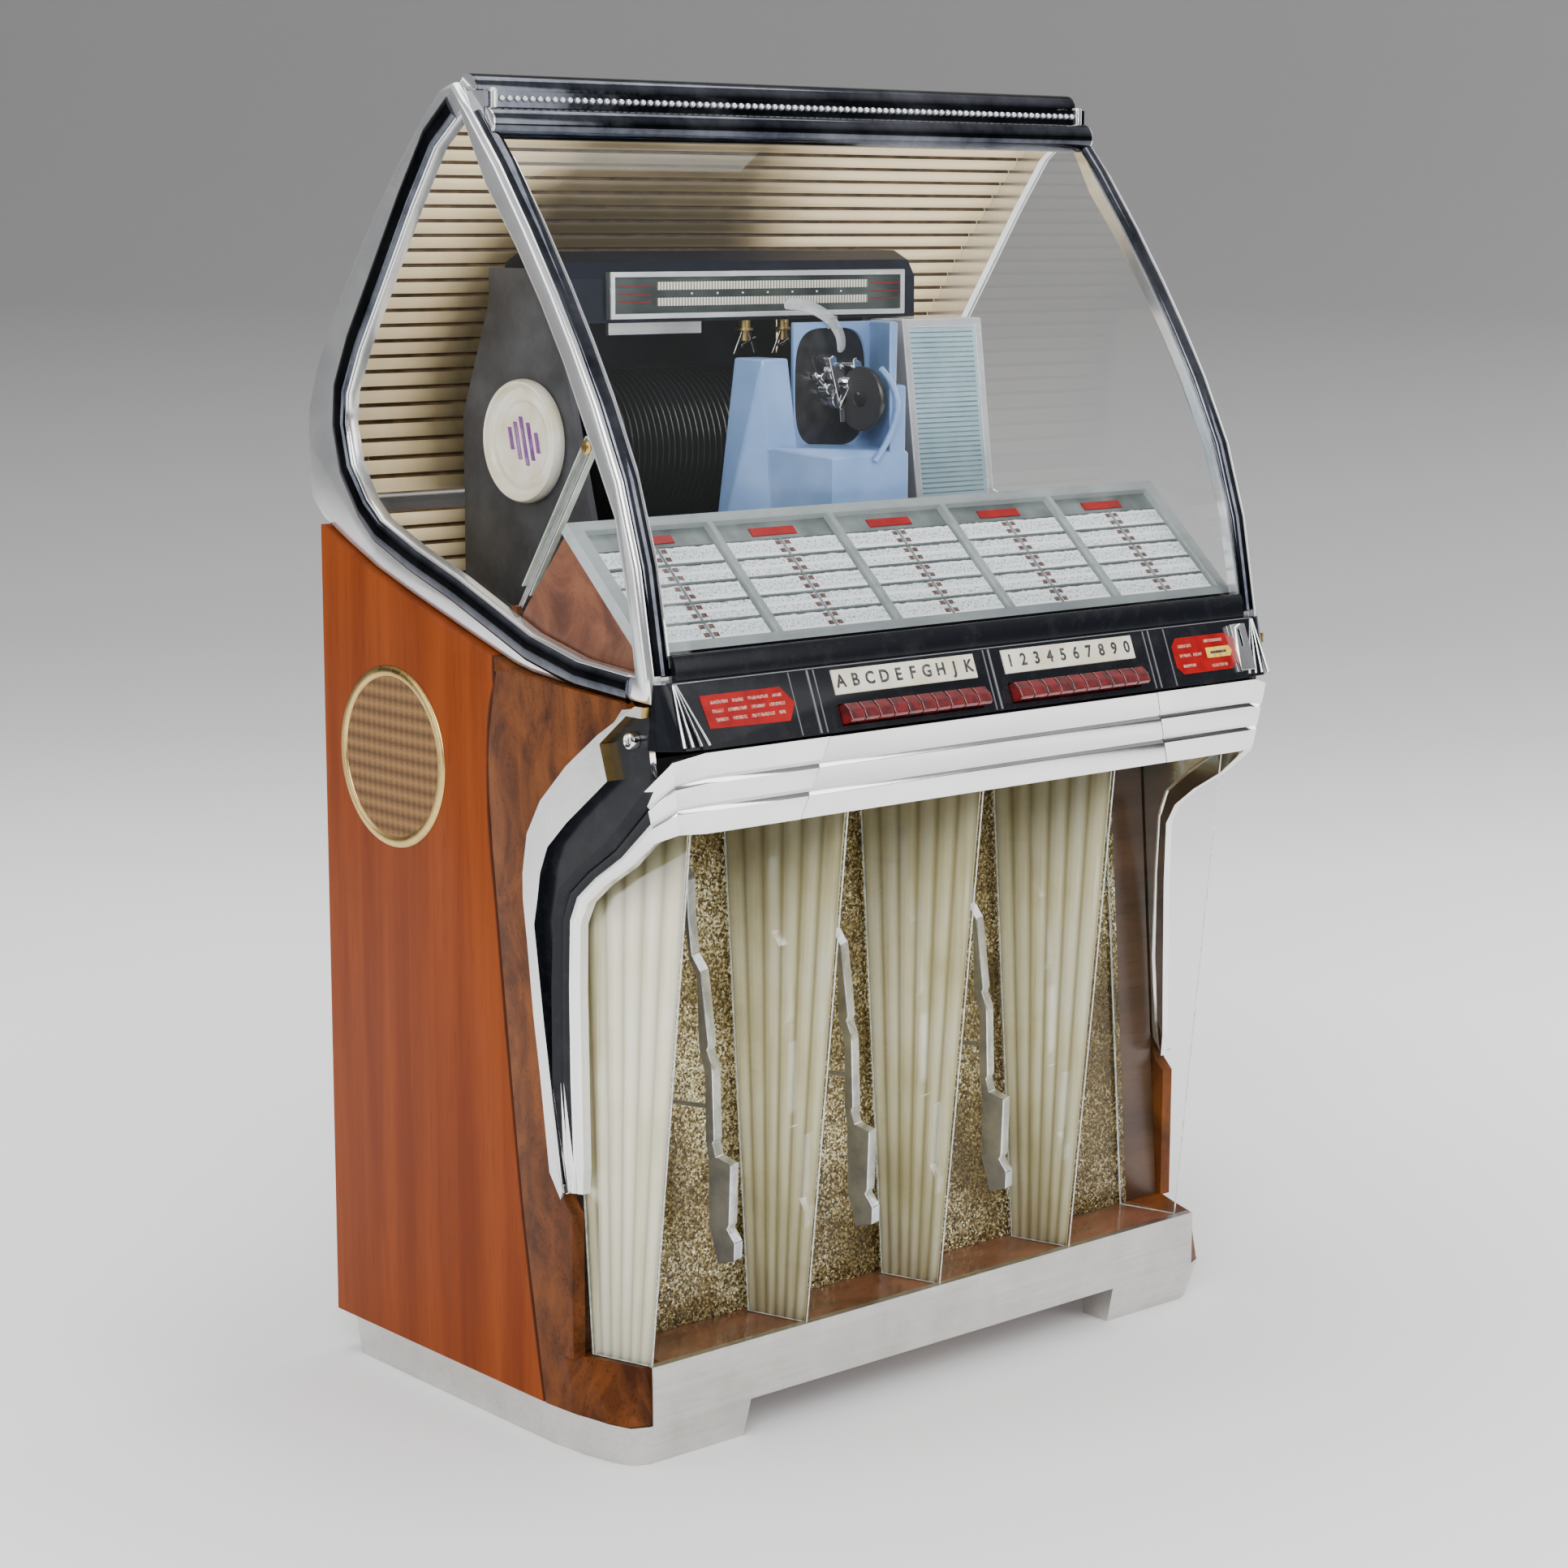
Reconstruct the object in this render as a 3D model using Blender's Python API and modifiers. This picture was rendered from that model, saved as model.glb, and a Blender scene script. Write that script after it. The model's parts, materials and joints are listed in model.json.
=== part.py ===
"""A floor-standing jukebox of the early 1950s, modelled at its real size.

Metres, X to the right, Y to the back, Z up. The origin lies on the floor in
the middle of the footprint.
"""

import math

import bmesh
import bpy
from mathutils import Matrix, Vector

# Overall sizes, the gap that neighbours keep, and how far a weld and a cutter run on
HEIGHT = 1.420
BODY_WIDTH = 0.909
DEPTH = 0.642
GAP = 0.0003
LAP = 0.001
OVERRUN = 0.004
HALF_BODY = BODY_WIDTH / 2
FRONT = -DEPTH / 2
REAR = DEPTH / 2

# Wooden body: walls, the foot it stands on, the ledge under the grille, the deck
WALL = 0.016
FOOT_HEIGHT = 0.046
LEDGE_Z = 0.108
DECK_SHARE = 0.5634
DECK_Z = DECK_SHARE * HEIGHT
HEADER_DROP = 0.100
HEADER_Z = DECK_Z - HEADER_DROP
HEADER_THICK = 0.012
HEADER_CORNER = 0.020
BOARD_THICK = 0.016
BACK_SET = 0.038
BODY_BACK = REAR - BACK_SET
DOOR_SET = 0.021
FLOOR_BACK = BODY_BACK - DOOR_SET
INNER_WALL = HALF_BODY - WALL

# Groove between the side panel and the burl cheek: Y at shares of the height
GROOVE_REACH = 0.112
GROOVE_WIDE = 0.0022
GROOVE_DEEP = 0.0030
GROOVE_SHARES = ((1.000, 0.00), (0.700, 0.25), (0.510, 0.46), (0.340, 0.67), (0.215, 0.85),
                 (0.230, 0.93), (0.350, 1.02))

# Hoop of the lid in side view, as shares of the reach and of its height above the front of
# the lid's lower edge, and that lower edge, which the sides of the body follow
HOOP_SHARES = ((-0.888, 0.000), (-0.888, 0.046), (-0.863, 0.116), (-0.826, 0.217), (-0.741, 0.352),
               (-0.626, 0.472), (-0.523, 0.562), (-0.417, 0.647), (-0.283, 0.746), (-0.128, 0.852),
               (0.020, 0.940), (0.105, 0.985), (0.175, 0.978), (0.271, 0.935), (0.439, 0.847),
               (0.623, 0.736), (0.813, 0.604), (0.931, 0.508), (0.994, 0.425), (1.000, 0.360),
               (0.981, 0.265), (0.903, 0.2313))
LID_LINE_SHARES = ((-1.000, 0.000), (-0.700, 0.028), (-0.320, 0.085), (-0.120, 0.183),
                   (0.180, 0.366), (0.660, 0.676), (1.018, 1.000))
LID_STEP = 0.006
LID_LOW = DECK_Z + LID_STEP
LID_HIGH = HEIGHT - LID_LOW
LID_RISE = HOOP_SHARES[-1][1] * LID_HIGH
LID_FRONT = HOOP_SHARES[0][0] * REAR

# Feet and the kick band that joins them in front of the wooden ledge
FOOT_STEP = 0.002
FOOT_HALF = HALF_BODY - FOOT_STEP
KICK_SET = 0.080
KICK_Y = FRONT + KICK_SET
KICK_STEP = 0.044
KICK_HALF = HALF_BODY - KICK_STEP
KICK_THICK = 0.0025
KICK_LIP = 0.010
LEDGE_RUN = 0.0155

# Grille board, its slope and the posts beside it
GRILLE_STEP = 0.070
GRILLE_HALF = HALF_BODY - GRILLE_STEP
GRILLE_SET = 0.164
GRILLE_FOOT_Y = FRONT + GRILLE_SET
GRILLE_SLOPE = 0.045
GRILLE_TOP_Y = GRILLE_FOOT_Y + GRILLE_SLOPE
GRILLE_THICK = 0.008
POST_DEPTH = 0.022

# Fins: upright ribbed sheets and an end pane, all turned alike
FIN_TURN = math.radians(17.6)
FIN_PLACE_SHARES = (-1.000, -0.504, -0.0436, 0.437, 0.868)
FIN_STEP = 0.028
FIN_SPAN = HALF_BODY - FIN_STEP
FIN_FOOT = 0.0710
FIN_MIDDLE = 0.1150
FIN_HEAD = 0.1560
FIN_RISE = 0.302
FIN_MIDDLE_Z = LEDGE_Z + FIN_RISE
FIN_SET = 0.0028
FIN_THICK = 0.0062
FIN_GLASS = 0.004
FIN_RIBS = 6
FIN_RIB_STEPS = 4
FIN_RIB_DEEP = 0.0032

# Cascades: stepped chrome castings between the fins
CASCADE_OFFSET = 0.0915
CASCADE_SET = 0.094
CASCADE_TOP = HEADER_Z - CASCADE_SET
CASCADE_LOW = 0.185
CASCADE_REACH = 0.0694
CASCADE_START = 0.031
CASCADE_WIDE = 0.016
CASCADE_PIN = 0.0030
CASCADE_PIN_PLAY = 0.0013

# Corner castings
CASTING_PROUD = 0.003
CASTING_DEEP = 0.0150
CASTING_LOW = 0.283
CASTING_RIBBON_FRONT = 0.006
CASTING_RIBBON_SIDE = 0.010
CHANNEL_DEEP = 0.011

# Front band
BAND_DROP = 0.040
BAND_TOP = DECK_Z - BAND_DROP
BAND_HIGH = 0.083
BAND_LEAN = 0.011
BAND_THICK = 0.006
BAND_GROOVE = 0.0025
SEAM_GAP = 0.0006

# Control panel. Each of its end caps in plan, as shares of the half width and of the reach,
# at its foot and at its head
CAP_FOOT_SHARES = ((0.888, 0.985), (0.935, 0.984), (0.962, 0.962), (0.984, 0.928), (0.992, 0.900))
CAP_HEAD_SHARES = ((0.942, 0.914), (0.956, 0.912), (0.965, 0.908), (0.972, 0.902), (0.975, 0.897))
PANEL_SET = 0.002
PANEL_LOW_Y = FRONT + PANEL_SET
PANEL_SEAM = 0.0027
PANEL_LOW_Z = BAND_TOP + PANEL_SEAM
PANEL_HEAD_SET = 0.008
PANEL_TOP_Y = LID_FRONT - PANEL_HEAD_SET
PANEL_RISE = 0.022
PANEL_TOP_Z = LID_LOW + PANEL_RISE
PANEL_LAP = 0.0016
PANEL_HALF = CAP_FOOT_SHARES[0][0] * HALF_BODY + PANEL_LAP
PANEL_TOP_HALF = CAP_HEAD_SHARES[0][0] * HALF_BODY + 2 * PANEL_LAP
PANEL_THICK = 0.0062
CAP_LIP = 0.0013
CAP_BACK = CAP_HEAD_SHARES[-1][1] * FRONT + CAP_LIP
BANK_CENTRE = 0.121
BANK_WIDE = 0.200
LEGEND_HIGH = 0.026
LEGEND_THICK = 0.0018
LEGEND_TOP = 0.006

# Keys: ten in each of two banks
KEYS = 10
KEY_GAP = 0.0012
KEY_HIGH = 0.022
KEY_PROUD = 0.016
KEY_TAIL = 0.026
KEY_LOW = 0.006

# Coin bezel
COIN_SET = 0.0122
COIN_X = PANEL_HALF - COIN_SET
COIN_WIDE = 0.024
COIN_HIGH = 0.054
COIN_THICK = 0.006
COIN_SLOT = 0.003
COIN_SLOT_HIGH = 0.020
COIN_SLOT_HEAD = 0.006

# Records: a row of discs on one spindle
RECORD_RADIUS = 0.0875
RECORD_THICK = 0.0019
RECORD_PITCH = 0.0162
RECORDS = 25
RECORD_FIRST = -0.291
RECORD_SIDES = 16
SPINE_RADIUS = 0.010
RECORD_SHARE = 0.1994
RECORD_Y = RECORD_SHARE * REAR

# Mechanism that holds them
MECH_LEFT = -0.315
MECH_RIGHT = 0.185
MECH_END = 0.111
MECH_HEADROOM = 0.180
MECH_TOP = HEIGHT - MECH_HEADROOM
MECH_SET = 0.046
MECH_FRONT = RECORD_Y - MECH_SET
MECH_DEEP = 0.117
MECH_HEAD_HIGH = 0.075
MECH_PLATE = 0.008
MECH_PLATE_SET = 0.098
MECH_PLATE_FRONT = RECORD_Y - MECH_PLATE_SET
MECH_PLATE_DEEP = 0.232
MECH_BASE_HIGH = 0.030
RECORD_DROP = 0.210
RECORD_Z = MECH_TOP - RECORD_DROP
RAIL_RADIUS = 0.006
SCALE_LEFT = -0.262
SCALE_RIGHT = 0.162
SCALE_DROP = 0.071
SCALE_LOW = MECH_TOP - SCALE_DROP
SCALE_HIGH = 0.050
SCALE_THICK = 0.006
BADGE_RADIUS = 0.0665
BADGE_BEHIND = 0.014
BADGE_Y = RECORD_Y + BADGE_BEHIND
BADGE_OVER = 0.010
BADGE_Z = RECORD_Z + BADGE_OVER
BADGE_THICK = 0.014

# Carriage and what it carries
CARRIAGE_CLEAR = 0.0125
CARRIAGE_BACK = RECORD_Y - RECORD_RADIUS - CARRIAGE_CLEAR
CARRIAGE_DEEP = 0.070
CARRIAGE_FRONT = CARRIAGE_BACK - CARRIAGE_DEEP
CARRIAGE_RISE = 0.068
CARRIAGE_LOW = DECK_Z + CARRIAGE_RISE
CARRIAGE_DROP = 0.113
CARRIAGE_TOP = MECH_TOP - CARRIAGE_DROP
CARRIAGE_REACH = 0.170
CARRIAGE_EASE = 0.002
PLATTER_RADIUS = 0.036
PLATTER_THICK = 0.010
ARM_TUBE = 0.0035
ARM_REACH = 0.055
ARM_FOOT = 0.0085
ARM_DROP = 0.0105

# End cover
COVER_LEFT = 0.122
COVER_RIGHT = 0.245
COVER_DROP = 0.076
COVER_TOP = MECH_TOP - COVER_DROP
COVER_LEAN = 0.045
COVER_SET = 0.006
COVER_FRONT = CARRIAGE_BACK + COVER_SET
COVER_DEEP = 0.150
COVER_RIM = 0.010
COVER_RECESS = 0.003

# Title rack
RACK_STEP = 0.026
RACK_HALF = HALF_BODY - RACK_STEP
RACK_SET = 0.059
RACK_FOOT_Y = FRONT + RACK_SET
RACK_OVER_DECK = 0.053
RACK_FOOT_Z = DECK_Z + RACK_OVER_DECK
RACK_CLEAR = 0.024
RACK_TOP_Y = CARRIAGE_FRONT - RACK_CLEAR
RACK_RISE = 0.120
RACK_TOP_Z = RACK_FOOT_Z + RACK_RISE
RACK_THICK = 0.014
RACK_BAYS = 5
RACK_RIM = 0.012
RACK_BAR = 0.007
RACK_POCKET = 0.008
CARD_ROWS = 5
CARD_THICK = 0.003
CARD_HEADER = 0.026
CARD_SIDE = 0.004
CARD_GAP = 0.0025
RACK_CHEEK = 0.014

# Lid: side hoops, rails, glass
LID_IN = 0.008
LID_HALF = HALF_BODY - LID_IN
HOOP_THICK = 0.0145
LID_GLASS = 0.004
LID_GLASS_IN = 0.004
LID_PLAY = 0.0005
GLASS_END_SHARE = 0.52
RAIL_HIGH = 0.024
RAIL_TOP = LID_LOW + RAIL_HIGH
HOOD_THICK = 0.003
HINGE_SET = 0.0065
LID_HINGE_Y = BODY_BACK + HINGE_SET
LID_HINGE_Z = LID_LOW + LID_RISE
LID_KNUCKLE = 0.0040
LID_KNUCKLE_LONG = 0.060
HINGE_X = 0.290
POST_FACE = 0.030
POST_FACE_DEEP = 0.014
POST_SHIFT_SHARE = 0.15
FRONT_POINTS = 11
REAR_POINTS = 9
BARREL_RADIUS = 0.016
BARREL_SET = 0.0097
BARREL_Y = HOOP_SHARES[FRONT_POINTS][0] * REAR - BARREL_SET
BARREL_STEP = 0.030
BARREL_GAP = 0.002
REFLECTOR_RIBS = 26
REFLECTOR_RIB = 0.005
REFLECTOR_GAP = 0.006

# Lid stay
STAY_CLEAR = 0.0085
STAY_X = -(LID_HALF - HOOP_THICK - STAY_CLEAR)
STAY_FOOT_SHARE = -0.1277
STAY_FOOT_Y = STAY_FOOT_SHARE * REAR
STAY_OVER_DECK = 0.074
STAY_FOOT_Z = DECK_Z + STAY_OVER_DECK
STAY_HEAD_SHARE = -0.5078
STAY_HEAD_Y = STAY_HEAD_SHARE * REAR
STAY_RISE = 0.176
STAY_HEAD_Z = STAY_FOOT_Z + STAY_RISE
STAY_ARM_WIDE = 0.017
STAY_ARM_DEEP = 0.008
STAY_WALL = 0.0015
STAY_ROD = 0.0070
STAY_ROD_THICK = 0.004
STAY_ARM_LONG = 0.185

# Speakers
RING_SET = 0.132
RING_Y = BODY_BACK - RING_SET
RING_DROP = 0.098
RING_Z = DECK_Z - RING_DROP
RING_RADIUS = 0.099
RING_WIDE = 0.011
RING_PROUD = 0.0025
SIDE_HOLE = 0.069
CLOTH_THICK = 0.002
WOOFER_RADIUS = 0.150
WOOFER_DEEP = 0.105
WOOFER_RISE = 0.282
WOOFER_Z = LEDGE_Z + WOOFER_RISE
DRIVER_RADIUS = 0.080
DRIVER_DEEP = 0.062
HOLE_SIDES = 28

# Things that stand on the floor board, each clear of the rear door
BOX_CLEAR = 0.052
AMP_WIDE = 0.320
AMP_DEEP = 0.180
AMP_HIGH = 0.060
AMP_X = -0.150
AMP_Y = FLOOR_BACK - BOX_CLEAR - AMP_DEEP / 2
VALVE_RADIUS = 0.014
VALVE_HIGH = 0.070
CASH_WIDE = 0.170
CASH_DEEP = 0.200
CASH_HIGH = 0.110
CASH_WALL = 0.002
CASH_X = 0.250
CASH_Y = FLOOR_BACK - BOX_CLEAR - CASH_DEEP / 2

# Rear door
DOOR_THICK = 0.012
DOOR_CLEAR = 0.0042
DOOR_LOW = FOOT_HEIGHT + GAP + BOARD_THICK + DOOR_CLEAR
DOOR_HEAD = 0.048
DOOR_TOP = LID_HINGE_Z - DOOR_HEAD
DOOR_SIDE = 0.0008
DOOR_SLOTS = 5
DOOR_SLOT_WIDE = 0.300
DOOR_SLOT_HIGH = 0.010
DOOR_SLOT_PITCH = 0.030
DOOR_SLOT_DROP = 0.120

# Lock in the left casting
LOCK_SET = 0.058
LOCK_Y = FRONT + LOCK_SET
LOCK_RISE = 0.010
LOCK_Z = BAND_TOP + LOCK_RISE
LOCK_RADIUS = 0.0085
LOCK_LONG = 0.0102

for thing in list(bpy.data.objects):
    bpy.data.objects.remove(thing, do_unlink=True)

PARTS = bpy.data.collections.new("jukebox")
CUTTERS = bpy.data.collections.new("cutters")
bpy.context.scene.collection.children.link(PARTS)
bpy.context.scene.collection.children.link(CUTTERS)


# Materials
def paint(name, colour, roughness, metallic=0.0, alpha=1.0):
    """Returns a Principled material."""
    material = bpy.data.materials.new(name)
    material.use_nodes = True
    shader = material.node_tree.nodes["Principled BSDF"]
    shader.inputs["Base Color"].default_value = (*colour, 1.0)
    shader.inputs["Roughness"].default_value = roughness
    shader.inputs["Metallic"].default_value = metallic
    shader.inputs["Alpha"].default_value = alpha
    material.diffuse_color = (*colour, alpha)
    return material


WOOD = paint("straight_grain_walnut", (0.36, 0.12, 0.045), 0.35)
BURL = paint("burl_walnut", (0.22, 0.075, 0.03), 0.3)
CARCASS = paint("carcass_wood", (0.40, 0.19, 0.10), 0.5)
ALLOY = paint("brushed_aluminium", (0.72, 0.71, 0.68), 0.35, 1.0)
CHROME = paint("chrome", (0.85, 0.86, 0.88), 0.08, 1.0)
STEEL = paint("plated_steel", (0.55, 0.56, 0.55), 0.35, 1.0)
GLITTER = paint("gold_glitter", (0.55, 0.43, 0.20), 0.4, 0.6)
RIBBED = paint("ribbed_cream_plastic", (0.80, 0.76, 0.52), 0.35)
GLASS = paint("clear_glass", (0.85, 0.92, 0.90), 0.03, 0.0, 0.25)
BLACK = paint("black_panel", (0.01, 0.01, 0.012), 0.2)
CREAM = paint("cream_plastic", (0.86, 0.82, 0.66), 0.35)
RED = paint("dark_red_plastic", (0.22, 0.01, 0.015), 0.2)
RACK = paint("silver_grey_paint", (0.55, 0.62, 0.62), 0.35, 0.3)
PAPER = paint("title_paper", (0.78, 0.83, 0.83), 0.7)
NAVY = paint("navy_enamel", (0.02, 0.025, 0.05), 0.35)
VINYL = paint("black_vinyl", (0.012, 0.012, 0.014), 0.25)
BLUE = paint("light_blue_enamel", (0.34, 0.48, 0.68), 0.4)
TEAL = paint("pale_teal_enamel", (0.45, 0.62, 0.66), 0.4)
GOLD = paint("gold_reflector", (0.66, 0.52, 0.30), 0.35, 0.5)
BRASS = paint("brass", (0.62, 0.43, 0.18), 0.3, 1.0)
GREY = paint("grey_steel", (0.20, 0.21, 0.22), 0.5, 0.5)
FIBRE = paint("brown_fibreboard", (0.20, 0.12, 0.07), 0.8)
PANES = paint("tinted_scale_glass", (0.30, 0.36, 0.36), 0.1, 0.0, 0.6)


# Small tools: how every piece is made
def smooth_line(points, steps):
    """Returns a rounded line through the points, with steps pieces in each span."""
    line = []
    last = len(points) - 1
    for index in range(last):
        before = Vector(points[max(index - 1, 0)])
        start = Vector(points[index])
        end = Vector(points[index + 1])
        after = Vector(points[min(index + 2, last)])
        for step in range(steps):
            t = step / steps
            line.append(tuple(0.5 * (2 * start + (end - before) * t
                                     + (2 * before - 5 * start + 4 * end - after) * t * t
                                     + (3 * start - before - 3 * end + after) * t ** 3)))
    line.append(tuple(points[last]))
    return line


def circle(centre, radius, sides):
    """Returns the corners of a round outline."""
    turn = 2 * math.pi / sides
    return [(centre[0] + radius * math.cos(turn * i), centre[1] + radius * math.sin(turn * i))
            for i in range(sides)]


def rectangle(left, right, low, high):
    """Returns the corners of a rectangular outline."""
    return [(left, low), (right, low), (right, high), (left, high)]


def inset(outline, distance):
    """Returns a closed outline moved inward by a distance, corner by corner."""
    area = sum(a[0] * b[1] - b[0] * a[1] for a, b in zip(outline, outline[1:] + outline[:1]))
    side = 1 if area > 0 else -1
    moved = []
    for index, point in enumerate(outline):
        here = Vector(point)
        back = (here - Vector(outline[index - 1])).normalized()
        ahead = (Vector(outline[(index + 1) % len(outline)]) - here).normalized()
        normal = Vector((-(back.y + ahead.y), back.x + ahead.x)).normalized() * side
        square = max(normal.dot(Vector((-ahead.y, ahead.x)) * side), 0.4)
        moved.append(tuple(here + normal * distance / square))
    return moved


def plane(x_axis, y_axis, origin=(0.0, 0.0, 0.0)):
    """Returns the matrix of a drawing plane from its two axes."""
    across = Vector(x_axis)
    upward = Vector(y_axis)
    matrix = Matrix((across, upward, across.cross(upward))).transposed().to_4x4()
    matrix.translation = Vector(origin)
    return matrix


def finish(name, bm, material, smooth=False, angle=math.radians(35)):
    """Makes an object of a bmesh and gives it its material."""
    mesh = bpy.data.meshes.new(name)
    bmesh.ops.recalc_face_normals(bm, faces=bm.faces)
    bm.to_mesh(mesh)
    bm.free()
    mesh.materials.append(material)
    if smooth:
        mesh.shade_smooth()
        mesh.set_sharp_from_angle(angle=angle)
    thing = bpy.data.objects.new(name, mesh)
    PARTS.objects.link(thing)
    return thing


def to_mesh(thing, name, material):
    """Turns a curve or a modified object into a plain welded mesh at the same place."""
    graph = bpy.context.evaluated_depsgraph_get()
    graph.update()
    mesh = bpy.data.meshes.new_from_object(thing.evaluated_get(graph))
    bm = bmesh.new()
    bm.from_mesh(mesh)
    bm.transform(thing.matrix_world)
    bmesh.ops.remove_doubles(bm, verts=bm.verts, dist=0.00001)
    bpy.data.objects.remove(thing, do_unlink=True)
    bpy.data.meshes.remove(mesh)
    return finish(name, bm, material)


def plate(name, outlines, thick, matrix, material):
    """Cuts a flat plate with its holes out of a drawing plane, half its thickness each way."""
    data = bpy.data.curves.new(name, "CURVE")
    data.dimensions = "2D"
    data.fill_mode = "BOTH"
    data.extrude = thick / 2
    for outline in outlines:
        spline = data.splines.new("POLY")
        spline.points.add(len(outline) - 1)
        for point, place in zip(spline.points, outline):
            point.co = (place[0], place[1], 0.0, 1.0)
        spline.use_cyclic_u = True
    thing = bpy.data.objects.new(name + "_outline", data)
    thing.matrix_world = matrix
    PARTS.objects.link(thing)
    return to_mesh(thing, name, material)


def side_plate(name, outlines, x_from, x_to, material):
    """A plate drawn in Y and Z that reaches from one X to another."""
    middle = ((x_from + x_to) / 2, 0.0, 0.0)
    return plate(name, outlines, abs(x_to - x_from), plane((0, 1, 0), (0, 0, 1), middle), material)


def front_plate(name, outlines, y_from, y_to, material):
    """A plate drawn in X and Z that reaches from one Y to another."""
    middle = (0.0, (y_from + y_to) / 2, 0.0)
    return plate(name, outlines, abs(y_to - y_from), plane((1, 0, 0), (0, 0, 1), middle), material)


def plan_plate(name, outlines, z_from, z_to, material):
    """A plate drawn in X and Y that reaches from one Z to another."""
    middle = (0.0, 0.0, (z_from + z_to) / 2)
    return plate(name, outlines, abs(z_to - z_from), plane((1, 0, 0), (0, 1, 0), middle), material)


def block(name, x_range, y_range, z_range, material):
    """A box between two corners."""
    bm = bmesh.new()
    lows, highs = zip(x_range, y_range, z_range)
    centre = (Vector(lows) + Vector(highs)) / 2
    bmesh.ops.create_cube(bm, size=1.0, matrix=Matrix.LocRotScale(
        centre, None, Vector(highs) - Vector(lows)))
    return finish(name, bm, material)


def rod(name, start, end, radius, sides, material, end_radius=None):
    """A round bar or cone between two points."""
    bm = bmesh.new()
    along = Vector(end) - Vector(start)
    matrix = Matrix.Translation((Vector(start) + Vector(end)) / 2) @ along.to_track_quat(
        "Z", "Y").to_matrix().to_4x4()
    bmesh.ops.create_cone(bm, cap_ends=True, segments=sides, radius1=radius,
                          radius2=radius if end_radius is None else end_radius,
                          depth=along.length, matrix=matrix)
    return finish(name, bm, material, smooth=True)


def turned(name, profile, steps, matrix, material):
    """Turns a profile, radius and height from its top down, about its axis."""
    bm = bmesh.new()
    verts = [bm.verts.new((radius, 0.0, height)) for radius, height in profile]
    for first, second in zip(verts, verts[1:]):
        bm.edges.new((first, second))
    mesh = bpy.data.meshes.new(name)
    bm.to_mesh(mesh)
    bm.free()
    thing = bpy.data.objects.new(name + "_profile", mesh)
    thing.matrix_world = matrix
    PARTS.objects.link(thing)
    screw = thing.modifiers.new("turn", "SCREW")
    screw.steps = steps
    screw.render_steps = steps
    screw.use_merge_vertices = True
    screw.merge_threshold = 0.00005
    made = to_mesh(thing, name, material)
    made.data.shade_smooth()
    made.data.set_sharp_from_angle(angle=math.radians(35))
    return made


def loft(name, rings, material, smooth=False):
    """Skins a row of rings of equal corner counts and closes both ends."""
    bm = bmesh.new()
    rows = [[bm.verts.new(place) for place in ring] for ring in rings]
    count = len(rows[0])
    for near, far in zip(rows, rows[1:]):
        for i in range(count):
            j = (i + 1) % count
            bm.faces.new((near[i], near[j], far[j], far[i]))
    bm.faces.new(rows[0][::-1])
    bm.faces.new(rows[-1])
    return finish(name, bm, material, smooth)


def combine(thing, tool, how):
    """Adds a Boolean to a piece and puts its tool among the cutters."""
    modifier = thing.modifiers.new(tool.name, "BOOLEAN")
    modifier.operation = how
    modifier.solver = "EXACT"
    modifier.object = tool
    PARTS.objects.unlink(tool)
    CUTTERS.objects.link(tool)
    tool.hide_render = True
    tool.display_type = "WIRE"
    return thing


def cut(thing, *tools):
    """Cuts every tool from a piece."""
    for tool in tools:
        combine(thing, tool, "DIFFERENCE")
    return thing


def weld(thing, *tools):
    """Joins every tool to a piece, so that they are one body."""
    for tool in tools:
        combine(thing, tool, "UNION")
    return thing


def ease(thing, width, segments=1, angle=math.radians(40)):
    """Rounds or chamfers the sharp edges of a piece."""
    modifier = thing.modifiers.new("edges", "BEVEL")
    modifier.width = width
    modifier.segments = segments
    modifier.limit_method = "ANGLE"
    modifier.angle_limit = angle
    modifier.harden_normals = False
    return thing


def hang_on(thing, pivot):
    """Puts a moving piece's origin on its joint's axis and leaves the piece where it is."""
    place = Vector(pivot)
    thing.data.transform(Matrix.Translation(-place))
    thing.location = place
    return thing


# Lines that several pieces share
def lid_line(lower=0.0):
    """The lid's lower edge from front to back, moved down by a distance."""
    return [(-LID_FRONT * y, LID_LOW + LID_RISE * z - lower)
            for y, z in LID_LINE_SHARES]


def groove_line(forward=0.0):
    """The groove from the floor up, moved forward by a distance."""
    return [(-GROOVE_REACH * y - forward, FOOT_HEIGHT + GAP + (DECK_Z - FOOT_HEIGHT) * z)
            for y, z in GROOVE_SHARES]


def grille_y(z):
    """The front of the sloping grille board at a height."""
    share = (z - LEDGE_Z) / (HEADER_Z - LEDGE_Z)
    return GRILLE_FOOT_Y + (GRILLE_TOP_Y - GRILLE_FOOT_Y) * share


def height_on(line, y):
    """The height of a line of points at one Y."""
    for (y0, z0), (y1, z1) in zip(line, line[1:]):
        if min(y0, y1) <= y <= max(y0, y1):
            return z0 + (z1 - z0) * (y - y0) / (y1 - y0)
    return line[-1][1] if y > line[-1][0] else line[0][1]


def scaled(shares, start, sizes):
    """Places an outline's shares, each from its own start and by its own size."""
    return [tuple(s + share * size for s, share, size in zip(start, row, sizes)) for row in shares]


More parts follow.
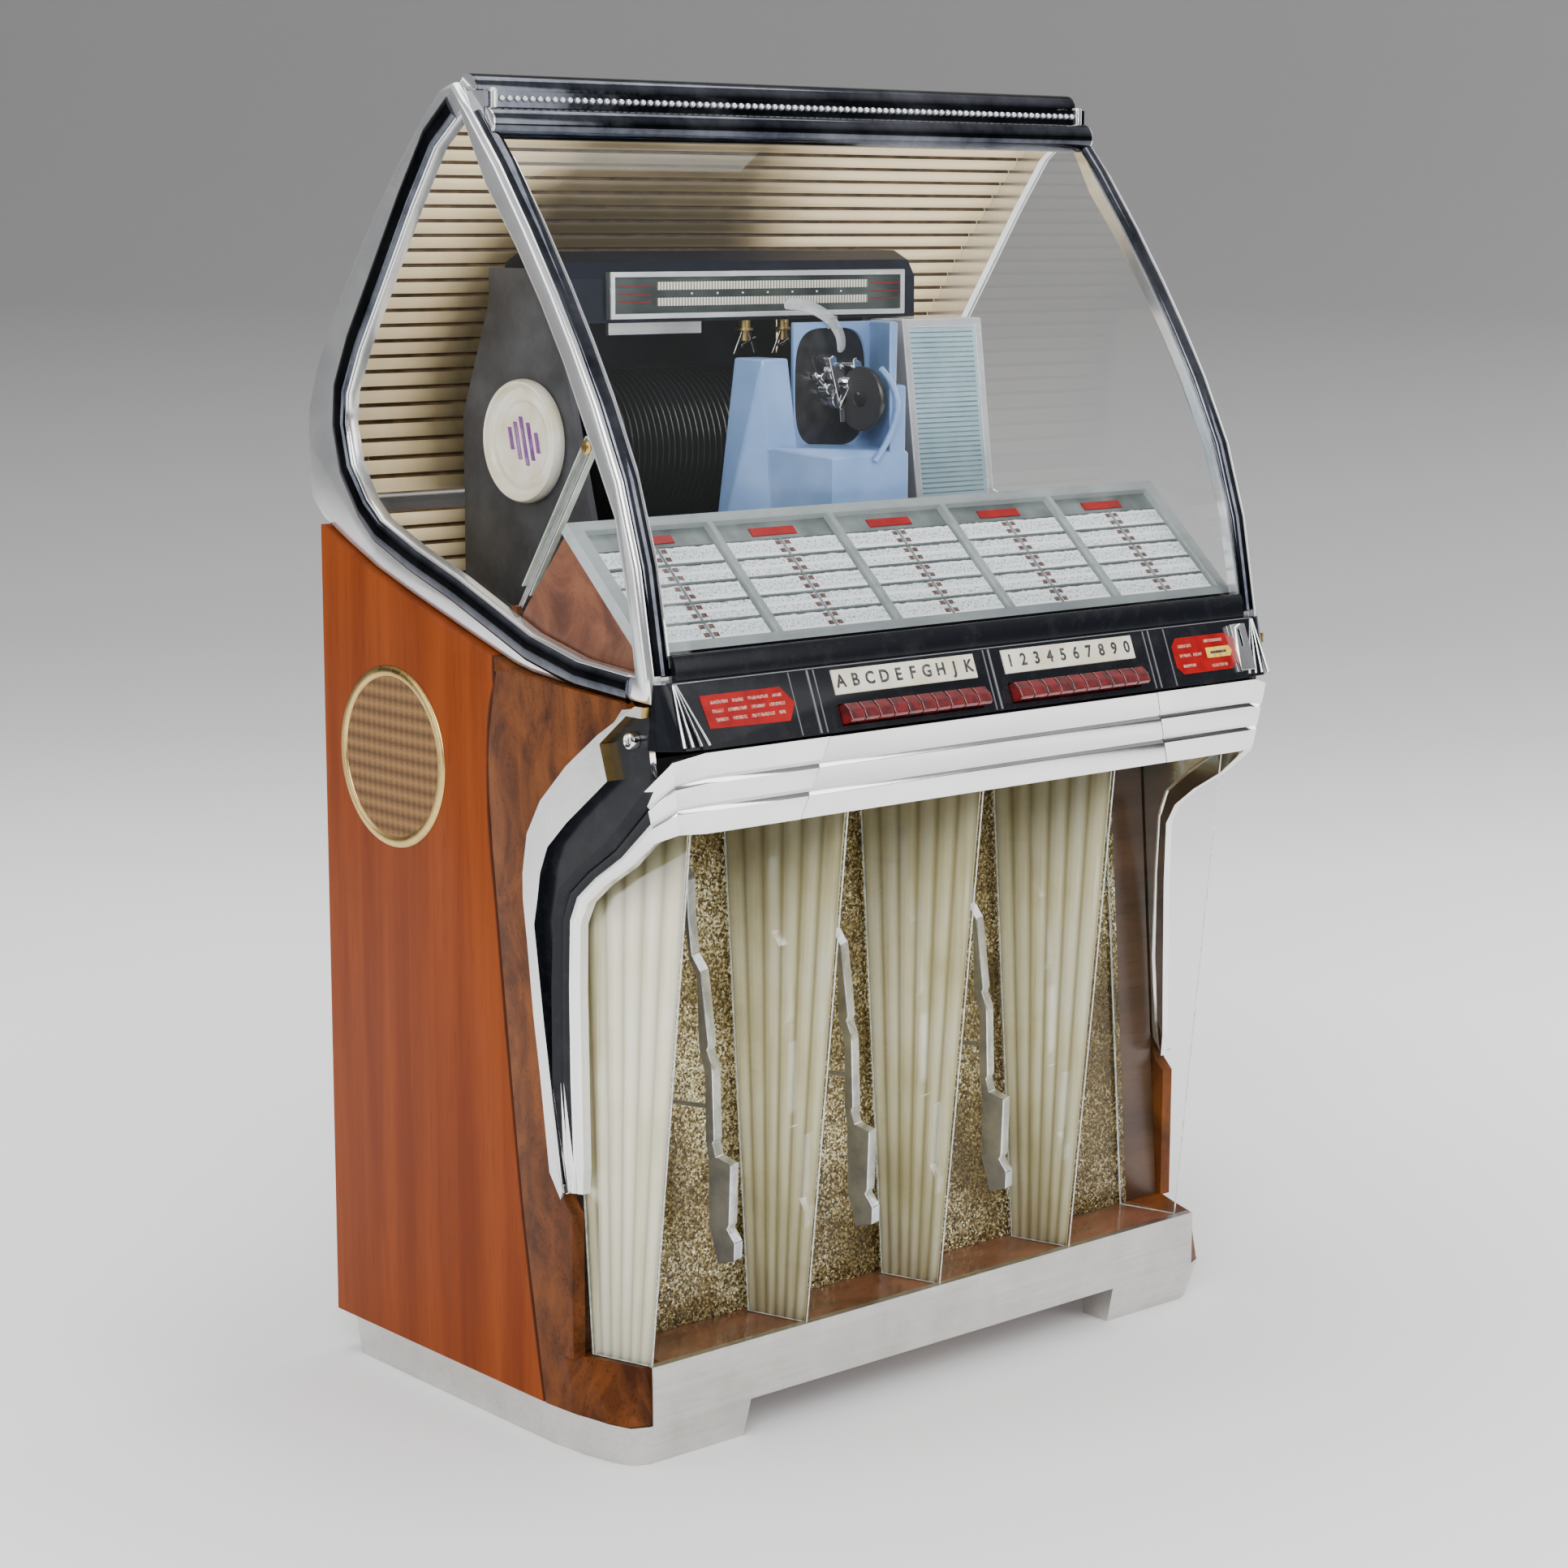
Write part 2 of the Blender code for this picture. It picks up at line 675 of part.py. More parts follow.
# Plinth: a foot on each side, its outer corner rounded and its front drawn in at the floor,
# and the aluminium kick band that joins them over the front of the ledge.
# Each corner of a foot's plan as shares of its half width and of the kick band's reach
FOOT_TOP_SHARES = ((1.000, -1.030), (1.000, 0.480), (0.990, 0.700), (0.976, 0.860), (0.955, 0.960),
                   (0.913, 0.996), (0.612, 0.996), (0.612, 0.780), (0.886, 0.780), (0.886, -1.030))
FOOT_FLOOR_SHARES = ((0.986, -1.025), (0.986, 0.470), (0.974, 0.680), (0.957, 0.820),
                     (0.934, 0.915), (0.895, 0.950), (0.616, 0.950), (0.616, 0.790),
                     (0.890, 0.790), (0.890, -1.025))
lip_top = LEDGE_Z + GAP + KICK_THICK / 2
plinth = side_plate("plinth", [[
    (KICK_Y, FOOT_HEIGHT - 2 * LAP), (KICK_Y + KICK_THICK, FOOT_HEIGHT - 2 * LAP),
    (KICK_Y + KICK_THICK, LEDGE_Z + GAP), (KICK_Y + KICK_LIP, LEDGE_Z + GAP),
    (KICK_Y + KICK_LIP, lip_top), (KICK_Y, lip_top)]], -KICK_HALF, KICK_HALF, ALLOY)
for side in (-1, 1):
    rings = [[(side * x * FOOT_HALF, KICK_Y * y, z) for x, y in shares]
             for shares, z in ((FOOT_FLOOR_SHARES, 0.0), (FOOT_TOP_SHARES, FOOT_HEIGHT))]
    weld(plinth, loft(f"foot_{side}", rings, ALLOY))

# Sides of the body: one board each, its top following the lid and its front the casting,
# with a block round the foot's corner and the groove that parts the two veneers.
# Front edge as shares of the casting's reach and of its height
EDGE_SHARES = ((0.508, -0.040), (0.467, -0.015), (0.427, 0.052), (0.380, 0.243), (0.349, 0.396),
               (0.327, 0.530), (0.321, 0.629), (0.358, 0.711), (0.467, 0.797), (0.623, 0.878),
               (0.794, 0.989))
# Base block in plan as shares of the half width and of the kick band's reach, low then high
BLOCK_LOW_SHARES = ((1.000, 0.500), (0.992, 0.680), (0.970, 0.860), (0.951, 0.950), (0.909, 0.987),
                    (0.860, 0.987), (0.860, 0.500))
BLOCK_HIGH_SHARES = ((1.000, 0.500), (0.994, 0.600), (0.970, 0.690), (0.946, 0.800),
                     (0.915, 0.960), (0.860, 0.987), (0.860, 0.500))
casting_high = LID_LOW - CASTING_LOW
block_back = KICK_Y * BLOCK_LOW_SHARES[0][1]
ledge_back = block_back + LEDGE_RUN
header_back = GRILLE_TOP_Y + POST_DEPTH + LAP
lid_low = smooth_line(lid_line(LID_PLAY), 2)
wood_edge = scaled(EDGE_SHARES, (0.0, CASTING_LOW), (FRONT, casting_high))
wood_edge = [(y, min(z, height_on(lid_low, y))) for y, z in wood_edge]
wood_top = [p for p in lid_low if wood_edge[-1][0] + OVERRUN < p[0] < BODY_BACK - OVERRUN]
side_outline = [
    (BODY_BACK, FOOT_HEIGHT + GAP), (block_back, FOOT_HEIGHT + GAP), (block_back, LEDGE_Z - LAP),
    (wood_edge[0][0], LEDGE_Z - LAP), *wood_edge, *wood_top, (BODY_BACK, height_on(lid_low, BODY_BACK))]
groove = smooth_line(groove_line(), 2)
side_boards = {}
for name, side in (("side_left", -1), ("side_right", 1)):
    outlines = [side_outline]
    if side < 0:
        outlines.append(circle((RING_Y, RING_Z), SIDE_HOLE, HOLE_SIDES))
    board = side_boards[name] = side_plate(name, outlines, side * INNER_WALL, side * HALF_BODY, WOOD)
    rings = [[(side * x * HALF_BODY, KICK_Y * y, z) for x, y in shares]
             for shares, z in ((BLOCK_LOW_SHARES, FOOT_HEIGHT + GAP), (BLOCK_HIGH_SHARES, LEDGE_Z))]
    weld(board, loft(f"base_block_{side}", rings, BURL))
    face = side * HALF_BODY
    line = [(groove[0][0], groove[0][1] - OVERRUN)] + groove
    cut(board, loft(f"groove_{side}", [
        [(face + side * GROOVE_DEEP, y - 2 * GROOVE_WIDE, z),
         (face + side * GROOVE_DEEP, y + 2 * GROOVE_WIDE, z),
         (face - side * GROOVE_DEEP, y, z)] for y, z in line], BURL))

# Bracket of the lid stay: a foot on the left board over the deck, and a lug beside the lid
bracket_face = STAY_X - STAY_ROD_THICK / 2 - GAP
bracket_top = height_on(lid_low, STAY_FOOT_Y) - OVERRUN
bracket_back = -LID_HALF + HOOP_THICK + GAP
weld(side_boards["side_left"], front_plate("stay_bracket", [[
    (-INNER_WALL - 3 * LAP, DECK_Z + OVERRUN), (bracket_face, DECK_Z + OVERRUN),
    (bracket_face, STAY_FOOT_Z + STAY_ROD), (bracket_back, STAY_FOOT_Z + STAY_ROD),
    (bracket_back, bracket_top), (-INNER_WALL - 3 * LAP, bracket_top)]],
    STAY_FOOT_Y - STAY_ROD, STAY_FOOT_Y + STAY_ROD, STEEL))

# Carcass inside: floor, ledge, posts beside the grille, the board over the fins, the deck,
# rails and battens at the back, and the triangular cheeks that carry the title rack
deck_x = INNER_WALL - GAP
lid_inner = LID_HALF - HOOP_THICK
block_x = BLOCK_LOW_SHARES[-1][0] * HALF_BODY - GAP
rack_lean = Vector((0.0, RACK_TOP_Y - RACK_FOOT_Y, RACK_TOP_Z - RACK_FOOT_Z)).normalized()
rack_down = Vector((0.0, rack_lean.z, -rack_lean.y))
rack_foot = Vector((0.0, RACK_FOOT_Y, RACK_FOOT_Z))
rack_top = Vector((0.0, RACK_TOP_Y, RACK_TOP_Z))
cheek_front = rack_foot + rack_down * (RACK_THICK + GAP)
cheek_top = rack_top + rack_down * (RACK_THICK + GAP) - rack_lean * STAY_ROD
header_front = FRONT + BAND_LEAN * (BAND_TOP - HEADER_Z) / BAND_HIGH + BAND_THICK + GAP
post_top = DECK_Z - BOARD_THICK / 2
header_side = BLOCK_LOW_SHARES[4][0] * INNER_WALL
carcass = block("carcass", (-deck_x, deck_x), (block_back + GAP, BODY_BACK),
                (FOOT_HEIGHT + GAP, FOOT_HEIGHT + GAP + BOARD_THICK), CARCASS)
weld(
    carcass,
    block("ledge", (-deck_x, deck_x), (block_back + GAP, ledge_back), (LEDGE_Z - BOARD_THICK, LEDGE_Z),
          CARCASS),
    block("ledge_front", (-block_x, block_x), (KICK_Y + KICK_THICK + GAP, ledge_back - LAP),
          (LEDGE_Z - BOARD_THICK, LEDGE_Z), CARCASS),
    plan_plate("header", [[
        (-deck_x, header_back), (-deck_x, header_front / 2 + header_back / 2),
        (-header_side, header_front + HEADER_CORNER), (-header_side + HEADER_CORNER, header_front),
        (header_side - HEADER_CORNER, header_front), (header_side, header_front + HEADER_CORNER),
        (deck_x, header_front / 2 + header_back / 2), (deck_x, header_back)]],
        HEADER_Z, HEADER_Z + HEADER_THICK, CARCASS),
    block("deck", (-deck_x, deck_x), (RACK_FOOT_Y + RACK_THICK, FLOOR_BACK),
          (DECK_Z - BOARD_THICK, DECK_Z), CARCASS),
    block("top_rail", (-lid_inner + LAP, lid_inner - LAP), (FLOOR_BACK, BODY_BACK),
          (DOOR_TOP + GAP, LID_HINGE_Z - LID_KNUCKLE - LID_PLAY - GAP), CARCASS),
)
for side in (-1, 1):
    weld(
        carcass,
        side_plate(f"post_{side}", [[
            (block_back + GAP, FOOT_HEIGHT + BOARD_THICK - LAP), (block_back + GAP, LEDGE_Z + GAP),
            (grille_y(LEDGE_Z), LEDGE_Z + GAP), (grille_y(DECK_Z), post_top),
            (grille_y(DECK_Z) + POST_DEPTH, post_top), (block_back + POST_DEPTH, LEDGE_Z),
            (block_back + POST_DEPTH, FOOT_HEIGHT + BOARD_THICK - LAP)]],
            side * (GRILLE_HALF + GAP), side * (deck_x - LAP), CARCASS),
        side_plate(f"batten_{side}", [rectangle(
            FLOOR_BACK - BOARD_THICK, FLOOR_BACK + LAP, FOOT_HEIGHT + BOARD_THICK - LAP,
            DOOR_TOP + BOARD_THICK)], side * (deck_x - BOARD_THICK), side * (deck_x - LAP), CARCASS),
        side_plate(f"rack_cheek_{side}", [[
            (cheek_front.y, DECK_Z - LAP), (cheek_front.y, cheek_front.z), (cheek_top.y, cheek_top.z),
            (STAY_FOOT_Y - STAY_ARM_WIDE * 0.75, STAY_FOOT_Z),
            (STAY_FOOT_Y - STAY_ARM_WIDE * 0.75, DECK_Z - LAP)]],
            side * (RACK_HALF - RACK_CHEEK), side * RACK_HALF, CARCASS),
    )

# Grille board: a sloping sheet between the posts
grille = side_plate("grille_board", [[
    (grille_y(LEDGE_Z), LEDGE_Z + GAP), (grille_y(HEADER_Z), HEADER_Z - GAP),
    (grille_y(HEADER_Z) + GRILLE_THICK, HEADER_Z - GAP),
    (grille_y(LEDGE_Z) + GRILLE_THICK, LEDGE_Z + GAP)]], -GRILLE_HALF, GRILLE_HALF, GLITTER)

# Fins: each stands on the ledge with its back edge against the board and leans out to the top
fin_along = Vector((math.sin(FIN_TURN), -math.cos(FIN_TURN)))
fin_across = Vector((math.cos(FIN_TURN), math.sin(FIN_TURN)))


def fin_length(z):
    """How far a fin reaches from the board at a height."""
    if z < FIN_MIDDLE_Z:
        share = (z - LEDGE_Z) / (FIN_MIDDLE_Z - LEDGE_Z)
        return FIN_FOOT + (FIN_MIDDLE - FIN_FOOT) * share
    share = (z - FIN_MIDDLE_Z) / (HEADER_Z - FIN_MIDDLE_Z)
    return FIN_MIDDLE + (FIN_HEAD - FIN_MIDDLE) * share


def fin_point(x_back, along, across, z):
    """A place beside a fin: along it from the board, across it to the right, at a height."""
    start = Vector((x_back, grille_y(z) - GAP - FIN_SET))
    place = start + fin_along * along + fin_across * across
    return (place.x, place.y, z)


def ribbed_ring(x_back, z):
    """Section through a ribbed fin at a height: ribs on its left face, flat on its right."""
    length = fin_length(z)
    ring = []
    for rib in range(FIN_RIBS):
        for step in range(FIN_RIB_STEPS):
            wave = math.sin(math.pi * step / FIN_RIB_STEPS)
            along = length * (rib + step / FIN_RIB_STEPS) / FIN_RIBS
            ring.append(fin_point(x_back, along, -FIN_THICK / 2 + FIN_RIB_DEEP * (1 - wave), z))
    ring.append(fin_point(x_back, length, -FIN_THICK / 2 + FIN_RIB_DEEP, z))
    ring.append(fin_point(x_back, length, FIN_THICK / 2, z))
    ring.append(fin_point(x_back, 0.0, FIN_THICK / 2, z))
    return ring


FIN_LEVELS = (LEDGE_Z + GAP, FIN_MIDDLE_Z, HEADER_Z - GAP)
for index, share in enumerate(FIN_PLACE_SHARES[:-1]):
    loft(f"ribbed_fin_{index + 1}", [ribbed_ring(share * FIN_SPAN, z) for z in FIN_LEVELS], RIBBED)
end_x = FIN_PLACE_SHARES[-1] * FIN_SPAN
loft("end_glass", [
    [fin_point(end_x, 0.0, 0.0, z), fin_point(end_x, fin_length(z), 0.0, z),
     fin_point(end_x, fin_length(z), FIN_GLASS, z), fin_point(end_x, 0.0, FIN_GLASS, z)]
    for z in FIN_LEVELS], GLASS)

# Cascades: a stair of bars, steps and a faceted box, thrown forward from the board.
# Outline along the fin's direction and up, as shares of the cascade's reach and height
CASCADE_SHARES = ((0.06, 1.000), (0.15, 0.975), (0.17, 0.880), (0.23, 0.786), (0.29, 0.772),
                  (0.39, 0.747), (0.41, 0.724), (0.53, 0.560), (0.50, 0.548), (0.59, 0.510),
                  (0.60, 0.487), (0.63, 0.320), (0.60, 0.311), (0.66, 0.276), (0.93, 0.261),
                  (0.90, 0.105), (0.86, 0.094), (1.00, 0.060), (0.99, 0.015), (0.68, 0.000),
                  (0.62, 0.043), (0.53, 0.093), (0.52, 0.263), (0.47, 0.320), (0.46, 0.480),
                  (0.35, 0.552), (0.31, 0.733), (0.18, 0.773), (0.06, 0.900), (0.01, 0.990))
# Two pins hold a cascade to the board; each starts inside it at these shares
CASCADE_PIN_SHARES = ((0.12, 0.90), (0.53, 0.40))
for index in range(1, len(FIN_PLACE_SHARES) - 1):
    x_back = FIN_PLACE_SHARES[index] * FIN_SPAN - CASCADE_OFFSET
    origin = Vector(fin_point(x_back, CASCADE_START, 0.0, CASCADE_LOW))
    origin.y += grille_y(CASCADE_TOP) - grille_y(CASCADE_LOW)
    frame = plane((fin_along.x, fin_along.y, 0.0), (0.0, 0.0, 1.0), origin)
    outline = scaled(CASCADE_SHARES, (0.0, 0.0), (CASCADE_REACH, CASCADE_TOP - CASCADE_LOW))
    cascade = plate(f"cascade_{index}", [outline], CASCADE_WIDE, frame, CHROME)
    for along, up in CASCADE_PIN_SHARES:
        start = frame @ Vector((along * CASCADE_REACH, up * (CASCADE_TOP - CASCADE_LOW), 0.0))
        seat = Vector(fin_point(x_back, 0.0, 0.0, start.z))
        toward = (start - seat).normalized()
        weld(cascade, rod(f"pin_{index}", seat - toward * CASCADE_PIN_PLAY, start, CASCADE_PIN, 8, CHROME))

# Corner castings: a flange over the wood, a dark channel, and the fluted ribbon that runs
# from the front band round the corner, down the channel's edge to a point.
# Flange and channel as shares of the casting's reach and height
FLANGE_SHARES = ((0.460, -0.012), (0.402, 0.036), (0.355, 0.235), (0.324, 0.346), (0.293, 0.499),
                 (0.274, 0.576), (0.274, 0.629), (0.299, 0.709), (0.371, 0.780), (0.508, 0.859),
                 (0.670, 0.931), (0.857, 0.999), (0.890, 0.999), (0.890, 0.850))
CHANNEL_SHARES = ((0.380, 0.337), (0.333, 0.530), (0.352, 0.583), (0.368, 0.637), (0.408, 0.692),
                  (0.508, 0.748), (0.720, 0.847), (0.682, 0.916), (0.816, 0.979), (0.880, 0.979))
# Ribbon: its outer and inner edges as shares of the half width, of the reach and of the
# height up to the band's top, with how far its face looks sideways and forward
RIBBON_SHARES = (
    ((0.532, 1.000, 1.000), (0.5985, 0.966, 0.826), (0.0, 1.0)),
    ((0.891, 1.000, 1.000), (0.869, 0.966, 0.826), (0.1, 1.0)),
    ((0.961, 0.963, 0.983), (0.933, 0.944, 0.828), (0.6, 0.8)),
    ((0.996, 0.885, 0.920), (0.968, 0.888, 0.809), (0.95, 0.3)),
    ((1.002, 0.707, 0.799), (0.972, 0.773, 0.748), (1.0, 0.0)),
    ((1.002, 0.561, 0.732), (0.972, 0.645, 0.696), (1.0, 0.0)),
    ((1.002, 0.461, 0.675), (0.972, 0.555, 0.648), (1.0, 0.0)),
    ((1.002, 0.427, 0.612), (0.972, 0.514, 0.597), (1.0, 0.0)),
    ((1.002, 0.414, 0.455), (0.972, 0.509, 0.455), (1.0, 0.0)),
    ((1.002, 0.414, 0.245), (0.972, 0.514, 0.245), (1.0, 0.0)),
    ((1.002, 0.436, 0.078), (0.972, 0.520, 0.057), (1.0, 0.0)),
    ((1.002, 0.467, 0.004), (0.972, 0.514, 0.000), (1.0, 0.0)))
# Flutes across the ribbon's face: share of its width, and of the flute's depth
FLUTE_SHARES = ((0.00, 0.0), (0.28, 0.0), (0.33, 1.0), (0.38, 0.0), (0.62, 0.0), (0.67, 1.0),
                (0.72, 0.0), (1.00, 0.0))


def ribbon_ring(side, station):
    """Section through the ribbon at one of its stations."""
    upper, lower = [Vector((side * x * HALF_BODY, y * FRONT, CASTING_LOW + z * (BAND_TOP - CASTING_LOW)))
                    for x, y, z in station[:2]]
    out = Vector((side * station[2][0], -station[2][1], 0.0)).normalized()
    thick = CASTING_RIBBON_FRONT + (CASTING_RIBBON_SIDE - CASTING_RIBBON_FRONT) * station[2][0]
    ring = [upper + (lower - upper) * share - out * BAND_GROOVE * deep for share, deep in FLUTE_SHARES]
    return ring + [lower - out * thick, upper - out * thick]


for name, side in (("corner_casting_left", -1), ("corner_casting_right", 1)):
    flange_line = scaled(FLANGE_SHARES, (0.0, CASTING_LOW), (FRONT, casting_high))
    border = [(y * FRONT - LAP, CASTING_LOW + z * (BAND_TOP - CASTING_LOW))
              for (x, y, z), lower, out in RIBBON_SHARES[3:]]
    under = [(y - CASTING_RIBBON_FRONT, z) for y, z in border]
    face = HALF_BODY + CASTING_PROUD
    casting = side_plate(name, [flange_line + border], side * (HALF_BODY + GAP), side * face, CHROME)
    inner_edge = [(y - GAP - GAP, z) for y, z in wood_edge if z > CASTING_LOW]
    deep_top = LID_LOW - LAP
    core = side_plate(f"core_{side}", [
        [(y, min(z, deep_top)) for y, z in inner_edge]
        + [(border[0][0], deep_top), (border[0][0], BAND_TOP)] + under], side * (HALF_BODY - CASTING_DEEP),
        side * (face - GAP), CHROME)
    channel = scaled(CHANNEL_SHARES, (0.0, CASTING_LOW), (FRONT, casting_high))
    beyond = [(y - 2 * CASTING_RIBBON_SIDE, z) for y, z in border]
    pocket = side_plate(f"pocket_{side}", [[(border[-1][0] - LAP, border[-1][1] + LAP)] + channel + [
        (border[0][0] - 2 * CASTING_RIBBON_SIDE, channel[-1][1])] + beyond],
        side * (face - CHANNEL_DEEP), side * (face + OVERRUN), CHROME)
    weld(casting, core)
    cut(casting, pocket)
    weld(casting, loft(f"ribbon_{side}", [ribbon_ring(side, row) for row in RIBBON_SHARES], CHROME))

# Front band: it closes the front between the castings; two grooves run along it
seam_top, seam_low = [row[0] * HALF_BODY for row in RIBBON_SHARES[0][:2]]
band_rows = [(FRONT + BAND_LEAN * share, BAND_TOP - BAND_HIGH * share) for share, deep in FLUTE_SHARES]
rings = []
for side in (-1, 1):
    ring = []
    for (share, deep), (y, z) in zip(FLUTE_SHARES, band_rows):
        x = seam_top + (seam_low - seam_top) * share - SEAM_GAP
        ring.append((side * x, y + BAND_GROOVE * deep, z))
    for share in (1.0, 0.0):
        x = seam_top + (seam_low - seam_top) * share - SEAM_GAP
        ring.append((side * x, FRONT + BAND_LEAN * share + BAND_THICK, BAND_TOP - BAND_HIGH * share))
    rings.append(ring)
loft("front_band", rings, CHROME)

# Control panel: a leaning board with a window for each bank of keys, a raised legend strip
# over each, a raised coin bezel with its slot, and fluted caps that close its ends
panel_up = Vector((0.0, PANEL_TOP_Y - PANEL_LOW_Y, PANEL_TOP_Z - PANEL_LOW_Z))
panel_high = panel_up.length
panel_up.normalize()
panel_out = Vector((1.0, 0.0, 0.0)).cross(panel_up)


def panel_plane(depth):
    """The panel's drawing plane, a depth behind its face; its origin is at the lower edge."""
    origin = Vector((0.0, PANEL_LOW_Y, PANEL_LOW_Z)) - panel_out * depth
    return plane((1.0, 0.0, 0.0), panel_up, origin)


key_pitch = BANK_WIDE / KEYS
window = [rectangle(side * BANK_CENTRE - BANK_WIDE / 2, side * BANK_CENTRE + BANK_WIDE / 2,
                    KEY_LOW, KEY_LOW + KEY_HIGH) for side in (-1, 1)]
panel_outline = [(-PANEL_HALF, 0.0), (PANEL_HALF, 0.0), (PANEL_TOP_HALF, panel_high),
                 (-PANEL_TOP_HALF, panel_high)]
panel = plate("control_panel", [panel_outline] + window, PANEL_THICK, panel_plane(PANEL_THICK / 2), BLACK)
legend_low = panel_high - LEGEND_TOP - LEGEND_HIGH
for side in (-1, 1):
    centre = side * BANK_CENTRE
    weld(panel, plate(f"legend_{side}", [rectangle(
        centre - BANK_WIDE / 2, centre + BANK_WIDE / 2, legend_low, legend_low + LEGEND_HIGH)],
        2 * LEGEND_THICK, panel_plane(0.0), CREAM))
coin_low = (panel_high - COIN_HIGH) / 2
slot_top = coin_low + COIN_HIGH - COIN_SLOT_HEAD
coin_slot = rectangle(COIN_X - COIN_SLOT / 2, COIN_X + COIN_SLOT / 2, slot_top - COIN_SLOT_HIGH, slot_top)
weld(panel, plate("coin_bezel", [rectangle(
    COIN_X - COIN_WIDE / 2, COIN_X + COIN_WIDE / 2, coin_low, coin_low + COIN_HIGH)],
    2 * COIN_THICK, panel_plane(0.0), CHROME))
cut(panel, plate("coin_slot", [coin_slot], 2 * COIN_THICK + 2 * PANEL_THICK + OVERRUN,
                 panel_plane(0.0), CHROME))
for side in (-1, 1):
    rings = []
    for shares, z in ((CAP_FOOT_SHARES, PANEL_LOW_Z), (CAP_HEAD_SHARES, PANEL_TOP_Z - LAP)):
        ring = [(side * x * HALF_BODY, y * FRONT, z) for x, y in shares]
        rings.append(ring + [(ring[-1][0], CAP_BACK, z), (ring[0][0], CAP_BACK, z)])
    weld(panel, loft(f"cap_{side}", rings, CHROME))

# Keys: ten letters in the left bank, ten numbers in the right; each slides through its window
KEY_LETTERS = "abcdefghjk"
KEY_NUMBERS = "1234567890"
# Side view of a key as shares of its height and of how far it stands out
KEY_SHARES = ((0.04, 0.0), (0.04, 0.80), (0.14, 1.00), (0.55, 0.92), (0.96, 0.55), (0.96, 0.0))
key_wide = key_pitch - KEY_GAP
for side, names in ((-1, KEY_LETTERS), (1, KEY_NUMBERS)):
    for index, letter in enumerate(names):
        x = side * BANK_CENTRE - BANK_WIDE / 2 + key_pitch * (index + 0.5)
        pivot = Vector((x, PANEL_LOW_Y, PANEL_LOW_Z)) + panel_up * (KEY_LOW + KEY_HIGH / 2)
        profile = [((up - 0.5) * KEY_HIGH, out * KEY_PROUD) for up, out in KEY_SHARES]
        profile = [(KEY_SHARES[0][0] * KEY_HIGH - KEY_HIGH / 2, -KEY_TAIL)] + profile + [
            (KEY_SHARES[-1][0] * KEY_HIGH - KEY_HIGH / 2, -KEY_TAIL)]
        key = plate(f"key_{letter}", [profile], key_wide, plane(panel_up, panel_out, pivot), RED)
        hang_on(key, pivot)

# Title rack: a leaning frame of five bays, with raised rows of title strips in every bay
rack_high = (rack_top - rack_foot).length
rack_face = plane((1.0, 0.0, 0.0), rack_lean, rack_foot + rack_down * RACK_THICK / 2)
rack = plate("title_rack", [rectangle(-RACK_HALF, RACK_HALF, 0.0, rack_high)], RACK_THICK, rack_face, RACK)
bay_pitch = 2 * (RACK_HALF - RACK_RIM) / RACK_BAYS
rack_front = plane((1.0, 0.0, 0.0), rack_lean, rack_foot)
for bay in range(RACK_BAYS):
    left = -RACK_HALF + RACK_RIM + bay * bay_pitch + RACK_BAR / 2
    right = left + bay_pitch - RACK_BAR
    cut(rack, plate(f"bay_{bay}", [rectangle(left, right, RACK_RIM, rack_high - RACK_RIM)],
                    2 * RACK_POCKET, rack_front, RACK))
    floor = plane((1.0, 0.0, 0.0), rack_lean, rack_foot + rack_down * RACK_POCKET)
    card_space = rack_high - 2 * RACK_RIM - CARD_HEADER
    card_pitch = card_space / CARD_ROWS
    middle = (left + right) / 2
    for row in range(CARD_ROWS):
        low = RACK_RIM + row * card_pitch + CARD_GAP
        for start, end in ((left + CARD_SIDE, middle - CARD_SIDE / 2),
                           (middle + CARD_SIDE / 2, right - CARD_SIDE)):
            weld(rack, plate(f"card_{bay}_{row}", [rectangle(start, end, low, low + card_pitch - CARD_GAP)],
                             2 * CARD_THICK, floor, PAPER))

# Mechanism: a rounded housing along the top, end plates, and a base under the carriage
mech_low = DECK_Z + GAP
head_low = MECH_TOP - MECH_HEAD_HIGH
# Housing in side view as shares of its depth and height
HEAD_SHARES = ((0.00, 0.00), (0.00, 0.62), (0.10, 0.86), (0.30, 1.00), (0.70, 1.00), (0.90, 0.86),
               (1.00, 0.62), (1.00, 0.00))
# End plate in side view as shares of its depth and of its height above the deck
END_SHARES = ((0.00, 0.00), (0.00, 0.36), (0.28, 0.88), (0.28, 0.96), (0.78, 0.96), (0.78, 0.88),
              (1.00, 0.60), (1.00, 0.00))
head_outline = scaled(HEAD_SHARES, (MECH_FRONT, head_low), (MECH_DEEP, MECH_HEAD_HIGH))
frame = side_plate("mechanism_frame", [head_outline], MECH_LEFT, MECH_RIGHT, NAVY)
end_outline = scaled(END_SHARES, (MECH_PLATE_FRONT, mech_low),
                     (MECH_PLATE_DEEP, MECH_TOP - mech_low))
for x in (MECH_LEFT - MECH_PLATE + LAP, MECH_END - LAP):
    weld(frame, side_plate(f"end_plate_{x}", [end_outline], x, x + MECH_PLATE, GREY))
rail_y = CARRIAGE_BACK + RAIL_RADIUS + GAP
rail_z = CARRIAGE_LOW + RAIL_RADIUS * 4
weld(frame,
     block("mech_base", (MECH_LEFT - LAP, MECH_END + LAP),
           (MECH_FRONT, MECH_PLATE_FRONT + MECH_PLATE_DEEP - MECH_PLATE),
           (mech_low, mech_low + MECH_BASE_HIGH), GREY),
     rod("front_rail", (MECH_LEFT - LAP, rail_y, rail_z), (MECH_END + LAP, rail_y, rail_z), RAIL_RADIUS,
         10, STEEL))
scale_front = MECH_FRONT - SCALE_THICK
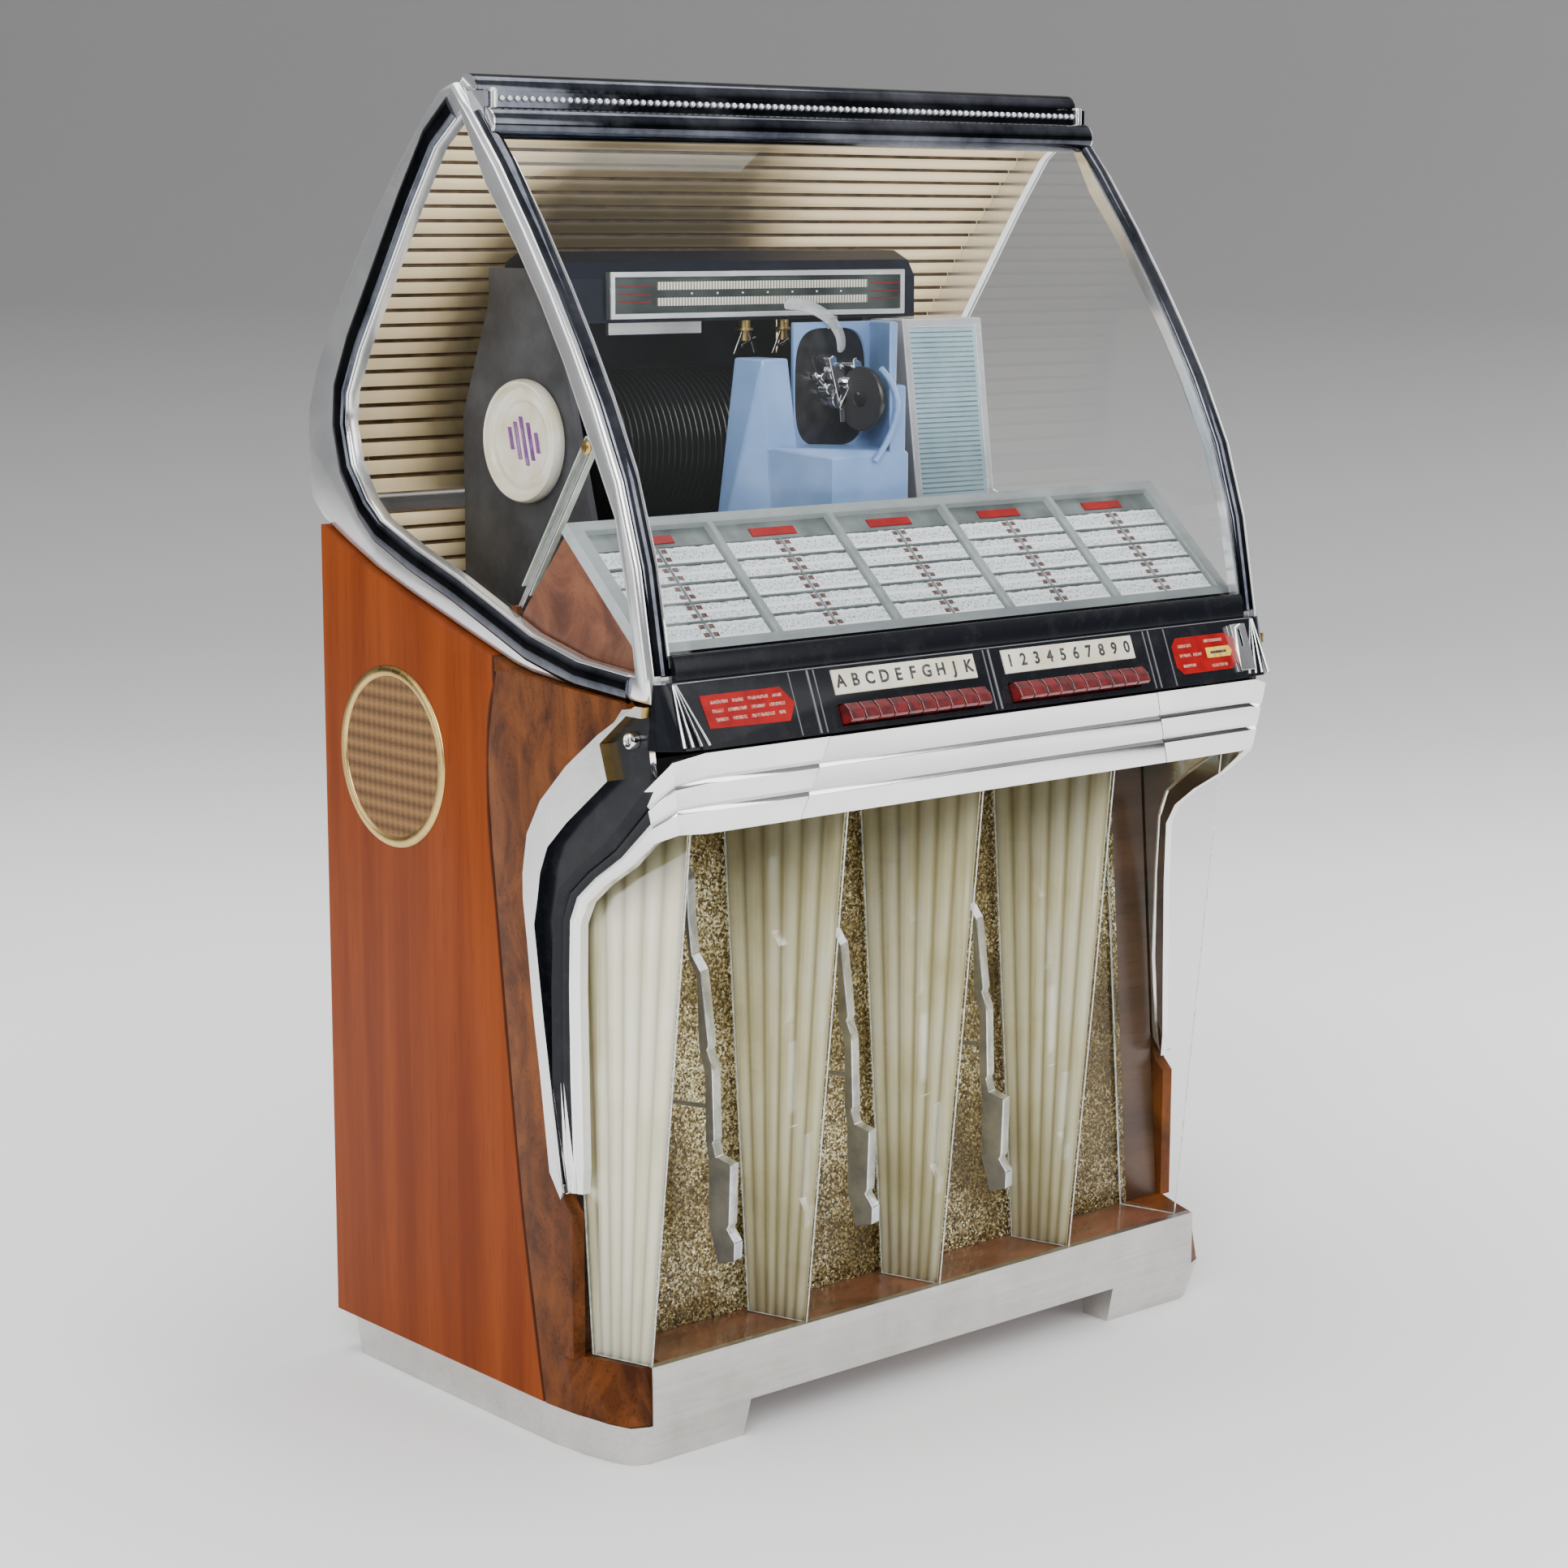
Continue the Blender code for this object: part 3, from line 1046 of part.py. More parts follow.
scale_outline = rectangle(SCALE_LEFT, SCALE_RIGHT, SCALE_LOW, SCALE_LOW + SCALE_HIGH)
weld(frame, front_plate("scale_plate", [scale_outline], scale_front, MECH_FRONT + LAP, PANES))

# Records: a row of discs on one spindle between the end plates
profile = [(0.0, RECORD_FIRST - RECORD_PITCH + MECH_PLATE + GAP)]
profile.append((SPINE_RADIUS, profile[0][1]))
for index in range(RECORDS):
    x = RECORD_FIRST + index * RECORD_PITCH
    profile += [(SPINE_RADIUS, x), (RECORD_RADIUS, x), (RECORD_RADIUS, x + RECORD_THICK),
                (SPINE_RADIUS, x + RECORD_THICK)]
record_end = MECH_END - LAP - GAP
profile += [(SPINE_RADIUS, record_end), (0.0, record_end)]
turned("records", profile[::-1], RECORD_SIDES,
       plane((0.0, 0.0, -1.0), (0.0, 1.0, 0.0), (0.0, RECORD_Y, RECORD_Z)), VINYL)

# End cover: a leaning box at the right end of the mechanism, its front sunk inside a rim
cover_outline = [(COVER_LEFT + COVER_LEAN, mech_low), (COVER_RIGHT + COVER_LEAN, mech_low),
                 (COVER_RIGHT, COVER_TOP), (COVER_LEFT, COVER_TOP)]
cover = front_plate("mechanism_end_cover", [cover_outline], COVER_FRONT, COVER_FRONT + COVER_DEEP, TEAL)
cut(cover, front_plate("cover_recess", [inset(cover_outline, COVER_RIM)],
                       COVER_FRONT - OVERRUN, COVER_FRONT + COVER_RECESS, TEAL))

# Badge disc: a cream plastic disc with a double rim, on the left end plate
BADGE_SHARES = ((0.0, 0.35), (0.60, 0.35), (0.66, 0.60), (0.74, 0.60), (0.80, 0.40), (0.86, 0.45),
                (0.92, 1.00), (0.98, 0.85), (1.00, 0.30), (0.97, 0.0), (0.0, 0.0))
badge_back = MECH_LEFT - MECH_PLATE + LAP - GAP
turned("badge_disc", scaled(BADGE_SHARES, (0.0, 0.0), (BADGE_RADIUS, BADGE_THICK)), 32,
       plane((0.0, 1.0, 0.0), (0.0, 0.0, -1.0), (badge_back, BADGE_Y, BADGE_Z)), CREAM)

# Carriage: a tapering column, a low block and an upright, which slide along the records
CARRIAGE_SHARES = ((-1.00, 0.00), (-0.79, 1.00), (-0.57, 1.00), (-0.51, 0.60), (0.16, 0.60),
                   (0.16, 1.16), (0.60, 1.16), (0.635, 0.60), (0.635, 0.00))
carriage_outline = scaled(CARRIAGE_SHARES, (0.0, CARRIAGE_LOW), (CARRIAGE_REACH, CARRIAGE_TOP - CARRIAGE_LOW))
carriage = ease(front_plate("carriage", [carriage_outline], CARRIAGE_FRONT, CARRIAGE_BACK, BLUE),
                CARRIAGE_EASE, angle=math.radians(20))
hang_on(carriage, (0.0, CARRIAGE_BACK, CARRIAGE_LOW))
block_top = CARRIAGE_LOW + (CARRIAGE_TOP - CARRIAGE_LOW) * CARRIAGE_SHARES[3][1]
upright_x = CARRIAGE_REACH * CARRIAGE_SHARES[4][0]
platter_at = (upright_x - GAP, (CARRIAGE_FRONT + CARRIAGE_BACK) / 2,
              block_top + PLATTER_RADIUS + 2 * PLATTER_THICK)
platter = turned("turntable", [(0.0, PLATTER_THICK), (PLATTER_RADIUS / 4, PLATTER_THICK),
                               (PLATTER_RADIUS / 4, PLATTER_THICK / 2), (PLATTER_RADIUS, PLATTER_THICK / 2),
                               (PLATTER_RADIUS, 0.0), (0.0, 0.0)], 24,
                 plane((0.0, 1.0, 0.0), (0.0, 0.0, -1.0), platter_at), STEEL)
hang_on(platter, platter_at)

# Tone arm: a slim clear arm that swings beside the upright
arm_foot = Vector((ARM_FOOT, CARRIAGE_FRONT - ARM_TUBE - GAP, block_top - ARM_DROP))
ARM_SHARES = ((0.0, 0.0), (0.30, 0.35), (0.55, 0.80), (0.60, 1.20), (0.40, 1.60), (0.15, 1.85))
arm_curve = bpy.data.curves.new("arm_line", "CURVE")
arm_curve.dimensions = "3D"
arm_curve.bevel_depth = ARM_TUBE
arm_curve.bevel_resolution = 1
arm_curve.use_fill_caps = True
arm_line = smooth_line([(arm_foot.x + side_share * ARM_REACH, arm_foot.y, arm_foot.z + up_share * ARM_REACH)
                        for side_share, up_share in ARM_SHARES], 2)
spline = arm_curve.splines.new("POLY")
spline.points.add(len(arm_line) - 1)
for point, place in zip(spline.points, arm_line):
    point.co = (*place, 1.0)
arm_thing = bpy.data.objects.new("arm_line", arm_curve)
PARTS.objects.link(arm_thing)
arm = to_mesh(arm_thing, "tonearm", GLASS)
hang_on(arm, arm_line[0])

# Lid frame: a hoop on each side, wide front posts, a rail under the glass, two barrels and a
# beaded strip across the top, and a rail with hinge knuckles at the back.
# The window in a hoop, as shares of the reach and of the lid's height
WINDOW_SHARES = ((-0.807, 0.044), (-0.776, 0.150), (-0.710, 0.292), (-0.597, 0.401),
                 (-0.461, 0.530), (-0.343, 0.626), (-0.218, 0.716), (-0.062, 0.815), (0.065, 0.930),
                 (0.199, 0.879), (0.340, 0.780), (0.505, 0.653), (0.657, 0.537), (0.735, 0.459),
                 (0.745, 0.406), (0.713, 0.337), (0.626, 0.277), (0.548, 0.244), (0.343, 0.202),
                 (0.112, 0.163), (-0.112, 0.119), (-0.283, 0.085), (-0.533, 0.055))
hoop = scaled(HOOP_SHARES, (0.0, LID_LOW), (REAR, LID_HIGH))
hoop += [p for p in smooth_line(lid_line(), 2)[::-1] if hoop[0][0] + OVERRUN < p[0] < hoop[-1][0] - OVERRUN]
pane_hole = scaled(WINDOW_SHARES, (0.0, LID_LOW), (REAR, LID_HIGH))
front_line = hoop[1:FRONT_POINTS]
rear_line = [(BARREL_Y + BARREL_RADIUS + 2 * LAP, hoop[FRONT_POINTS + 1][1])]
rear_line += hoop[FRONT_POINTS + 1:FRONT_POINTS + 1 + REAR_POINTS]


def behind(line, distance):
    """An open line moved to its right-hand side by a distance."""
    moved = []
    for index, point in enumerate(line):
        ahead = Vector(line[min(index + 1, len(line) - 1)]) - Vector(line[max(index - 1, 0)])
        normal = Vector((ahead.y, -ahead.x)).normalized()
        moved.append(tuple(Vector(point) + normal * distance))
    return moved


lid = side_plate("canopy_frame", [hoop, pane_hole], -LID_HALF, -lid_inner, CHROME)
weld(lid, side_plate("hoop_right", [hoop, pane_hole], lid_inner, LID_HALF, CHROME))
post_base = [tuple(Vector(a).lerp(Vector(b), POST_SHIFT_SHARE)) for a, b in zip(front_line, front_line[1:])]
post_line = behind(post_base, 2 * LAP) + behind(post_base, POST_FACE_DEEP)[::-1]
for side in (-1, 1):
    weld(lid, side_plate(f"post_strip_{side}", [post_line], side * (LID_HALF - POST_FACE),
                         side * (lid_inner + 4 * LAP), CHROME))
weld(lid, block("front_rail", (-lid_inner - 2 * LAP, lid_inner + 2 * LAP),
                (hoop[0][0] + LAP / 2, hoop[0][0] + POST_FACE_DEEP),
                (LID_LOW + LAP, RAIL_TOP + 3 * LAP), CHROME))
barrel_high = HEIGHT - BARREL_RADIUS
barrel_low = barrel_high - 2 * BARREL_RADIUS - BARREL_GAP
for name, y, z in (("barrel_high", BARREL_Y, barrel_high),
                   ("barrel_low", BARREL_Y - BARREL_STEP, barrel_low)):
    weld(lid, rod(name, (-lid_inner - LAP * 2, y, z), (lid_inner + LAP * 2, y, z), BARREL_RADIUS, 16, CHROME))
weld(lid, block("beaded_strip", (-lid_inner - 3 * LAP, lid_inner + 3 * LAP),
                (BARREL_Y - BARREL_STEP, BARREL_Y - LAP), (barrel_low, barrel_high - 2 * LAP), CHROME))
rail_y = LID_HINGE_Y + LID_KNUCKLE * 2
weld(lid, block("rear_rail", (-lid_inner - LAP, lid_inner + LAP),
                (LID_HINGE_Y - LID_KNUCKLE / 2, rail_y + HOOD_THICK),
                (LID_HINGE_Z + LID_KNUCKLE + LID_PLAY, LID_HINGE_Z + 5 * LID_KNUCKLE), CHROME))
for side in (-1, 1):
    x = side * HINGE_X
    weld(lid,
         rod("lid_knuckle", (x + GAP, LID_HINGE_Y, LID_HINGE_Z),
             (x + LID_KNUCKLE_LONG / 2, LID_HINGE_Y, LID_HINGE_Z),
             LID_KNUCKLE, 12, CHROME),
         block("lid_leaf", (x + GAP, x + LID_KNUCKLE_LONG / 2),
               (LID_HINGE_Y + LAP / 2, LID_HINGE_Y + LID_KNUCKLE - GAP),
               (LID_HINGE_Z + LAP / 2, LID_HINGE_Z + 2 * LID_KNUCKLE), CHROME))
    weld(carcass,
         rod("body_knuckle", (x - LID_KNUCKLE_LONG / 2, LID_HINGE_Y, LID_HINGE_Z),
             (x - GAP, LID_HINGE_Y, LID_HINGE_Z),
             LID_KNUCKLE, 12, STEEL),
         block("body_leaf", (x - LID_KNUCKLE_LONG / 2, x - GAP),
               (BODY_BACK - LAP, LID_HINGE_Y + LID_KNUCKLE - GAP),
               (LID_HINGE_Z - 4 * LID_KNUCKLE, LID_HINGE_Z - LAP / 2), STEEL))

# Glass of the lid: a pane in each hoop and a curved pane between the front posts
pane_outline = inset(pane_hole, GAP)
for name, side in (("side_glass_left", -1), ("side_glass_right", 1)):
    side_plate(name, [pane_outline], side * (lid_inner + LID_GLASS_IN),
               side * (lid_inner + LID_GLASS_IN + LID_GLASS), GLASS)
glass_line = behind(front_line, LID_GLASS_IN)
glass_line[0] = (glass_line[0][0], RAIL_TOP + 4 * LAP)
glass_back = behind(front_line, LID_GLASS_IN + LID_GLASS)
glass_back[0] = (glass_back[0][0], RAIL_TOP + 4 * LAP)
for line in (glass_line, glass_back):
    line[-1] = tuple(Vector(line[-2]).lerp(Vector(line[-1]), GLASS_END_SHARE))
side_plate("front_glass", [glass_line + glass_back[::-1]], LID_HALF - POST_FACE - GAP,
           -(LID_HALF - POST_FACE - GAP), GLASS)

# Rear hood and the ribbed reflector inside it
hood_half = lid_inner - GAP
hood_line = behind(rear_line, HOOD_THICK / 2)
hood = side_plate("rear_hood", [hood_line + behind(hood_line, HOOD_THICK)[::-1]], -hood_half, hood_half, GOLD)
rib_base = behind(rear_line, HOOD_THICK * 3 / 2 + REFLECTOR_GAP)
lengths = [0.0]
for a, b in zip(rib_base, rib_base[1:]):
    lengths.append(lengths[-1] + (Vector(b) - Vector(a)).length)


def along_line(line, marks, distance):
    """The place at a distance along a line whose running lengths are known."""
    for (a, b), (start, end) in zip(zip(line, line[1:]), zip(marks, marks[1:])):
        if distance <= end:
            share = (distance - start) / (end - start)
            return Vector(a).lerp(Vector(b), max(share, 0.0))
    return Vector(line[-1])


steps = REFLECTOR_RIBS * 2
waves = [tuple(along_line(rib_base, lengths, lengths[-1] * i / steps)) for i in range(steps + 1)]
waves = [tuple(Vector(p).lerp(Vector(q), i % 2))
         for i, (p, q) in enumerate(zip(waves, behind(waves, REFLECTOR_RIB)))]
side_plate("reflector", [waves + behind(waves, HOOD_THICK / 2)[::-1]], -hood_half, hood_half, GOLD)

# Lid stay: a rod hinged on the rack cheek slides in an arm that is pinned to the lid
stay_line = Vector((0.0, STAY_HEAD_Y - STAY_FOOT_Y, STAY_HEAD_Z - STAY_FOOT_Z))
stay_long = stay_line.length
stay_line.normalize()
stay_across = Vector((0.0, -stay_line.z, stay_line.y))
stay_foot = Vector((STAY_X, STAY_FOOT_Y, STAY_FOOT_Z))
stay_plane = plane(stay_across, stay_line, stay_foot)
stay_rod = plate("stay_rod", [
    [(-STAY_ROD / 2, -STAY_ROD / 2), (STAY_ROD / 2, -STAY_ROD / 2), (STAY_ROD / 2, stay_long - STAY_ROD),
     (-STAY_ROD / 2, stay_long - STAY_ROD)]], STAY_ROD_THICK, stay_plane, STEEL)
hang_on(stay_rod, stay_foot)
arm_low = stay_long - STAY_ARM_LONG
stay_arm = plate("stay_arm",
                 [rectangle(-STAY_ARM_WIDE / 2, STAY_ARM_WIDE / 2, arm_low, stay_long + STAY_ARM_WIDE / 2)],
                 STAY_ARM_DEEP, stay_plane, STEEL)
cut(stay_arm, plate("stay_channel", [rectangle(
    -STAY_ARM_WIDE / 2 + STAY_WALL, STAY_ARM_WIDE / 2 - STAY_WALL, arm_low - OVERRUN,
    stay_long + STAY_ARM_WIDE / 2 - STAY_WALL)], STAY_ARM_DEEP,
    stay_plane @ Matrix.Translation((0.0, 0.0, STAY_WALL)), STEEL))
hang_on(stay_arm, stay_foot + stay_line * stay_long)

# Speakers: the side grille with its brass ring and cloth, and the drivers behind the boards
ring = turned("speaker_ring", [
    (0.0, CLOTH_THICK), (RING_RADIUS - RING_WIDE, CLOTH_THICK), (RING_RADIUS - RING_WIDE * 0.8, RING_PROUD),
    (RING_RADIUS - RING_WIDE / 5, RING_PROUD), (RING_RADIUS, RING_PROUD / 2), (RING_RADIUS, 0.0),
    (0.0, 0.0)], 36,
    plane((0.0, 1.0, 0.0), (0.0, 0.0, -1.0), (-HALF_BODY - GAP, RING_Y, RING_Z)), BRASS)
CONE_SHARES = ((0.00, 0.62), (0.30, 0.62), (0.84, 0.96), (0.88, 1.00), (1.00, 1.00), (1.00, 0.95),
               (0.46, 0.45), (0.46, 0.30), (0.42, 0.28), (0.42, 0.02), (0.38, 0.0), (0.0, 0.0))
turned("side_driver", scaled(CONE_SHARES, (0.0, 0.0), (DRIVER_RADIUS, DRIVER_DEEP)), 20,
       plane((0.0, 1.0, 0.0), (0.0, 0.0, -1.0), (-INNER_WALL + GAP + DRIVER_DEEP, RING_Y, RING_Z)), GREY)
woofer_y = grille_y(WOOFER_Z) + GRILLE_THICK + GAP
tilt = Vector((0.0, GRILLE_TOP_Y - GRILLE_FOOT_Y, HEADER_Z - LEDGE_Z)).normalized()
facing = Vector((1.0, 0.0, 0.0)).cross(tilt)
turned("woofer", scaled(CONE_SHARES, (0.0, -WOOFER_DEEP), (WOOFER_RADIUS, WOOFER_DEEP)), 24,
       plane((1.0, 0.0, 0.0), tilt, (0.0, woofer_y, WOOFER_Z)), GREY)

# Amplifier with its valves, and the cash box, on the floor board
floor_top = FOOT_HEIGHT + GAP + BOARD_THICK + GAP
amp = block("amplifier", (AMP_X - AMP_WIDE / 2, AMP_X + AMP_WIDE / 2),
            (AMP_Y - AMP_DEEP / 2, AMP_Y + AMP_DEEP / 2),
            (floor_top, floor_top + AMP_HIGH), GREY)
VALVE_SHARES = ((-0.40, 0.25), (-0.22, 0.25), (-0.04, 0.25), (-0.40, -0.20), (-0.22, -0.20))
for across, back in VALVE_SHARES:
    place = Vector((AMP_X + across * AMP_WIDE, AMP_Y + back * AMP_DEEP, floor_top + AMP_HIGH))
    weld(amp, rod("valve", place - Vector((0.0, 0.0, LAP)), place + Vector((0.0, 0.0, VALVE_HIGH)),
                  VALVE_RADIUS, 10, GREY))
weld(amp, block("transformer", (AMP_X + AMP_WIDE * 0.12, AMP_X + AMP_WIDE * 0.40),
                (AMP_Y - AMP_DEEP * 0.3, AMP_Y + AMP_DEEP * 0.3),
                (floor_top + AMP_HIGH - LAP, floor_top + AMP_HIGH + VALVE_HIGH), GREY))
cash = block("cash_box", (CASH_X - CASH_WIDE / 2, CASH_X + CASH_WIDE / 2),
             (CASH_Y - CASH_DEEP / 2, CASH_Y + CASH_DEEP / 2),
             (floor_top, floor_top + CASH_HIGH), GREY)
cut(cash, block("cash_hollow", (CASH_X - CASH_WIDE / 2 + CASH_WALL, CASH_X + CASH_WIDE / 2 - CASH_WALL),
                (CASH_Y - CASH_DEEP / 2 + CASH_WALL, CASH_Y + CASH_DEEP / 2 - CASH_WALL),
                (floor_top + CASH_WALL, floor_top + CASH_HIGH + OVERRUN), GREY))

# Rear door: a fibreboard sheet with rows of slots, hinged on the right
slots_top = DOOR_TOP - DOOR_SLOT_DROP
door = front_plate("rear_door", [rectangle(-deck_x + DOOR_SIDE, deck_x - DOOR_SIDE, DOOR_LOW, DOOR_TOP)]
                   + [rectangle(-DOOR_SLOT_WIDE / 2, DOOR_SLOT_WIDE / 2, slots_top - i * DOOR_SLOT_PITCH,
                                slots_top - i * DOOR_SLOT_PITCH + DOOR_SLOT_HIGH) for i in range(DOOR_SLOTS)],
                   FLOOR_BACK + LAP + GAP, FLOOR_BACK + LAP + GAP + DOOR_THICK, FIBRE)
hang_on(door, (deck_x - DOOR_SIDE, FLOOR_BACK + LAP + GAP + DOOR_THICK, 0.0))

# Lid lock: a round cylinder with its lever in the recess of the left casting
lock_floor = -(HALF_BODY + CASTING_PROUD - CHANNEL_DEEP) - GAP
lock = rod("lid_lock", (lock_floor - LOCK_LONG, LOCK_Y, LOCK_Z), (lock_floor, LOCK_Y, LOCK_Z),
           LOCK_RADIUS, 14, STEEL)
hang_on(lock, (lock_floor, LOCK_Y, LOCK_Z))

# The origin is the middle of the whole box, and the keys stand out past the front band, so
# everything moves back by half of what they stand out
key_front = Vector((0.0, PANEL_LOW_Y, PANEL_LOW_Z))
key_front += panel_up * (KEY_LOW + KEY_SHARES[2][0] * KEY_HIGH) + panel_out * KEY_PROUD
setback = -(key_front.y + REAR) / 2
for thing in (*PARTS.objects, *CUTTERS.objects):
    thing.location.y += setback
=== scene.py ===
"""The jukebox as it is photographed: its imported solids, dressed with finishes and fine pieces."""

import json
import math

import bmesh
import bpy
from mathutils import Matrix, Vector

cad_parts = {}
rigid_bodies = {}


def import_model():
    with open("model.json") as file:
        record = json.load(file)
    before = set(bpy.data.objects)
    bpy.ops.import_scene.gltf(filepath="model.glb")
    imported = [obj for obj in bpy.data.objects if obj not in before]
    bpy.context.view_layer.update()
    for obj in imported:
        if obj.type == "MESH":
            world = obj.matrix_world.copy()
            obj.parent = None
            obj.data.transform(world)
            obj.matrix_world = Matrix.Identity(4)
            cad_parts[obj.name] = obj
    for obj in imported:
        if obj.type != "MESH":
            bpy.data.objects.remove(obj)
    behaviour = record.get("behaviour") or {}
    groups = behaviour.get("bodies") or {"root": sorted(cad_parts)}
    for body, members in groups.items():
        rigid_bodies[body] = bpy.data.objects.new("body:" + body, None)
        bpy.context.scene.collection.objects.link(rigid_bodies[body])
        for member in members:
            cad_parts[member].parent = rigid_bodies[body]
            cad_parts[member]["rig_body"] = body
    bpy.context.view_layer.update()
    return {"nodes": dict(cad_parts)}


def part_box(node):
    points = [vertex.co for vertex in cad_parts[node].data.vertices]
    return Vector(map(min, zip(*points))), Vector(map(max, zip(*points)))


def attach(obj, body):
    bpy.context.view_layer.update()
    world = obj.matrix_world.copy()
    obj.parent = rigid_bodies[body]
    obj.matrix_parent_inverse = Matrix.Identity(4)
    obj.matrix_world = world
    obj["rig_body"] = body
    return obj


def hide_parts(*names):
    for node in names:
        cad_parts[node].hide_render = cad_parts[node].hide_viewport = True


for thing in list(bpy.data.objects):
    bpy.data.objects.remove(thing, do_unlink=True)
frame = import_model()

# Studio: a pale floor that rises into a backdrop behind, with painted shade that greys it towards
# the back and the top, and soft lamps on both sides. The camera stands where the photograph was taken from.
CAMERA_TURN = math.radians(40.80)
CAMERA_RISE = math.radians(9.86)
CAMERA_ROLL = math.radians(0.14)
CAMERA_FAR = 3.673
CAMERA_AIM = Vector((-0.0145, -0.0588))
CAMERA_LENS = 74.16
AIM = Vector((0.0, 0.01375, 0.70))
toward = Vector((-math.sin(CAMERA_TURN) * math.cos(CAMERA_RISE),
                 -math.cos(CAMERA_TURN) * math.cos(CAMERA_RISE), math.sin(CAMERA_RISE)))
level = Vector((0.0, 0.0, 1.0)).cross(toward).normalized()
upright = toward.cross(level)
across = level * math.cos(CAMERA_ROLL) + upright * math.sin(CAMERA_ROLL)
above = upright * math.cos(CAMERA_ROLL) - level * math.sin(CAMERA_ROLL)
camera = bpy.data.objects.new("camera", bpy.data.cameras.new("camera"))
camera.data.lens = CAMERA_LENS
camera.data.sensor_width = 36.0
camera.matrix_world = Matrix((across, above, toward)).transposed().to_4x4()
camera.location = AIM + toward * CAMERA_FAR + across * CAMERA_AIM.x + above * CAMERA_AIM.y
camera.data.clip_start = 0.05
camera.data.clip_end = 60.0
bpy.context.scene.collection.objects.link(camera)
bpy.context.scene.camera = camera

FLOOR_HALF = 6.0
WALL_AWAY = 3.4
WALL_HIGH = 5.0
WALL_ROUND = 1.6
# Painted shade darkens the paper from here to the wall and up to this height, and a painted glow lights it
# more further out
SHADE_FROM, SHADE_HIGH = 0.2, 1.1
GLOW_FROM, GLOW_TO, GLOW_LEAST, GLOW_MOST = 0.65, 1.9, 0.12, 0.7


def place_mesh(name, bm, material=None, smooth=None):
    """Links a finished bmesh as an object at the origin; smooth is the angle that stays sharp."""
    mesh = bpy.data.meshes.new(name)
    bm.to_mesh(mesh)
    bm.free()
    if material is not None:
        mesh.materials.append(material)
    if smooth is not None:
        mesh.shade_smooth()
        mesh.set_sharp_from_angle(angle=math.radians(smooth))
    made = bpy.data.objects.new(name, mesh)
    bpy.context.scene.collection.objects.link(made)
    return made


def node(tree, kind, values=None, **settings):
    """Adds a shader node; a value that is a socket is linked, any other is set."""
    made = tree.nodes.new(kind)
    for key, value in settings.items():
        setattr(made, key, value)
    for key, value in (values or {}).items():
        if isinstance(value, bpy.types.NodeSocket):
            tree.links.new(value, made.inputs[key])
        else:
            made.inputs[key].default_value = value
    return made


def finish(name, colour, roughness, metallic=0.0, **more):
    """A new material, its node tree and its Principled shader with plain values."""
    material = bpy.data.materials.new(name)
    material.use_nodes = True
    shader = material.node_tree.nodes["Principled BSDF"]
    shader.inputs["Base Color"].default_value = (*colour, 1.0)
    shader.inputs["Roughness"].default_value = roughness
    shader.inputs["Metallic"].default_value = metallic
    for key, value in more.items():
        shader.inputs[key.replace("_", " ").title()].default_value = value
    return material, material.node_tree, shader


def calc(tree, operation, *values, **settings):
    """A Math node's result."""
    made = node(tree, "ShaderNodeMath", dict(enumerate(values)), operation=operation, **settings)
    return made.outputs[0]


def span(tree, value, low=0.0, high=1.0, to_low=0.0, to_high=1.0):
    """A value carried from one range to another, and held at its ends."""
    return node(tree, "ShaderNodeMapRange", {"Value": value, "From Min": low, "From Max": high,
                                             "To Min": to_low, "To Max": to_high}).outputs[0]


def vector_calc(tree, operation, *values):
    """A Vector Math node's vector."""
    return node(tree, "ShaderNodeVectorMath", dict(enumerate(values)), operation=operation).outputs[0]


def object_spot(tree):
    """The place on the object that is shaded."""
    return node(tree, "ShaderNodeTexCoord").outputs["Object"]


def ramp(tree, factor, *stops):
    """A colour ramp through (place, colour) stops."""
    made = node(tree, "ShaderNodeValToRGB", {"Fac": factor})
    elements = made.color_ramp.elements
    while len(elements) < len(stops):
        elements.new(0.5)
    for element, (place, colour) in zip(elements, stops):
        element.position = place
        element.color = (*colour, 1.0) if len(colour) == 3 else colour
    return made.outputs["Color"]


def verts_of(result):
    """The vertices that a bmesh operator has made."""
    return [item for item in result["geom"] if isinstance(item, bmesh.types.BMVert)]


bm = bmesh.new()
profile = [bm.verts.new((-FLOOR_HALF, -FLOOR_HALF, 0.0)),
           bm.verts.new((-FLOOR_HALF, WALL_AWAY - WALL_ROUND, 0.0))]
for step in range(1, 13):
    turn = math.radians(90.0 * step / 12)
    profile.append(bm.verts.new((-FLOOR_HALF, WALL_AWAY - WALL_ROUND * (1 - math.sin(turn)),
                                 WALL_ROUND * (1 - math.cos(turn)))))
profile.append(bm.verts.new((-FLOOR_HALF, WALL_AWAY, WALL_HIGH)))
edges = [bm.edges.new(pair) for pair in zip(profile, profile[1:])]
swept = bmesh.ops.extrude_edge_only(bm, edges=edges)
bmesh.ops.translate(bm, vec=(2 * FLOOR_HALF, 0.0, 0.0), verts=verts_of(swept))
bmesh.ops.recalc_face_normals(bm, faces=bm.faces)
bmesh.ops.rotate(bm, verts=bm.verts, matrix=Matrix.Rotation(-CAMERA_TURN, 3, "Z"))
paper, tree, shader = finish("studio_paper_painted_shade", (0.8, 0.8, 0.8), 0.9)
place = object_spot(tree)
turned = node(tree, "ShaderNodeVectorRotate", {"Vector": place, "Angle": CAMERA_TURN},
              rotation_type="Z_AXIS")
parts = node(tree, "ShaderNodeSeparateXYZ", {"Vector": turned.outputs[0]})
far = span(tree, parts.outputs["Y"], SHADE_FROM, WALL_AWAY)
rise = span(tree, parts.outputs["Z"], 0.0, SHADE_HIGH)
half = calc(tree, "MULTIPLY", calc(tree, "ADD", far, rise), 0.5)
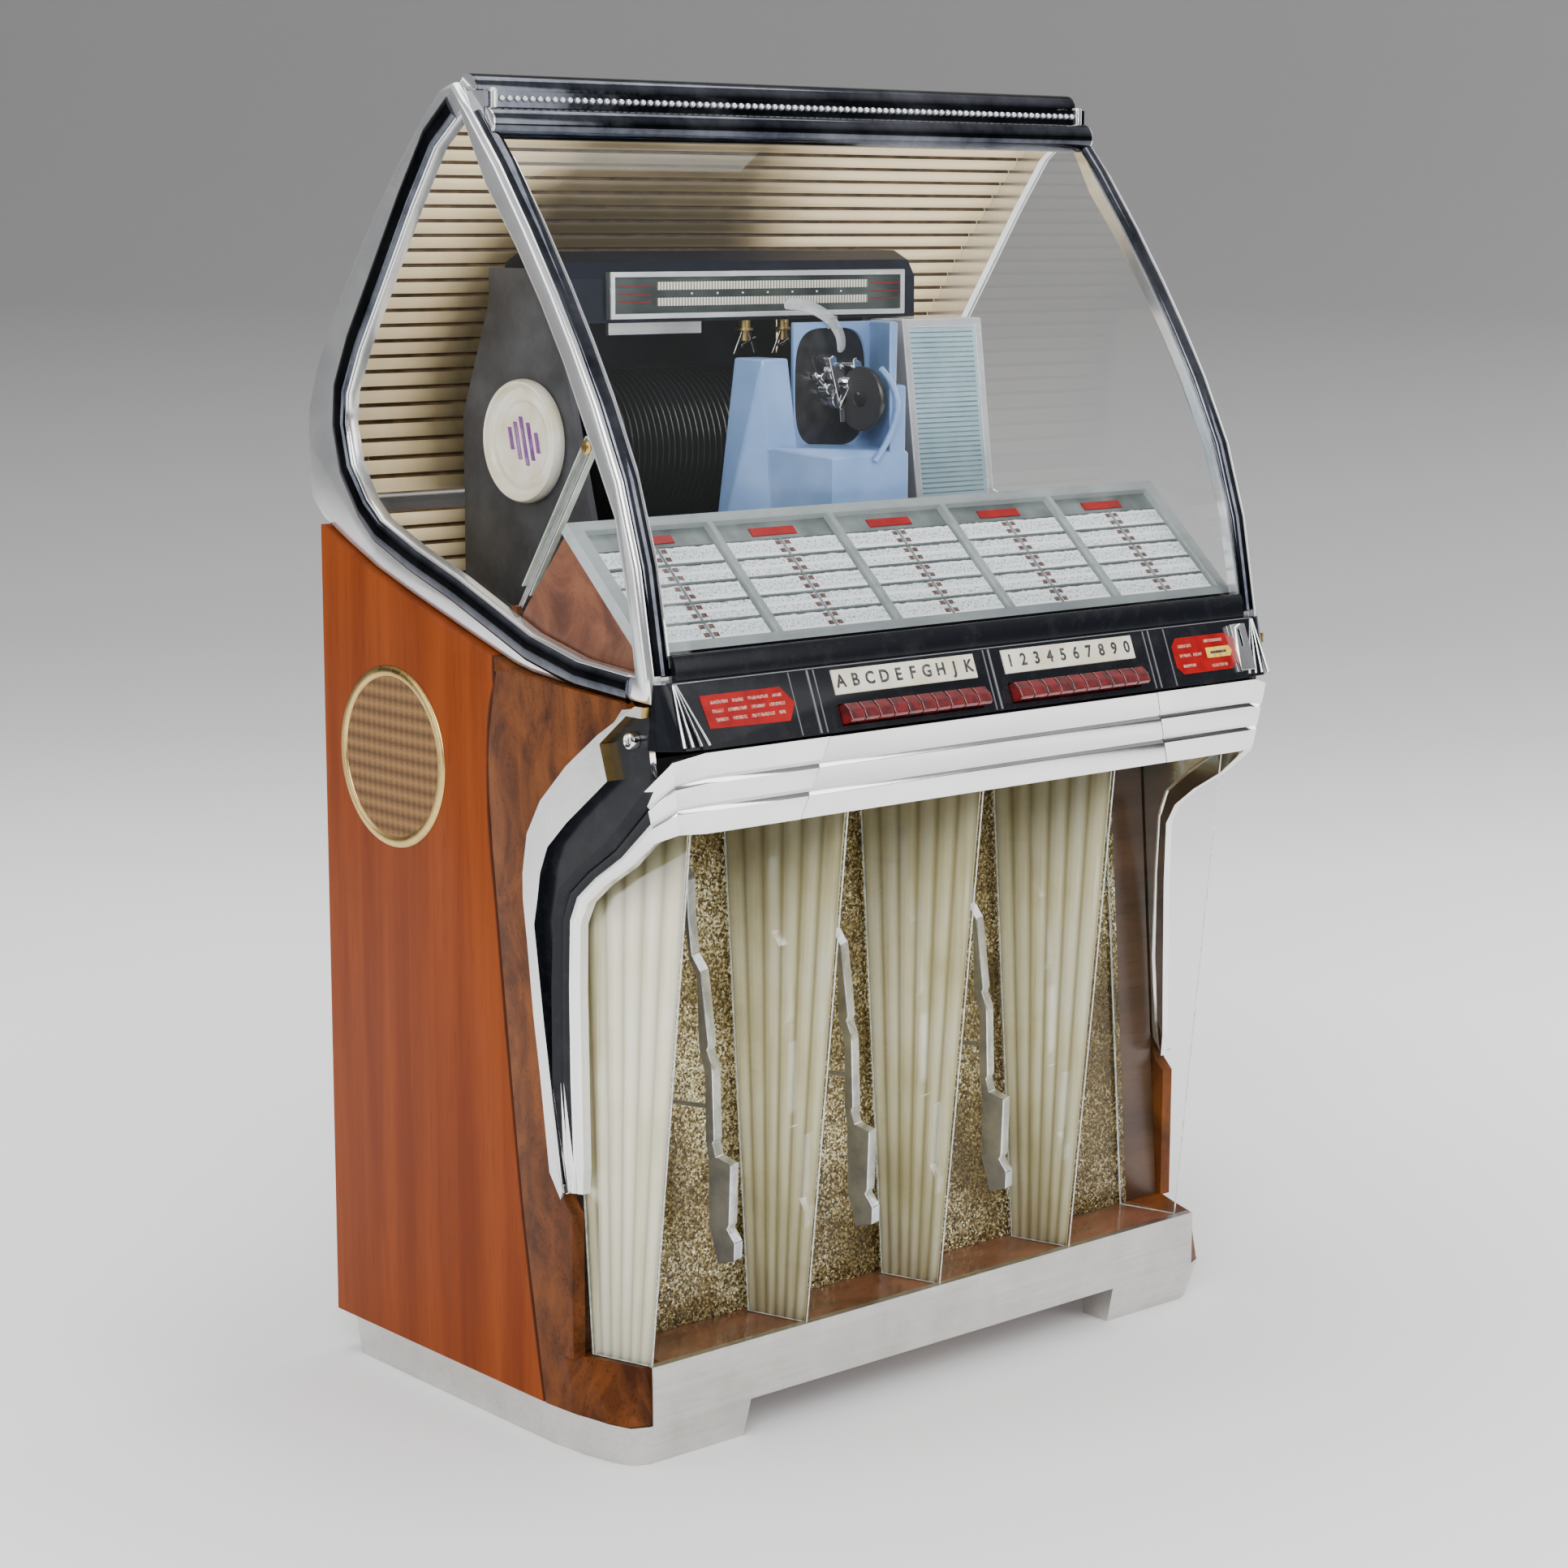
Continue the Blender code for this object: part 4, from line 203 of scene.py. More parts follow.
# Painted shade: the paper darkens towards the wall and up it; the emission below is a painted glow
shade = ramp(tree, half, (0.0, (0.93, 0.93, 0.93)), (0.35, (0.78, 0.78, 0.78)),
             (0.62, (0.40, 0.40, 0.40)), (1.0, (0.17, 0.17, 0.17)))
tree.links.new(shade, shader.inputs["Base Color"])
lit = ramp(tree, half, (0.0, (0.93, 0.93, 0.93)), (0.30, (0.62, 0.62, 0.62)), (0.52, (0.10, 0.10, 0.10)),
           (1.0, (0.02, 0.02, 0.02)))
tree.links.new(lit, shader.inputs["Emission Color"])
away = node(tree, "ShaderNodeVectorMath", {0: place}, operation="LENGTH").outputs["Value"]
tree.links.new(span(tree, away, GLOW_FROM, GLOW_TO, GLOW_LEAST, GLOW_MOST),
               shader.inputs["Emission Strength"])
floor = place_mesh("studio_floor", bm, paper, smooth=60)

# Each lamp: name, where it stands, how large its face is, its power
LAMPS = (("key_lamp", (-3.2, -2.6, 3.0), (2.4, 2.4), 150.0),
         ("front_lamp", (1.6, -4.2, 2.4), (2.2, 3.0), 85.0),
         ("top_lamp", (0.3, 0.3, 4.2), (3.6, 2.6), 110.0),
         ("side_lamp", (-3.6, 1.4, 1.6), (1.6, 2.6), 40.0),
         ("right_lamp", (3.8, 0.2, 1.8), (1.8, 3.0), 60.0))
for name, spot, size, power in LAMPS:
    lamp = bpy.data.objects.new(name, bpy.data.lights.new(name, "AREA"))
    lamp.data.shape = "RECTANGLE"
    lamp.data.size, lamp.data.size_y = size
    lamp.data.energy = power
    lamp.location = spot
    lamp.rotation_euler = (Vector((0.0, 0.0, 0.7)) - Vector(spot)).to_track_quat("-Z", "Y").to_euler()
    bpy.context.scene.collection.objects.link(lamp)
world = bpy.data.worlds.new("studio_air")
bpy.context.scene.world = world
world.use_nodes = True
tree = world.node_tree
sky = tree.nodes["Background"]
direction = node(tree, "ShaderNodeTexCoord").outputs["Generated"]
height = node(tree, "ShaderNodeSeparateXYZ", {"Vector": direction}).outputs["Z"]
air = ramp(tree, height, (0.0, (0.10, 0.10, 0.10)), (0.10, (0.05, 0.05, 0.055)),
           (0.28, (0.30, 0.30, 0.31)), (0.6, (0.75, 0.75, 0.76)), (1.0, (0.5, 0.5, 0.5)))
tree.links.new(air, sky.inputs["Color"])
sky.inputs["Strength"].default_value = 0.8

# Base: two hollow feet and the kick band between them, one run of brushed sheet aluminium
# with softened edges, dulled by years of cleaning.
def new_group(name, inputs):
    """A shader node group for a surface, with float or colour inputs, and its inner ends."""
    group = bpy.data.node_groups.new(name, "ShaderNodeTree")
    for label, value in inputs:
        kind = "NodeSocketFloat" if isinstance(value, float) else "NodeSocketColor"
        group.interface.new_socket(label, in_out="INPUT", socket_type=kind).default_value = value
    for label, kind in (("Color", "Color"), ("Roughness", "Float"), ("Normal", "Vector")):
        group.interface.new_socket(label, in_out="OUTPUT", socket_type="NodeSocket" + kind)
    return group, group.nodes.new("NodeGroupInput"), group.nodes.new("NodeGroupOutput")


def place_group(tree, group, values):
    """Puts a group into a material with its own values and returns the node."""
    made = tree.nodes.new("ShaderNodeGroup")
    made.node_tree = group
    for key, value in values.items():
        made.inputs[key].default_value = value
    return made


def mix_colours(tree, factor, first, second):
    """The colour between two, each a socket or a plain colour."""
    made = node(tree, "ShaderNodeMix", {"Factor": factor}, data_type="RGBA")
    for socket, value in zip([s for s in made.inputs if s.type == "RGBA"], (first, second)):
        if isinstance(value, bpy.types.NodeSocket):
            tree.links.new(value, socket)
        else:
            socket.default_value = (*value, 1.0)
    return [s for s in made.outputs if s.type == "RGBA"][0]


def noise(tree, place, scale, detail=2.0, roughness=0.5):
    """A noise texture's value."""
    return node(tree, "ShaderNodeTexNoise", {"Vector": place, "Scale": scale, "Detail": detail,
                                             "Roughness": roughness}).outputs["Fac"]


def relief(tree, target, height, distance, strength):
    """Leads a bump of a height to the target's normal."""
    bump = node(tree, "ShaderNodeBump", {"Height": height, "Distance": distance, "Strength": strength})
    tree.links.new(bump.outputs[0], target.inputs["Normal"])


# Brushed lines along X, cloudy dulling and a fine relief
brushed, ends, out = new_group(
    "brushed_metal", (("Light", (0.7, 0.7, 0.7, 1.0)), ("Dark", (0.5, 0.5, 0.5, 1.0)), ("Rough", 0.3),
                      ("Rough Spread", 0.15), ("Fine", 260.0), ("Relief", 0.05)))
spot = object_spot(brushed)
long = node(brushed, "ShaderNodeMapping", {"Vector": spot, "Scale": (0.03, 1.0, 1.0)}).outputs[0]
lines = noise(brushed, long, ends.outputs["Fine"], 3.0)
clouds = noise(brushed, spot, 9.0, 6.0, 0.65)
mixed = calc(brushed, "MULTIPLY_ADD", lines, 0.35, clouds)
spread = span(brushed, mixed, 0.45, 0.9)
brushed.links.new(mix_colours(brushed, spread, ends.outputs["Dark"], ends.outputs["Light"]),
                  out.inputs["Color"])
rough = calc(brushed, "MULTIPLY_ADD", spread, ends.outputs["Rough Spread"], ends.outputs["Rough"])
brushed.links.new(rough, out.inputs["Roughness"])
relief(brushed, out, lines, 0.0004, ends.outputs["Relief"])


def wire(tree, shader, source, names=("Color", "Roughness", "Normal")):
    """Leads a group's outputs to the shader's inputs of the same kind."""
    for name in names:
        tree.links.new(source.outputs[name], shader.inputs["Base Color" if name == "Color" else name])


aluminium, tree, shader = finish("brushed_aluminium", (0.6, 0.6, 0.6), 0.3, 1.0)
wire(tree, shader, place_group(tree, brushed, {
    "Light": (0.72, 0.71, 0.68, 1.0), "Dark": (0.50, 0.48, 0.45, 1.0), "Rough": 0.26, "Rough Spread": 0.14}))


def merged_copy(name):
    """A bmesh of a CAD node with its loose triangles merged into flat faces."""
    bm = bmesh.new()
    bm.from_mesh(frame["nodes"][name].data)
    bmesh.ops.remove_doubles(bm, verts=bm.verts, dist=0.00001)
    bmesh.ops.dissolve_limit(bm, angle_limit=math.radians(0.6), verts=bm.verts, edges=bm.edges)
    return bm


def round_edges(piece, width, segments=2, angle=30.0):
    """Puts a Bevel on the sharp edges of a piece."""
    edge = piece.modifiers.new("edges", "BEVEL")
    edge.width = width
    edge.segments = segments
    edge.limit_method = "ANGLE"
    edge.angle_limit = math.radians(angle)
    edge.harden_normals = True
    return piece


def eased_copy(name, material, width, sharp=30.0, segments=2):
    """A copy of a CAD node in its stead, with edges rounded by a width."""
    made = place_mesh(name + "_dressed", merged_copy(name), material, smooth=sharp)
    if width:
        round_edges(made, width, segments, sharp)
    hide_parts(name)
    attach(made, frame["nodes"][name]["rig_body"])
    return made


plinth = eased_copy("plinth", aluminium, 0.0012)

# Sides of the body: blockboard faced with straight-grained walnut at the back and figured
# burl in front of the shaped groove, under an old reddish lacquer.
SETBACK = 0.004753
GROOVE_FOOT, GROOVE_TOP, GROOVE_REACH = 0.0463, 0.8003, 0.112
# Height and reach of the groove, as shares
GROOVE_SHARES = ((0.00, 1.000), (0.25, 0.700), (0.46, 0.510), (0.67, 0.340), (0.85, 0.215), (0.93, 0.230),
                 (1.00, 0.330))
grain, ends, out = new_group("lacquered_grain",
                             (("Light", (0.42, 0.13, 0.05, 1.0)), ("Dark", (0.24, 0.06, 0.02, 1.0)),
                              ("Scale", 14.0), ("Along X", 1.0), ("Along Z", 0.06), ("Swirl", 0.4),
                              ("Relief", 0.08)))
spot = object_spot(grain)
stretch = node(grain, "ShaderNodeCombineXYZ",
               {"X": ends.outputs["Along X"], "Y": 1.0, "Z": ends.outputs["Along Z"]})
drawn = vector_calc(grain, "MULTIPLY", spot, stretch.outputs[0])
figure = node(grain, "ShaderNodeTexNoise",
              {"Vector": drawn, "Scale": ends.outputs["Scale"], "Detail": 9.0, "Roughness": 0.62,
               "Distortion": ends.outputs["Swirl"]}).outputs["Fac"]
pores = noise(grain, drawn, 420.0, 2.0)
clouds = noise(grain, spot, 2.6, 2.0)
wide = span(grain, figure, 0.32, 0.68)
soft = span(grain, clouds, 0.3, 0.7, -0.18, 0.18)
specks = span(grain, pores, 0.60, 0.72, 0.0, -0.45)
level_a = calc(grain, "ADD", wide, soft)
level_b = calc(grain, "ADD", level_a, specks, use_clamp=True)
grain.links.new(mix_colours(grain, level_b, ends.outputs["Dark"], ends.outputs["Light"]),
                out.inputs["Color"])
dull = span(grain, clouds, 0.3, 0.7, 0.26, 0.40)
grain.links.new(dull, out.inputs["Roughness"])
relief(grain, out, level_b, 0.0003, ends.outputs["Relief"])

veneer, tree, shader = finish("walnut_and_burl", (0.3, 0.1, 0.04), 0.34)
shader.inputs["Specular IOR Level"].default_value = 0.10
straight = place_group(tree, grain, {"Light": (0.255, 0.053, 0.008, 1.0),
                                     "Dark": (0.150, 0.026, 0.004, 1.0), "Scale": 26.0, "Along Z": 0.045,
                                     "Swirl": 0.25, "Relief": 0.05})
burl = place_group(tree, grain, {"Light": (0.20, 0.060, 0.013, 1.0), "Dark": (0.042, 0.012, 0.004, 1.0),
                                 "Scale": 13.0, "Along Z": 0.62, "Swirl": 1.6, "Relief": 0.05})
parts = node(tree, "ShaderNodeSeparateXYZ", {"Vector": object_spot(tree)})
upward = span(tree, parts.outputs["Z"], GROOVE_FOOT, GROOVE_TOP)
curve = node(tree, "ShaderNodeFloatCurve", {"Value": upward})
points = curve.mapping.curves[0].points
while len(points) < len(GROOVE_SHARES):
    points.new(0.5, 0.5)
for point, share in zip(points, GROOVE_SHARES):
    point.location = share
curve.mapping.update()
reach = calc(tree, "MULTIPLY_ADD", curve.outputs[0], -GROOVE_REACH, SETBACK)
ahead = calc(tree, "SUBTRACT", reach, parts.outputs["Y"])
front_side = calc(tree, "GREATER_THAN", ahead, 0.0)
# Painted shade: a dark line along the shaped groove, where the burl meets the walnut
groove_gap = calc(tree, "ABSOLUTE", ahead)
groove_shade = span(tree, groove_gap, 0.0012, 0.0032, 0.75, 0.0)
both = mix_colours(tree, front_side, straight.outputs["Color"], burl.outputs["Color"])
tree.links.new(mix_colours(tree, groove_shade, both, (0.015, 0.006, 0.004)), shader.inputs["Base Color"])
wire(tree, shader, straight, ("Roughness", "Normal"))
for name in ("side_left", "side_right"):
    eased_copy(name, veneer, 0.0010)

# Frame inside the body: stained boards, with a lacquered burl ledge under the fins and burl
# cheeks that carry the title rack.
inner_wood, tree, shader = finish("burl_ledge", (0.2, 0.06, 0.03), 0.3, coat_weight=0.5,
                                  coat_roughness=0.08)
wire(tree, shader, place_group(tree, grain, {
    "Light": (0.27, 0.098, 0.045, 1.0), "Dark": (0.085, 0.026, 0.012, 1.0), "Scale": 15.0, "Along Z": 0.8,
    "Along X": 0.5, "Swirl": 1.3}))
dark_wood, tree, shader = finish("stained_board", (0.05, 0.03, 0.02), 0.6)
wire(tree, shader, place_group(tree, grain, {
    "Light": (0.11, 0.055, 0.030, 1.0), "Dark": (0.035, 0.018, 0.010, 1.0), "Scale": 22.0, "Along X": 0.1,
    "Along Z": 1.0, "Swirl": 0.2}))


def repaint(piece, material, test):
    """Gives the faces of a piece that pass a test of their middle and facing another material."""
    mesh = piece.data
    mesh.materials.append(material)
    for face in mesh.polygons:
        if test(face.center, face.normal):
            face.material_index = len(mesh.materials) - 1


DECK_TOP = 0.8
carcass = eased_copy("carcass", dark_wood, 0.0008)
repaint(carcass, inner_wood, lambda spot, facing: spot.z < 0.112 and spot.y < 0.0)
repaint(carcass, inner_wood, lambda spot, facing: spot.z > DECK_TOP + 0.002 and spot.y < -0.03)

# Grille board: hardboard covered with gold glass flakes under clear lacquer.
glitter, tree, shader = finish("gold_flakes", (0.5, 0.4, 0.2), 0.3, 0.75, coat_weight=0.4,
                               coat_roughness=0.2)
spot = object_spot(tree)
flakes = node(tree, "ShaderNodeTexVoronoi", {"Vector": spot, "Scale": 900.0}).outputs["Color"]
large = node(tree, "ShaderNodeTexVoronoi", {"Vector": spot, "Scale": 420.0}).outputs["Color"]
clouds = noise(tree, spot, 7.0, 3.0)
pick = node(tree, "ShaderNodeSeparateColor", {"Color": flakes})
pick_large = node(tree, "ShaderNodeSeparateColor", {"Color": large})
shine = calc(tree, "MULTIPLY_ADD", pick.outputs[0], 0.65, pick_large.outputs[1])
shine = calc(tree, "MULTIPLY", shine, clouds)
colour = ramp(tree, shine, (0.12, (0.050, 0.034, 0.010)), (0.37, (0.175, 0.122, 0.037)),
              (0.53, (0.39, 0.29, 0.10)), (0.66, (1.0, 0.93, 0.62)))
tree.links.new(colour, shader.inputs["Base Color"])
tilt = vector_calc(tree, "SUBTRACT", flakes, (0.5, 0.5, 0.5))
tilt = node(tree, "ShaderNodeVectorMath", {0: tilt, "Scale": 1.1}, operation="SCALE").outputs[0]
facing = node(tree, "ShaderNodeNewGeometry").outputs["Normal"]
facing = vector_calc(tree, "ADD", facing, tilt)
facing = vector_calc(tree, "NORMALIZE", facing)
tree.links.new(facing, shader.inputs["Normal"])
frame["nodes"]["grille_board"].data.materials[0] = glitter

# Fins: upright sheets of ribbed cream plastic with a silvered glass pane over the left face
# of each, and a bare glass pane at the right end.
FIN_TURN = math.radians(17.6)
FIN_SPAN = 0.4265
# Where each fin meets the board
FIN_PLACE_SHARES = (-1.000, -0.504, -0.0436, 0.437, 0.868)
FIN_FOOT, FIN_MIDDLE, FIN_HEAD, FIN_MIDDLE_Z = 0.0710, 0.1150, 0.1560, 0.410
FIN_SET, FIN_THICK, FLUTE_DEEP = 0.0031, 0.0062, 0.0032
PANE_GAP, PANE_THICK, PANE_BARE, PANE_BACK = 0.0006, 0.0030, 0.007, 0.004
fin_along = Vector((math.sin(FIN_TURN), -math.cos(FIN_TURN), 0.0))
fin_across = Vector((math.cos(FIN_TURN), math.sin(FIN_TURN), 0.0))
board_low, board_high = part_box("grille_board")
BOARD_FOOT_Y, BOARD_TOP_Y = -0.157 + SETBACK, -0.112 + SETBACK


def board_y(z):
    """The front of the sloping grille board at a height."""
    share = (z - board_low.z) / (board_high.z - board_low.z)
    return BOARD_FOOT_Y + (BOARD_TOP_Y - BOARD_FOOT_Y) * share


def beside_fin(index, along, across, z):
    """A place by a fin: along it from the board, across it to the right, at a height."""
    start = Vector((FIN_PLACE_SHARES[index] * FIN_SPAN, board_y(z) - FIN_SET, z))
    return start + fin_along * along + fin_across * across


def prism(outline, step):
    """A bmesh of a flat outline of places, drawn out by a step."""
    bm = bmesh.new()
    face = bm.faces.new([bm.verts.new(place) for place in outline])
    drawn = bmesh.ops.extrude_face_region(bm, geom=[face])
    bmesh.ops.translate(bm, vec=step, verts=verts_of(drawn))
    bmesh.ops.recalc_face_normals(bm, faces=bm.faces)
    return bm


def mottle(tree, shader, texture, *stops):
    """A base colour that wanders through stops with a noise of a scale, detail and roughness."""
    value = noise(tree, object_spot(tree), *texture)
    tree.links.new(ramp(tree, value, *stops), shader.inputs["Base Color"])
    return value


ribbed, tree, shader = finish("ribbed_cream_plastic", (0.8, 0.76, 0.5), 0.3, subsurface_weight=0.15,
                              coat_weight=0.3, coat_roughness=0.1)
shader.inputs["Subsurface Radius"].default_value = (0.004, 0.003, 0.0015)
spot = object_spot(tree)
drawn = node(tree, "ShaderNodeMapping", {"Vector": spot, "Scale": (1.0, 1.0, 0.05)}).outputs[0]
streaks = noise(tree, drawn, 60.0, 4.0)
grime = noise(tree, spot, 11.0, 5.0)
both = calc(tree, "MULTIPLY", streaks, grime)
colour = ramp(tree, both, (0.10, (0.64, 0.58, 0.32)), (0.24, (0.88, 0.83, 0.54)),
              (0.40, (0.95, 0.92, 0.72)))
# Painted shade darkens the grooves of the flutes, by the flute attribute
depth = node(tree, "ShaderNodeAttribute", attribute_name="flute").outputs["Fac"]
depth = ramp(tree, depth, (0.05, (0.0, 0.0, 0.0)), (0.45, (0.20, 0.20, 0.20)), (0.95, (0.85, 0.85, 0.85)))
tree.links.new(mix_colours(tree, depth, colour, (0.34, 0.295, 0.125)), shader.inputs["Base Color"])
hatch = noise(tree, spot, 700.0)
relief(tree, shader, hatch, 0.0002, 0.15)
silvered, tree, shader = finish("half_silvered_glass", (0.93, 0.95, 0.94), 0.015, 1.0)
edge_on = node(tree, "ShaderNodeLayerWeight", {"Blend": 0.15}).outputs["Fresnel"]
film = span(tree, edge_on, 0.0, 1.0, 0.09, 0.50)
tree.links.new(film, shader.inputs["Alpha"])
glass_edge, tree, shader = finish("ground_glass_edge", (0.62, 0.70, 0.66), 0.25, 0.0, coat_weight=0.5)
mottle(tree, shader, (150.0, 4.0), (0.35, (0.40, 0.47, 0.43)), (0.65, (0.80, 0.85, 0.82)))
for index in range(4):
    fin = eased_copy(f"ribbed_fin_{index + 1}", ribbed, 0.0, sharp=48.0)
    # How far each place stands out of the grooves; it drives the painted shade that darkens the grooves
    flute = fin.data.attributes.new("flute", "FLOAT", "POINT")
    for vertex, depth in zip(fin.data.vertices, flute.data):
        across = (vertex.co - beside_fin(index, 0.0, 0.0, vertex.co.z)).dot(fin_across)
        depth.value = min(max((across + FIN_THICK / 2) / FLUTE_DEEP, 0.0), 1.0)
    outline = []
    lift = 0.0006
    for z, length in ((board_low.z + lift, FIN_FOOT), (FIN_MIDDLE_Z, FIN_MIDDLE),
                      (board_high.z - lift, FIN_HEAD)):
        outline.append(beside_fin(index, length + PANE_BARE, -FIN_THICK / 2 - PANE_GAP, z))
    outline += [beside_fin(index, PANE_BACK, -FIN_THICK / 2 - PANE_GAP, z)
                for z in (board_high.z - lift, board_low.z + lift)]
    pane = place_mesh(f"fin_pane_{index + 1}", prism(outline, -fin_across * PANE_THICK), silvered)
    repaint(pane, glass_edge, lambda spot, facing: abs(facing.dot(fin_across)) < 0.5)
    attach(pane, "cabinet")
clear, tree, shader = finish("clear_glass", (0.95, 0.98, 0.97), 0.01, 1.0)
edge_on = node(tree, "ShaderNodeLayerWeight", {"Blend": 0.06}).outputs["Fresnel"]
smears = noise(tree, object_spot(tree), 5.0, 4.0)
film = span(tree, edge_on, 0.0, 1.0, 0.012, 0.70)
film = calc(tree, "MULTIPLY_ADD", smears, 0.012, film)
tree.links.new(film, shader.inputs["Alpha"])
end_pane = eased_copy("end_glass", clear, 0.0)
repaint(end_pane, glass_edge, lambda spot, facing: abs(facing.dot(fin_across)) < 0.5)

# Cascades: three falling stairs of die-cast bars and boxes between the fins, plated and
# polished, each on two pins.
chrome, tree, shader = finish("polished_chrome", (0.86, 0.87, 0.89), 0.07, 1.0)
spot = object_spot(tree)
haze = noise(tree, spot, 14.0, 6.0, 0.7)
pits = noise(tree, spot, 480.0, 2.0)
worn = span(tree, haze, 0.4, 0.75, 0.035, 0.16)
tree.links.new(worn, shader.inputs["Roughness"])
tree.links.new(ramp(tree, pits, (0.30, (0.62, 0.63, 0.65)), (0.36, (0.86, 0.87, 0.89))),
               shader.inputs["Base Color"])
stair_plating, tree, shader = finish("stair_plating", (0.52, 0.55, 0.60), 0.14, 0.90)
mottle(tree, shader, (30.0, 6.0, 0.7), (0.35, (0.50, 0.53, 0.60)), (0.68, (0.90, 0.92, 0.96)))
for index in (1, 2, 3):
    eased_copy(f"cascade_{index}", stair_plating, 0.0026, sharp=20.0, segments=4)

# Corner castings: one plated casting a side, with a satin flange on the wood, an enamelled
# channel, a brass-lined lock recess and the fluted ribbon that runs round from the front band.
CASTING_FACE, CHANNEL_FLOOR = 0.4575, 0.4465
FLANGE_LOW, CHANNEL_LOW, RECESS_LOW, RECESS_FRONT = 0.30, 0.36, 0.742, -0.285


def brush(tree, shader, light, dark, rough, spread, fine):
    """Colour and roughness of brushed metal, without its relief."""
    source = place_group(tree, brushed, {"Light": (*light, 1.0), "Dark": (*dark, 1.0), "Rough": rough,
                                         "Rough Spread": spread, "Fine": fine})
    wire(tree, shader, source, ("Color", "Roughness"))


satin, tree, shader = finish("satin_plating", (0.70, 0.71, 0.71), 0.3, 1.0)
brush(tree, shader, (0.88, 0.88, 0.87), (0.66, 0.66, 0.66), 0.20, 0.12, 180.0)
ribbon_chrome, tree, shader = finish("ribbon_chrome", (0.86, 0.86, 0.86), 0.14, 1.0)
brush(tree, shader, (0.92, 0.92, 0.91), (0.80, 0.80, 0.80), 0.09, 0.10, 120.0)
gloss_black, tree, shader = finish("black_enamel", (0.008, 0.009, 0.012), 0.22)
shader.inputs["Specular IOR Level"].default_value = 0.22
mottle(tree, shader, (35.0, 8.0, 0.7), (0.5, (0.005, 0.006, 0.009)), (0.8, (0.020, 0.021, 0.025)))
brass, tree, shader = finish("worn_brass", (0.62, 0.43, 0.16), 0.25, 1.0)
brush(tree, shader, (0.78, 0.56, 0.22), (0.45, 0.30, 0.10), 0.22, 0.2, 200.0)


def in_channel(spot):
    """Whether a place is below the casting's face, in its channel."""
    return CHANNEL_FLOOR - 0.0004 < abs(spot.x) < CASTING_FACE - 0.0007


for name in ("corner_casting_left", "corner_casting_right"):
    casting = eased_copy(name, ribbon_chrome, 0.0007, sharp=28.0)
    repaint(casting, satin, lambda spot, facing: abs(facing.x) > 0.99
            and abs(abs(spot.x) - CASTING_FACE) < 0.0004 and spot.z > FLANGE_LOW)
    repaint(casting, gloss_black, lambda spot, facing: in_channel(spot) and spot.z > CHANNEL_LOW)
    repaint(casting, brass, lambda spot, facing: in_channel(spot) and spot.z > RECESS_LOW
            and spot.y > RECESS_FRONT)

# Front band: a bright fluted strip that joins the two castings under the keys.
eased_copy("front_band", ribbon_chrome, 0.0005)

# Control panel: a black lacquered board under the glass, with chrome pin-lines, red labels,
# a cream strip of letters or numbers over each bank of keys, and a plated coin bezel.
PANEL_FOOT = Vector((0.0, -0.319 + SETBACK, 0.7627))
PANEL_HEAD = Vector((0.0, -0.293 + SETBACK, 0.828))
BANK_CENTRE, BANK_WIDE, KEY_PITCH = 0.121, 0.200, 0.020
LEGEND_LOW, LEGEND_HIGH, LEGEND_PROUD = 0.0383, 0.026, 0.0018
COIN_X, COIN_HALF = 0.393, 0.012
panel_up = (PANEL_HEAD - PANEL_FOOT).normalized()
panel_out = Vector((1.0, 0.0, 0.0)).cross(panel_up)
panel_high = (PANEL_HEAD - PANEL_FOOT).length


def on_plane(up, out, origin):
    """A plane whose X axis is the object's, with its Y axis up and its Z axis out of it."""
    made = Matrix((Vector((1.0, 0.0, 0.0)), up, out)).transposed().to_4x4()
    made.translation = origin
    return made


panel_place = on_plane(panel_up, panel_out, PANEL_FOOT)
cream, tree, shader = finish("cream_plastic", (0.84, 0.79, 0.62), 0.28, coat_weight=0.4,
                             coat_roughness=0.08)
mottle(tree, shader, (24.0, 5.0), (0.35, (0.72, 0.65, 0.46)), (0.6, (0.87, 0.84, 0.72)))
red_enamel, tree, shader = finish("red_label", (0.4, 0.006, 0.006), 0.3, coat_weight=0.08,
                                  coat_roughness=0.1)
shader.inputs["Specular IOR Level"].default_value = 0.2
mottle(tree, shader, (60.0, 3.0), (0.3, (0.23, 0.001, 0.002)), (0.7, (0.38, 0.003, 0.004)))
ink, tree, shader = finish("black_ink", (0.02, 0.02, 0.02), 0.5)
mottle(tree, shader, (300.0, 2.0), (0.45, (0.015, 0.015, 0.018)), (0.7, (0.12, 0.11, 0.10)))
pale_ink, tree, shader = finish("pale_ink", (0.75, 0.62, 0.55), 0.5)
mottle(tree, shader, (500.0, 2.0), (0.40, (0.52, 0.33, 0.26)), (0.56, (0.38, 0.04, 0.03)))
panel = eased_copy("control_panel", gloss_black, 0.0005)


def above_panel(spot):
    """How far a place stands out of the panel's face."""
    return (spot - PANEL_FOOT).dot(panel_out)


repaint(panel, cream, lambda spot, facing: abs(abs(spot.x) - BANK_CENTRE) < BANK_WIDE / 2 + 0.001
        and above_panel(spot) > 0.0003 and (spot - PANEL_FOOT).dot(panel_up) > LEGEND_LOW - 0.002)
repaint(panel, chrome, lambda spot, facing: abs(spot.x - COIN_X) < COIN_HALF + 0.0005
        and above_panel(spot) > 0.0003)


def flat_piece(name, outline, thick, matrix, material, body, bevel=0.0):
    """A thin piece cut to an outline, laid on the plane of a matrix, and ridden by a body."""
    bm = prism([(x, y, 0.0) for x, y in outline], (0.0, 0.0, thick))
    bm.transform(matrix)
    piece = place_mesh(name, bm, material)
    if bevel:
        round_edges(piece, bevel)
    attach(piece, body)
    return piece


def strip(left, right, low, high):
    """The corners of an upright rectangle."""
    return [(left, low), (right, low), (right, high), (left, high)]


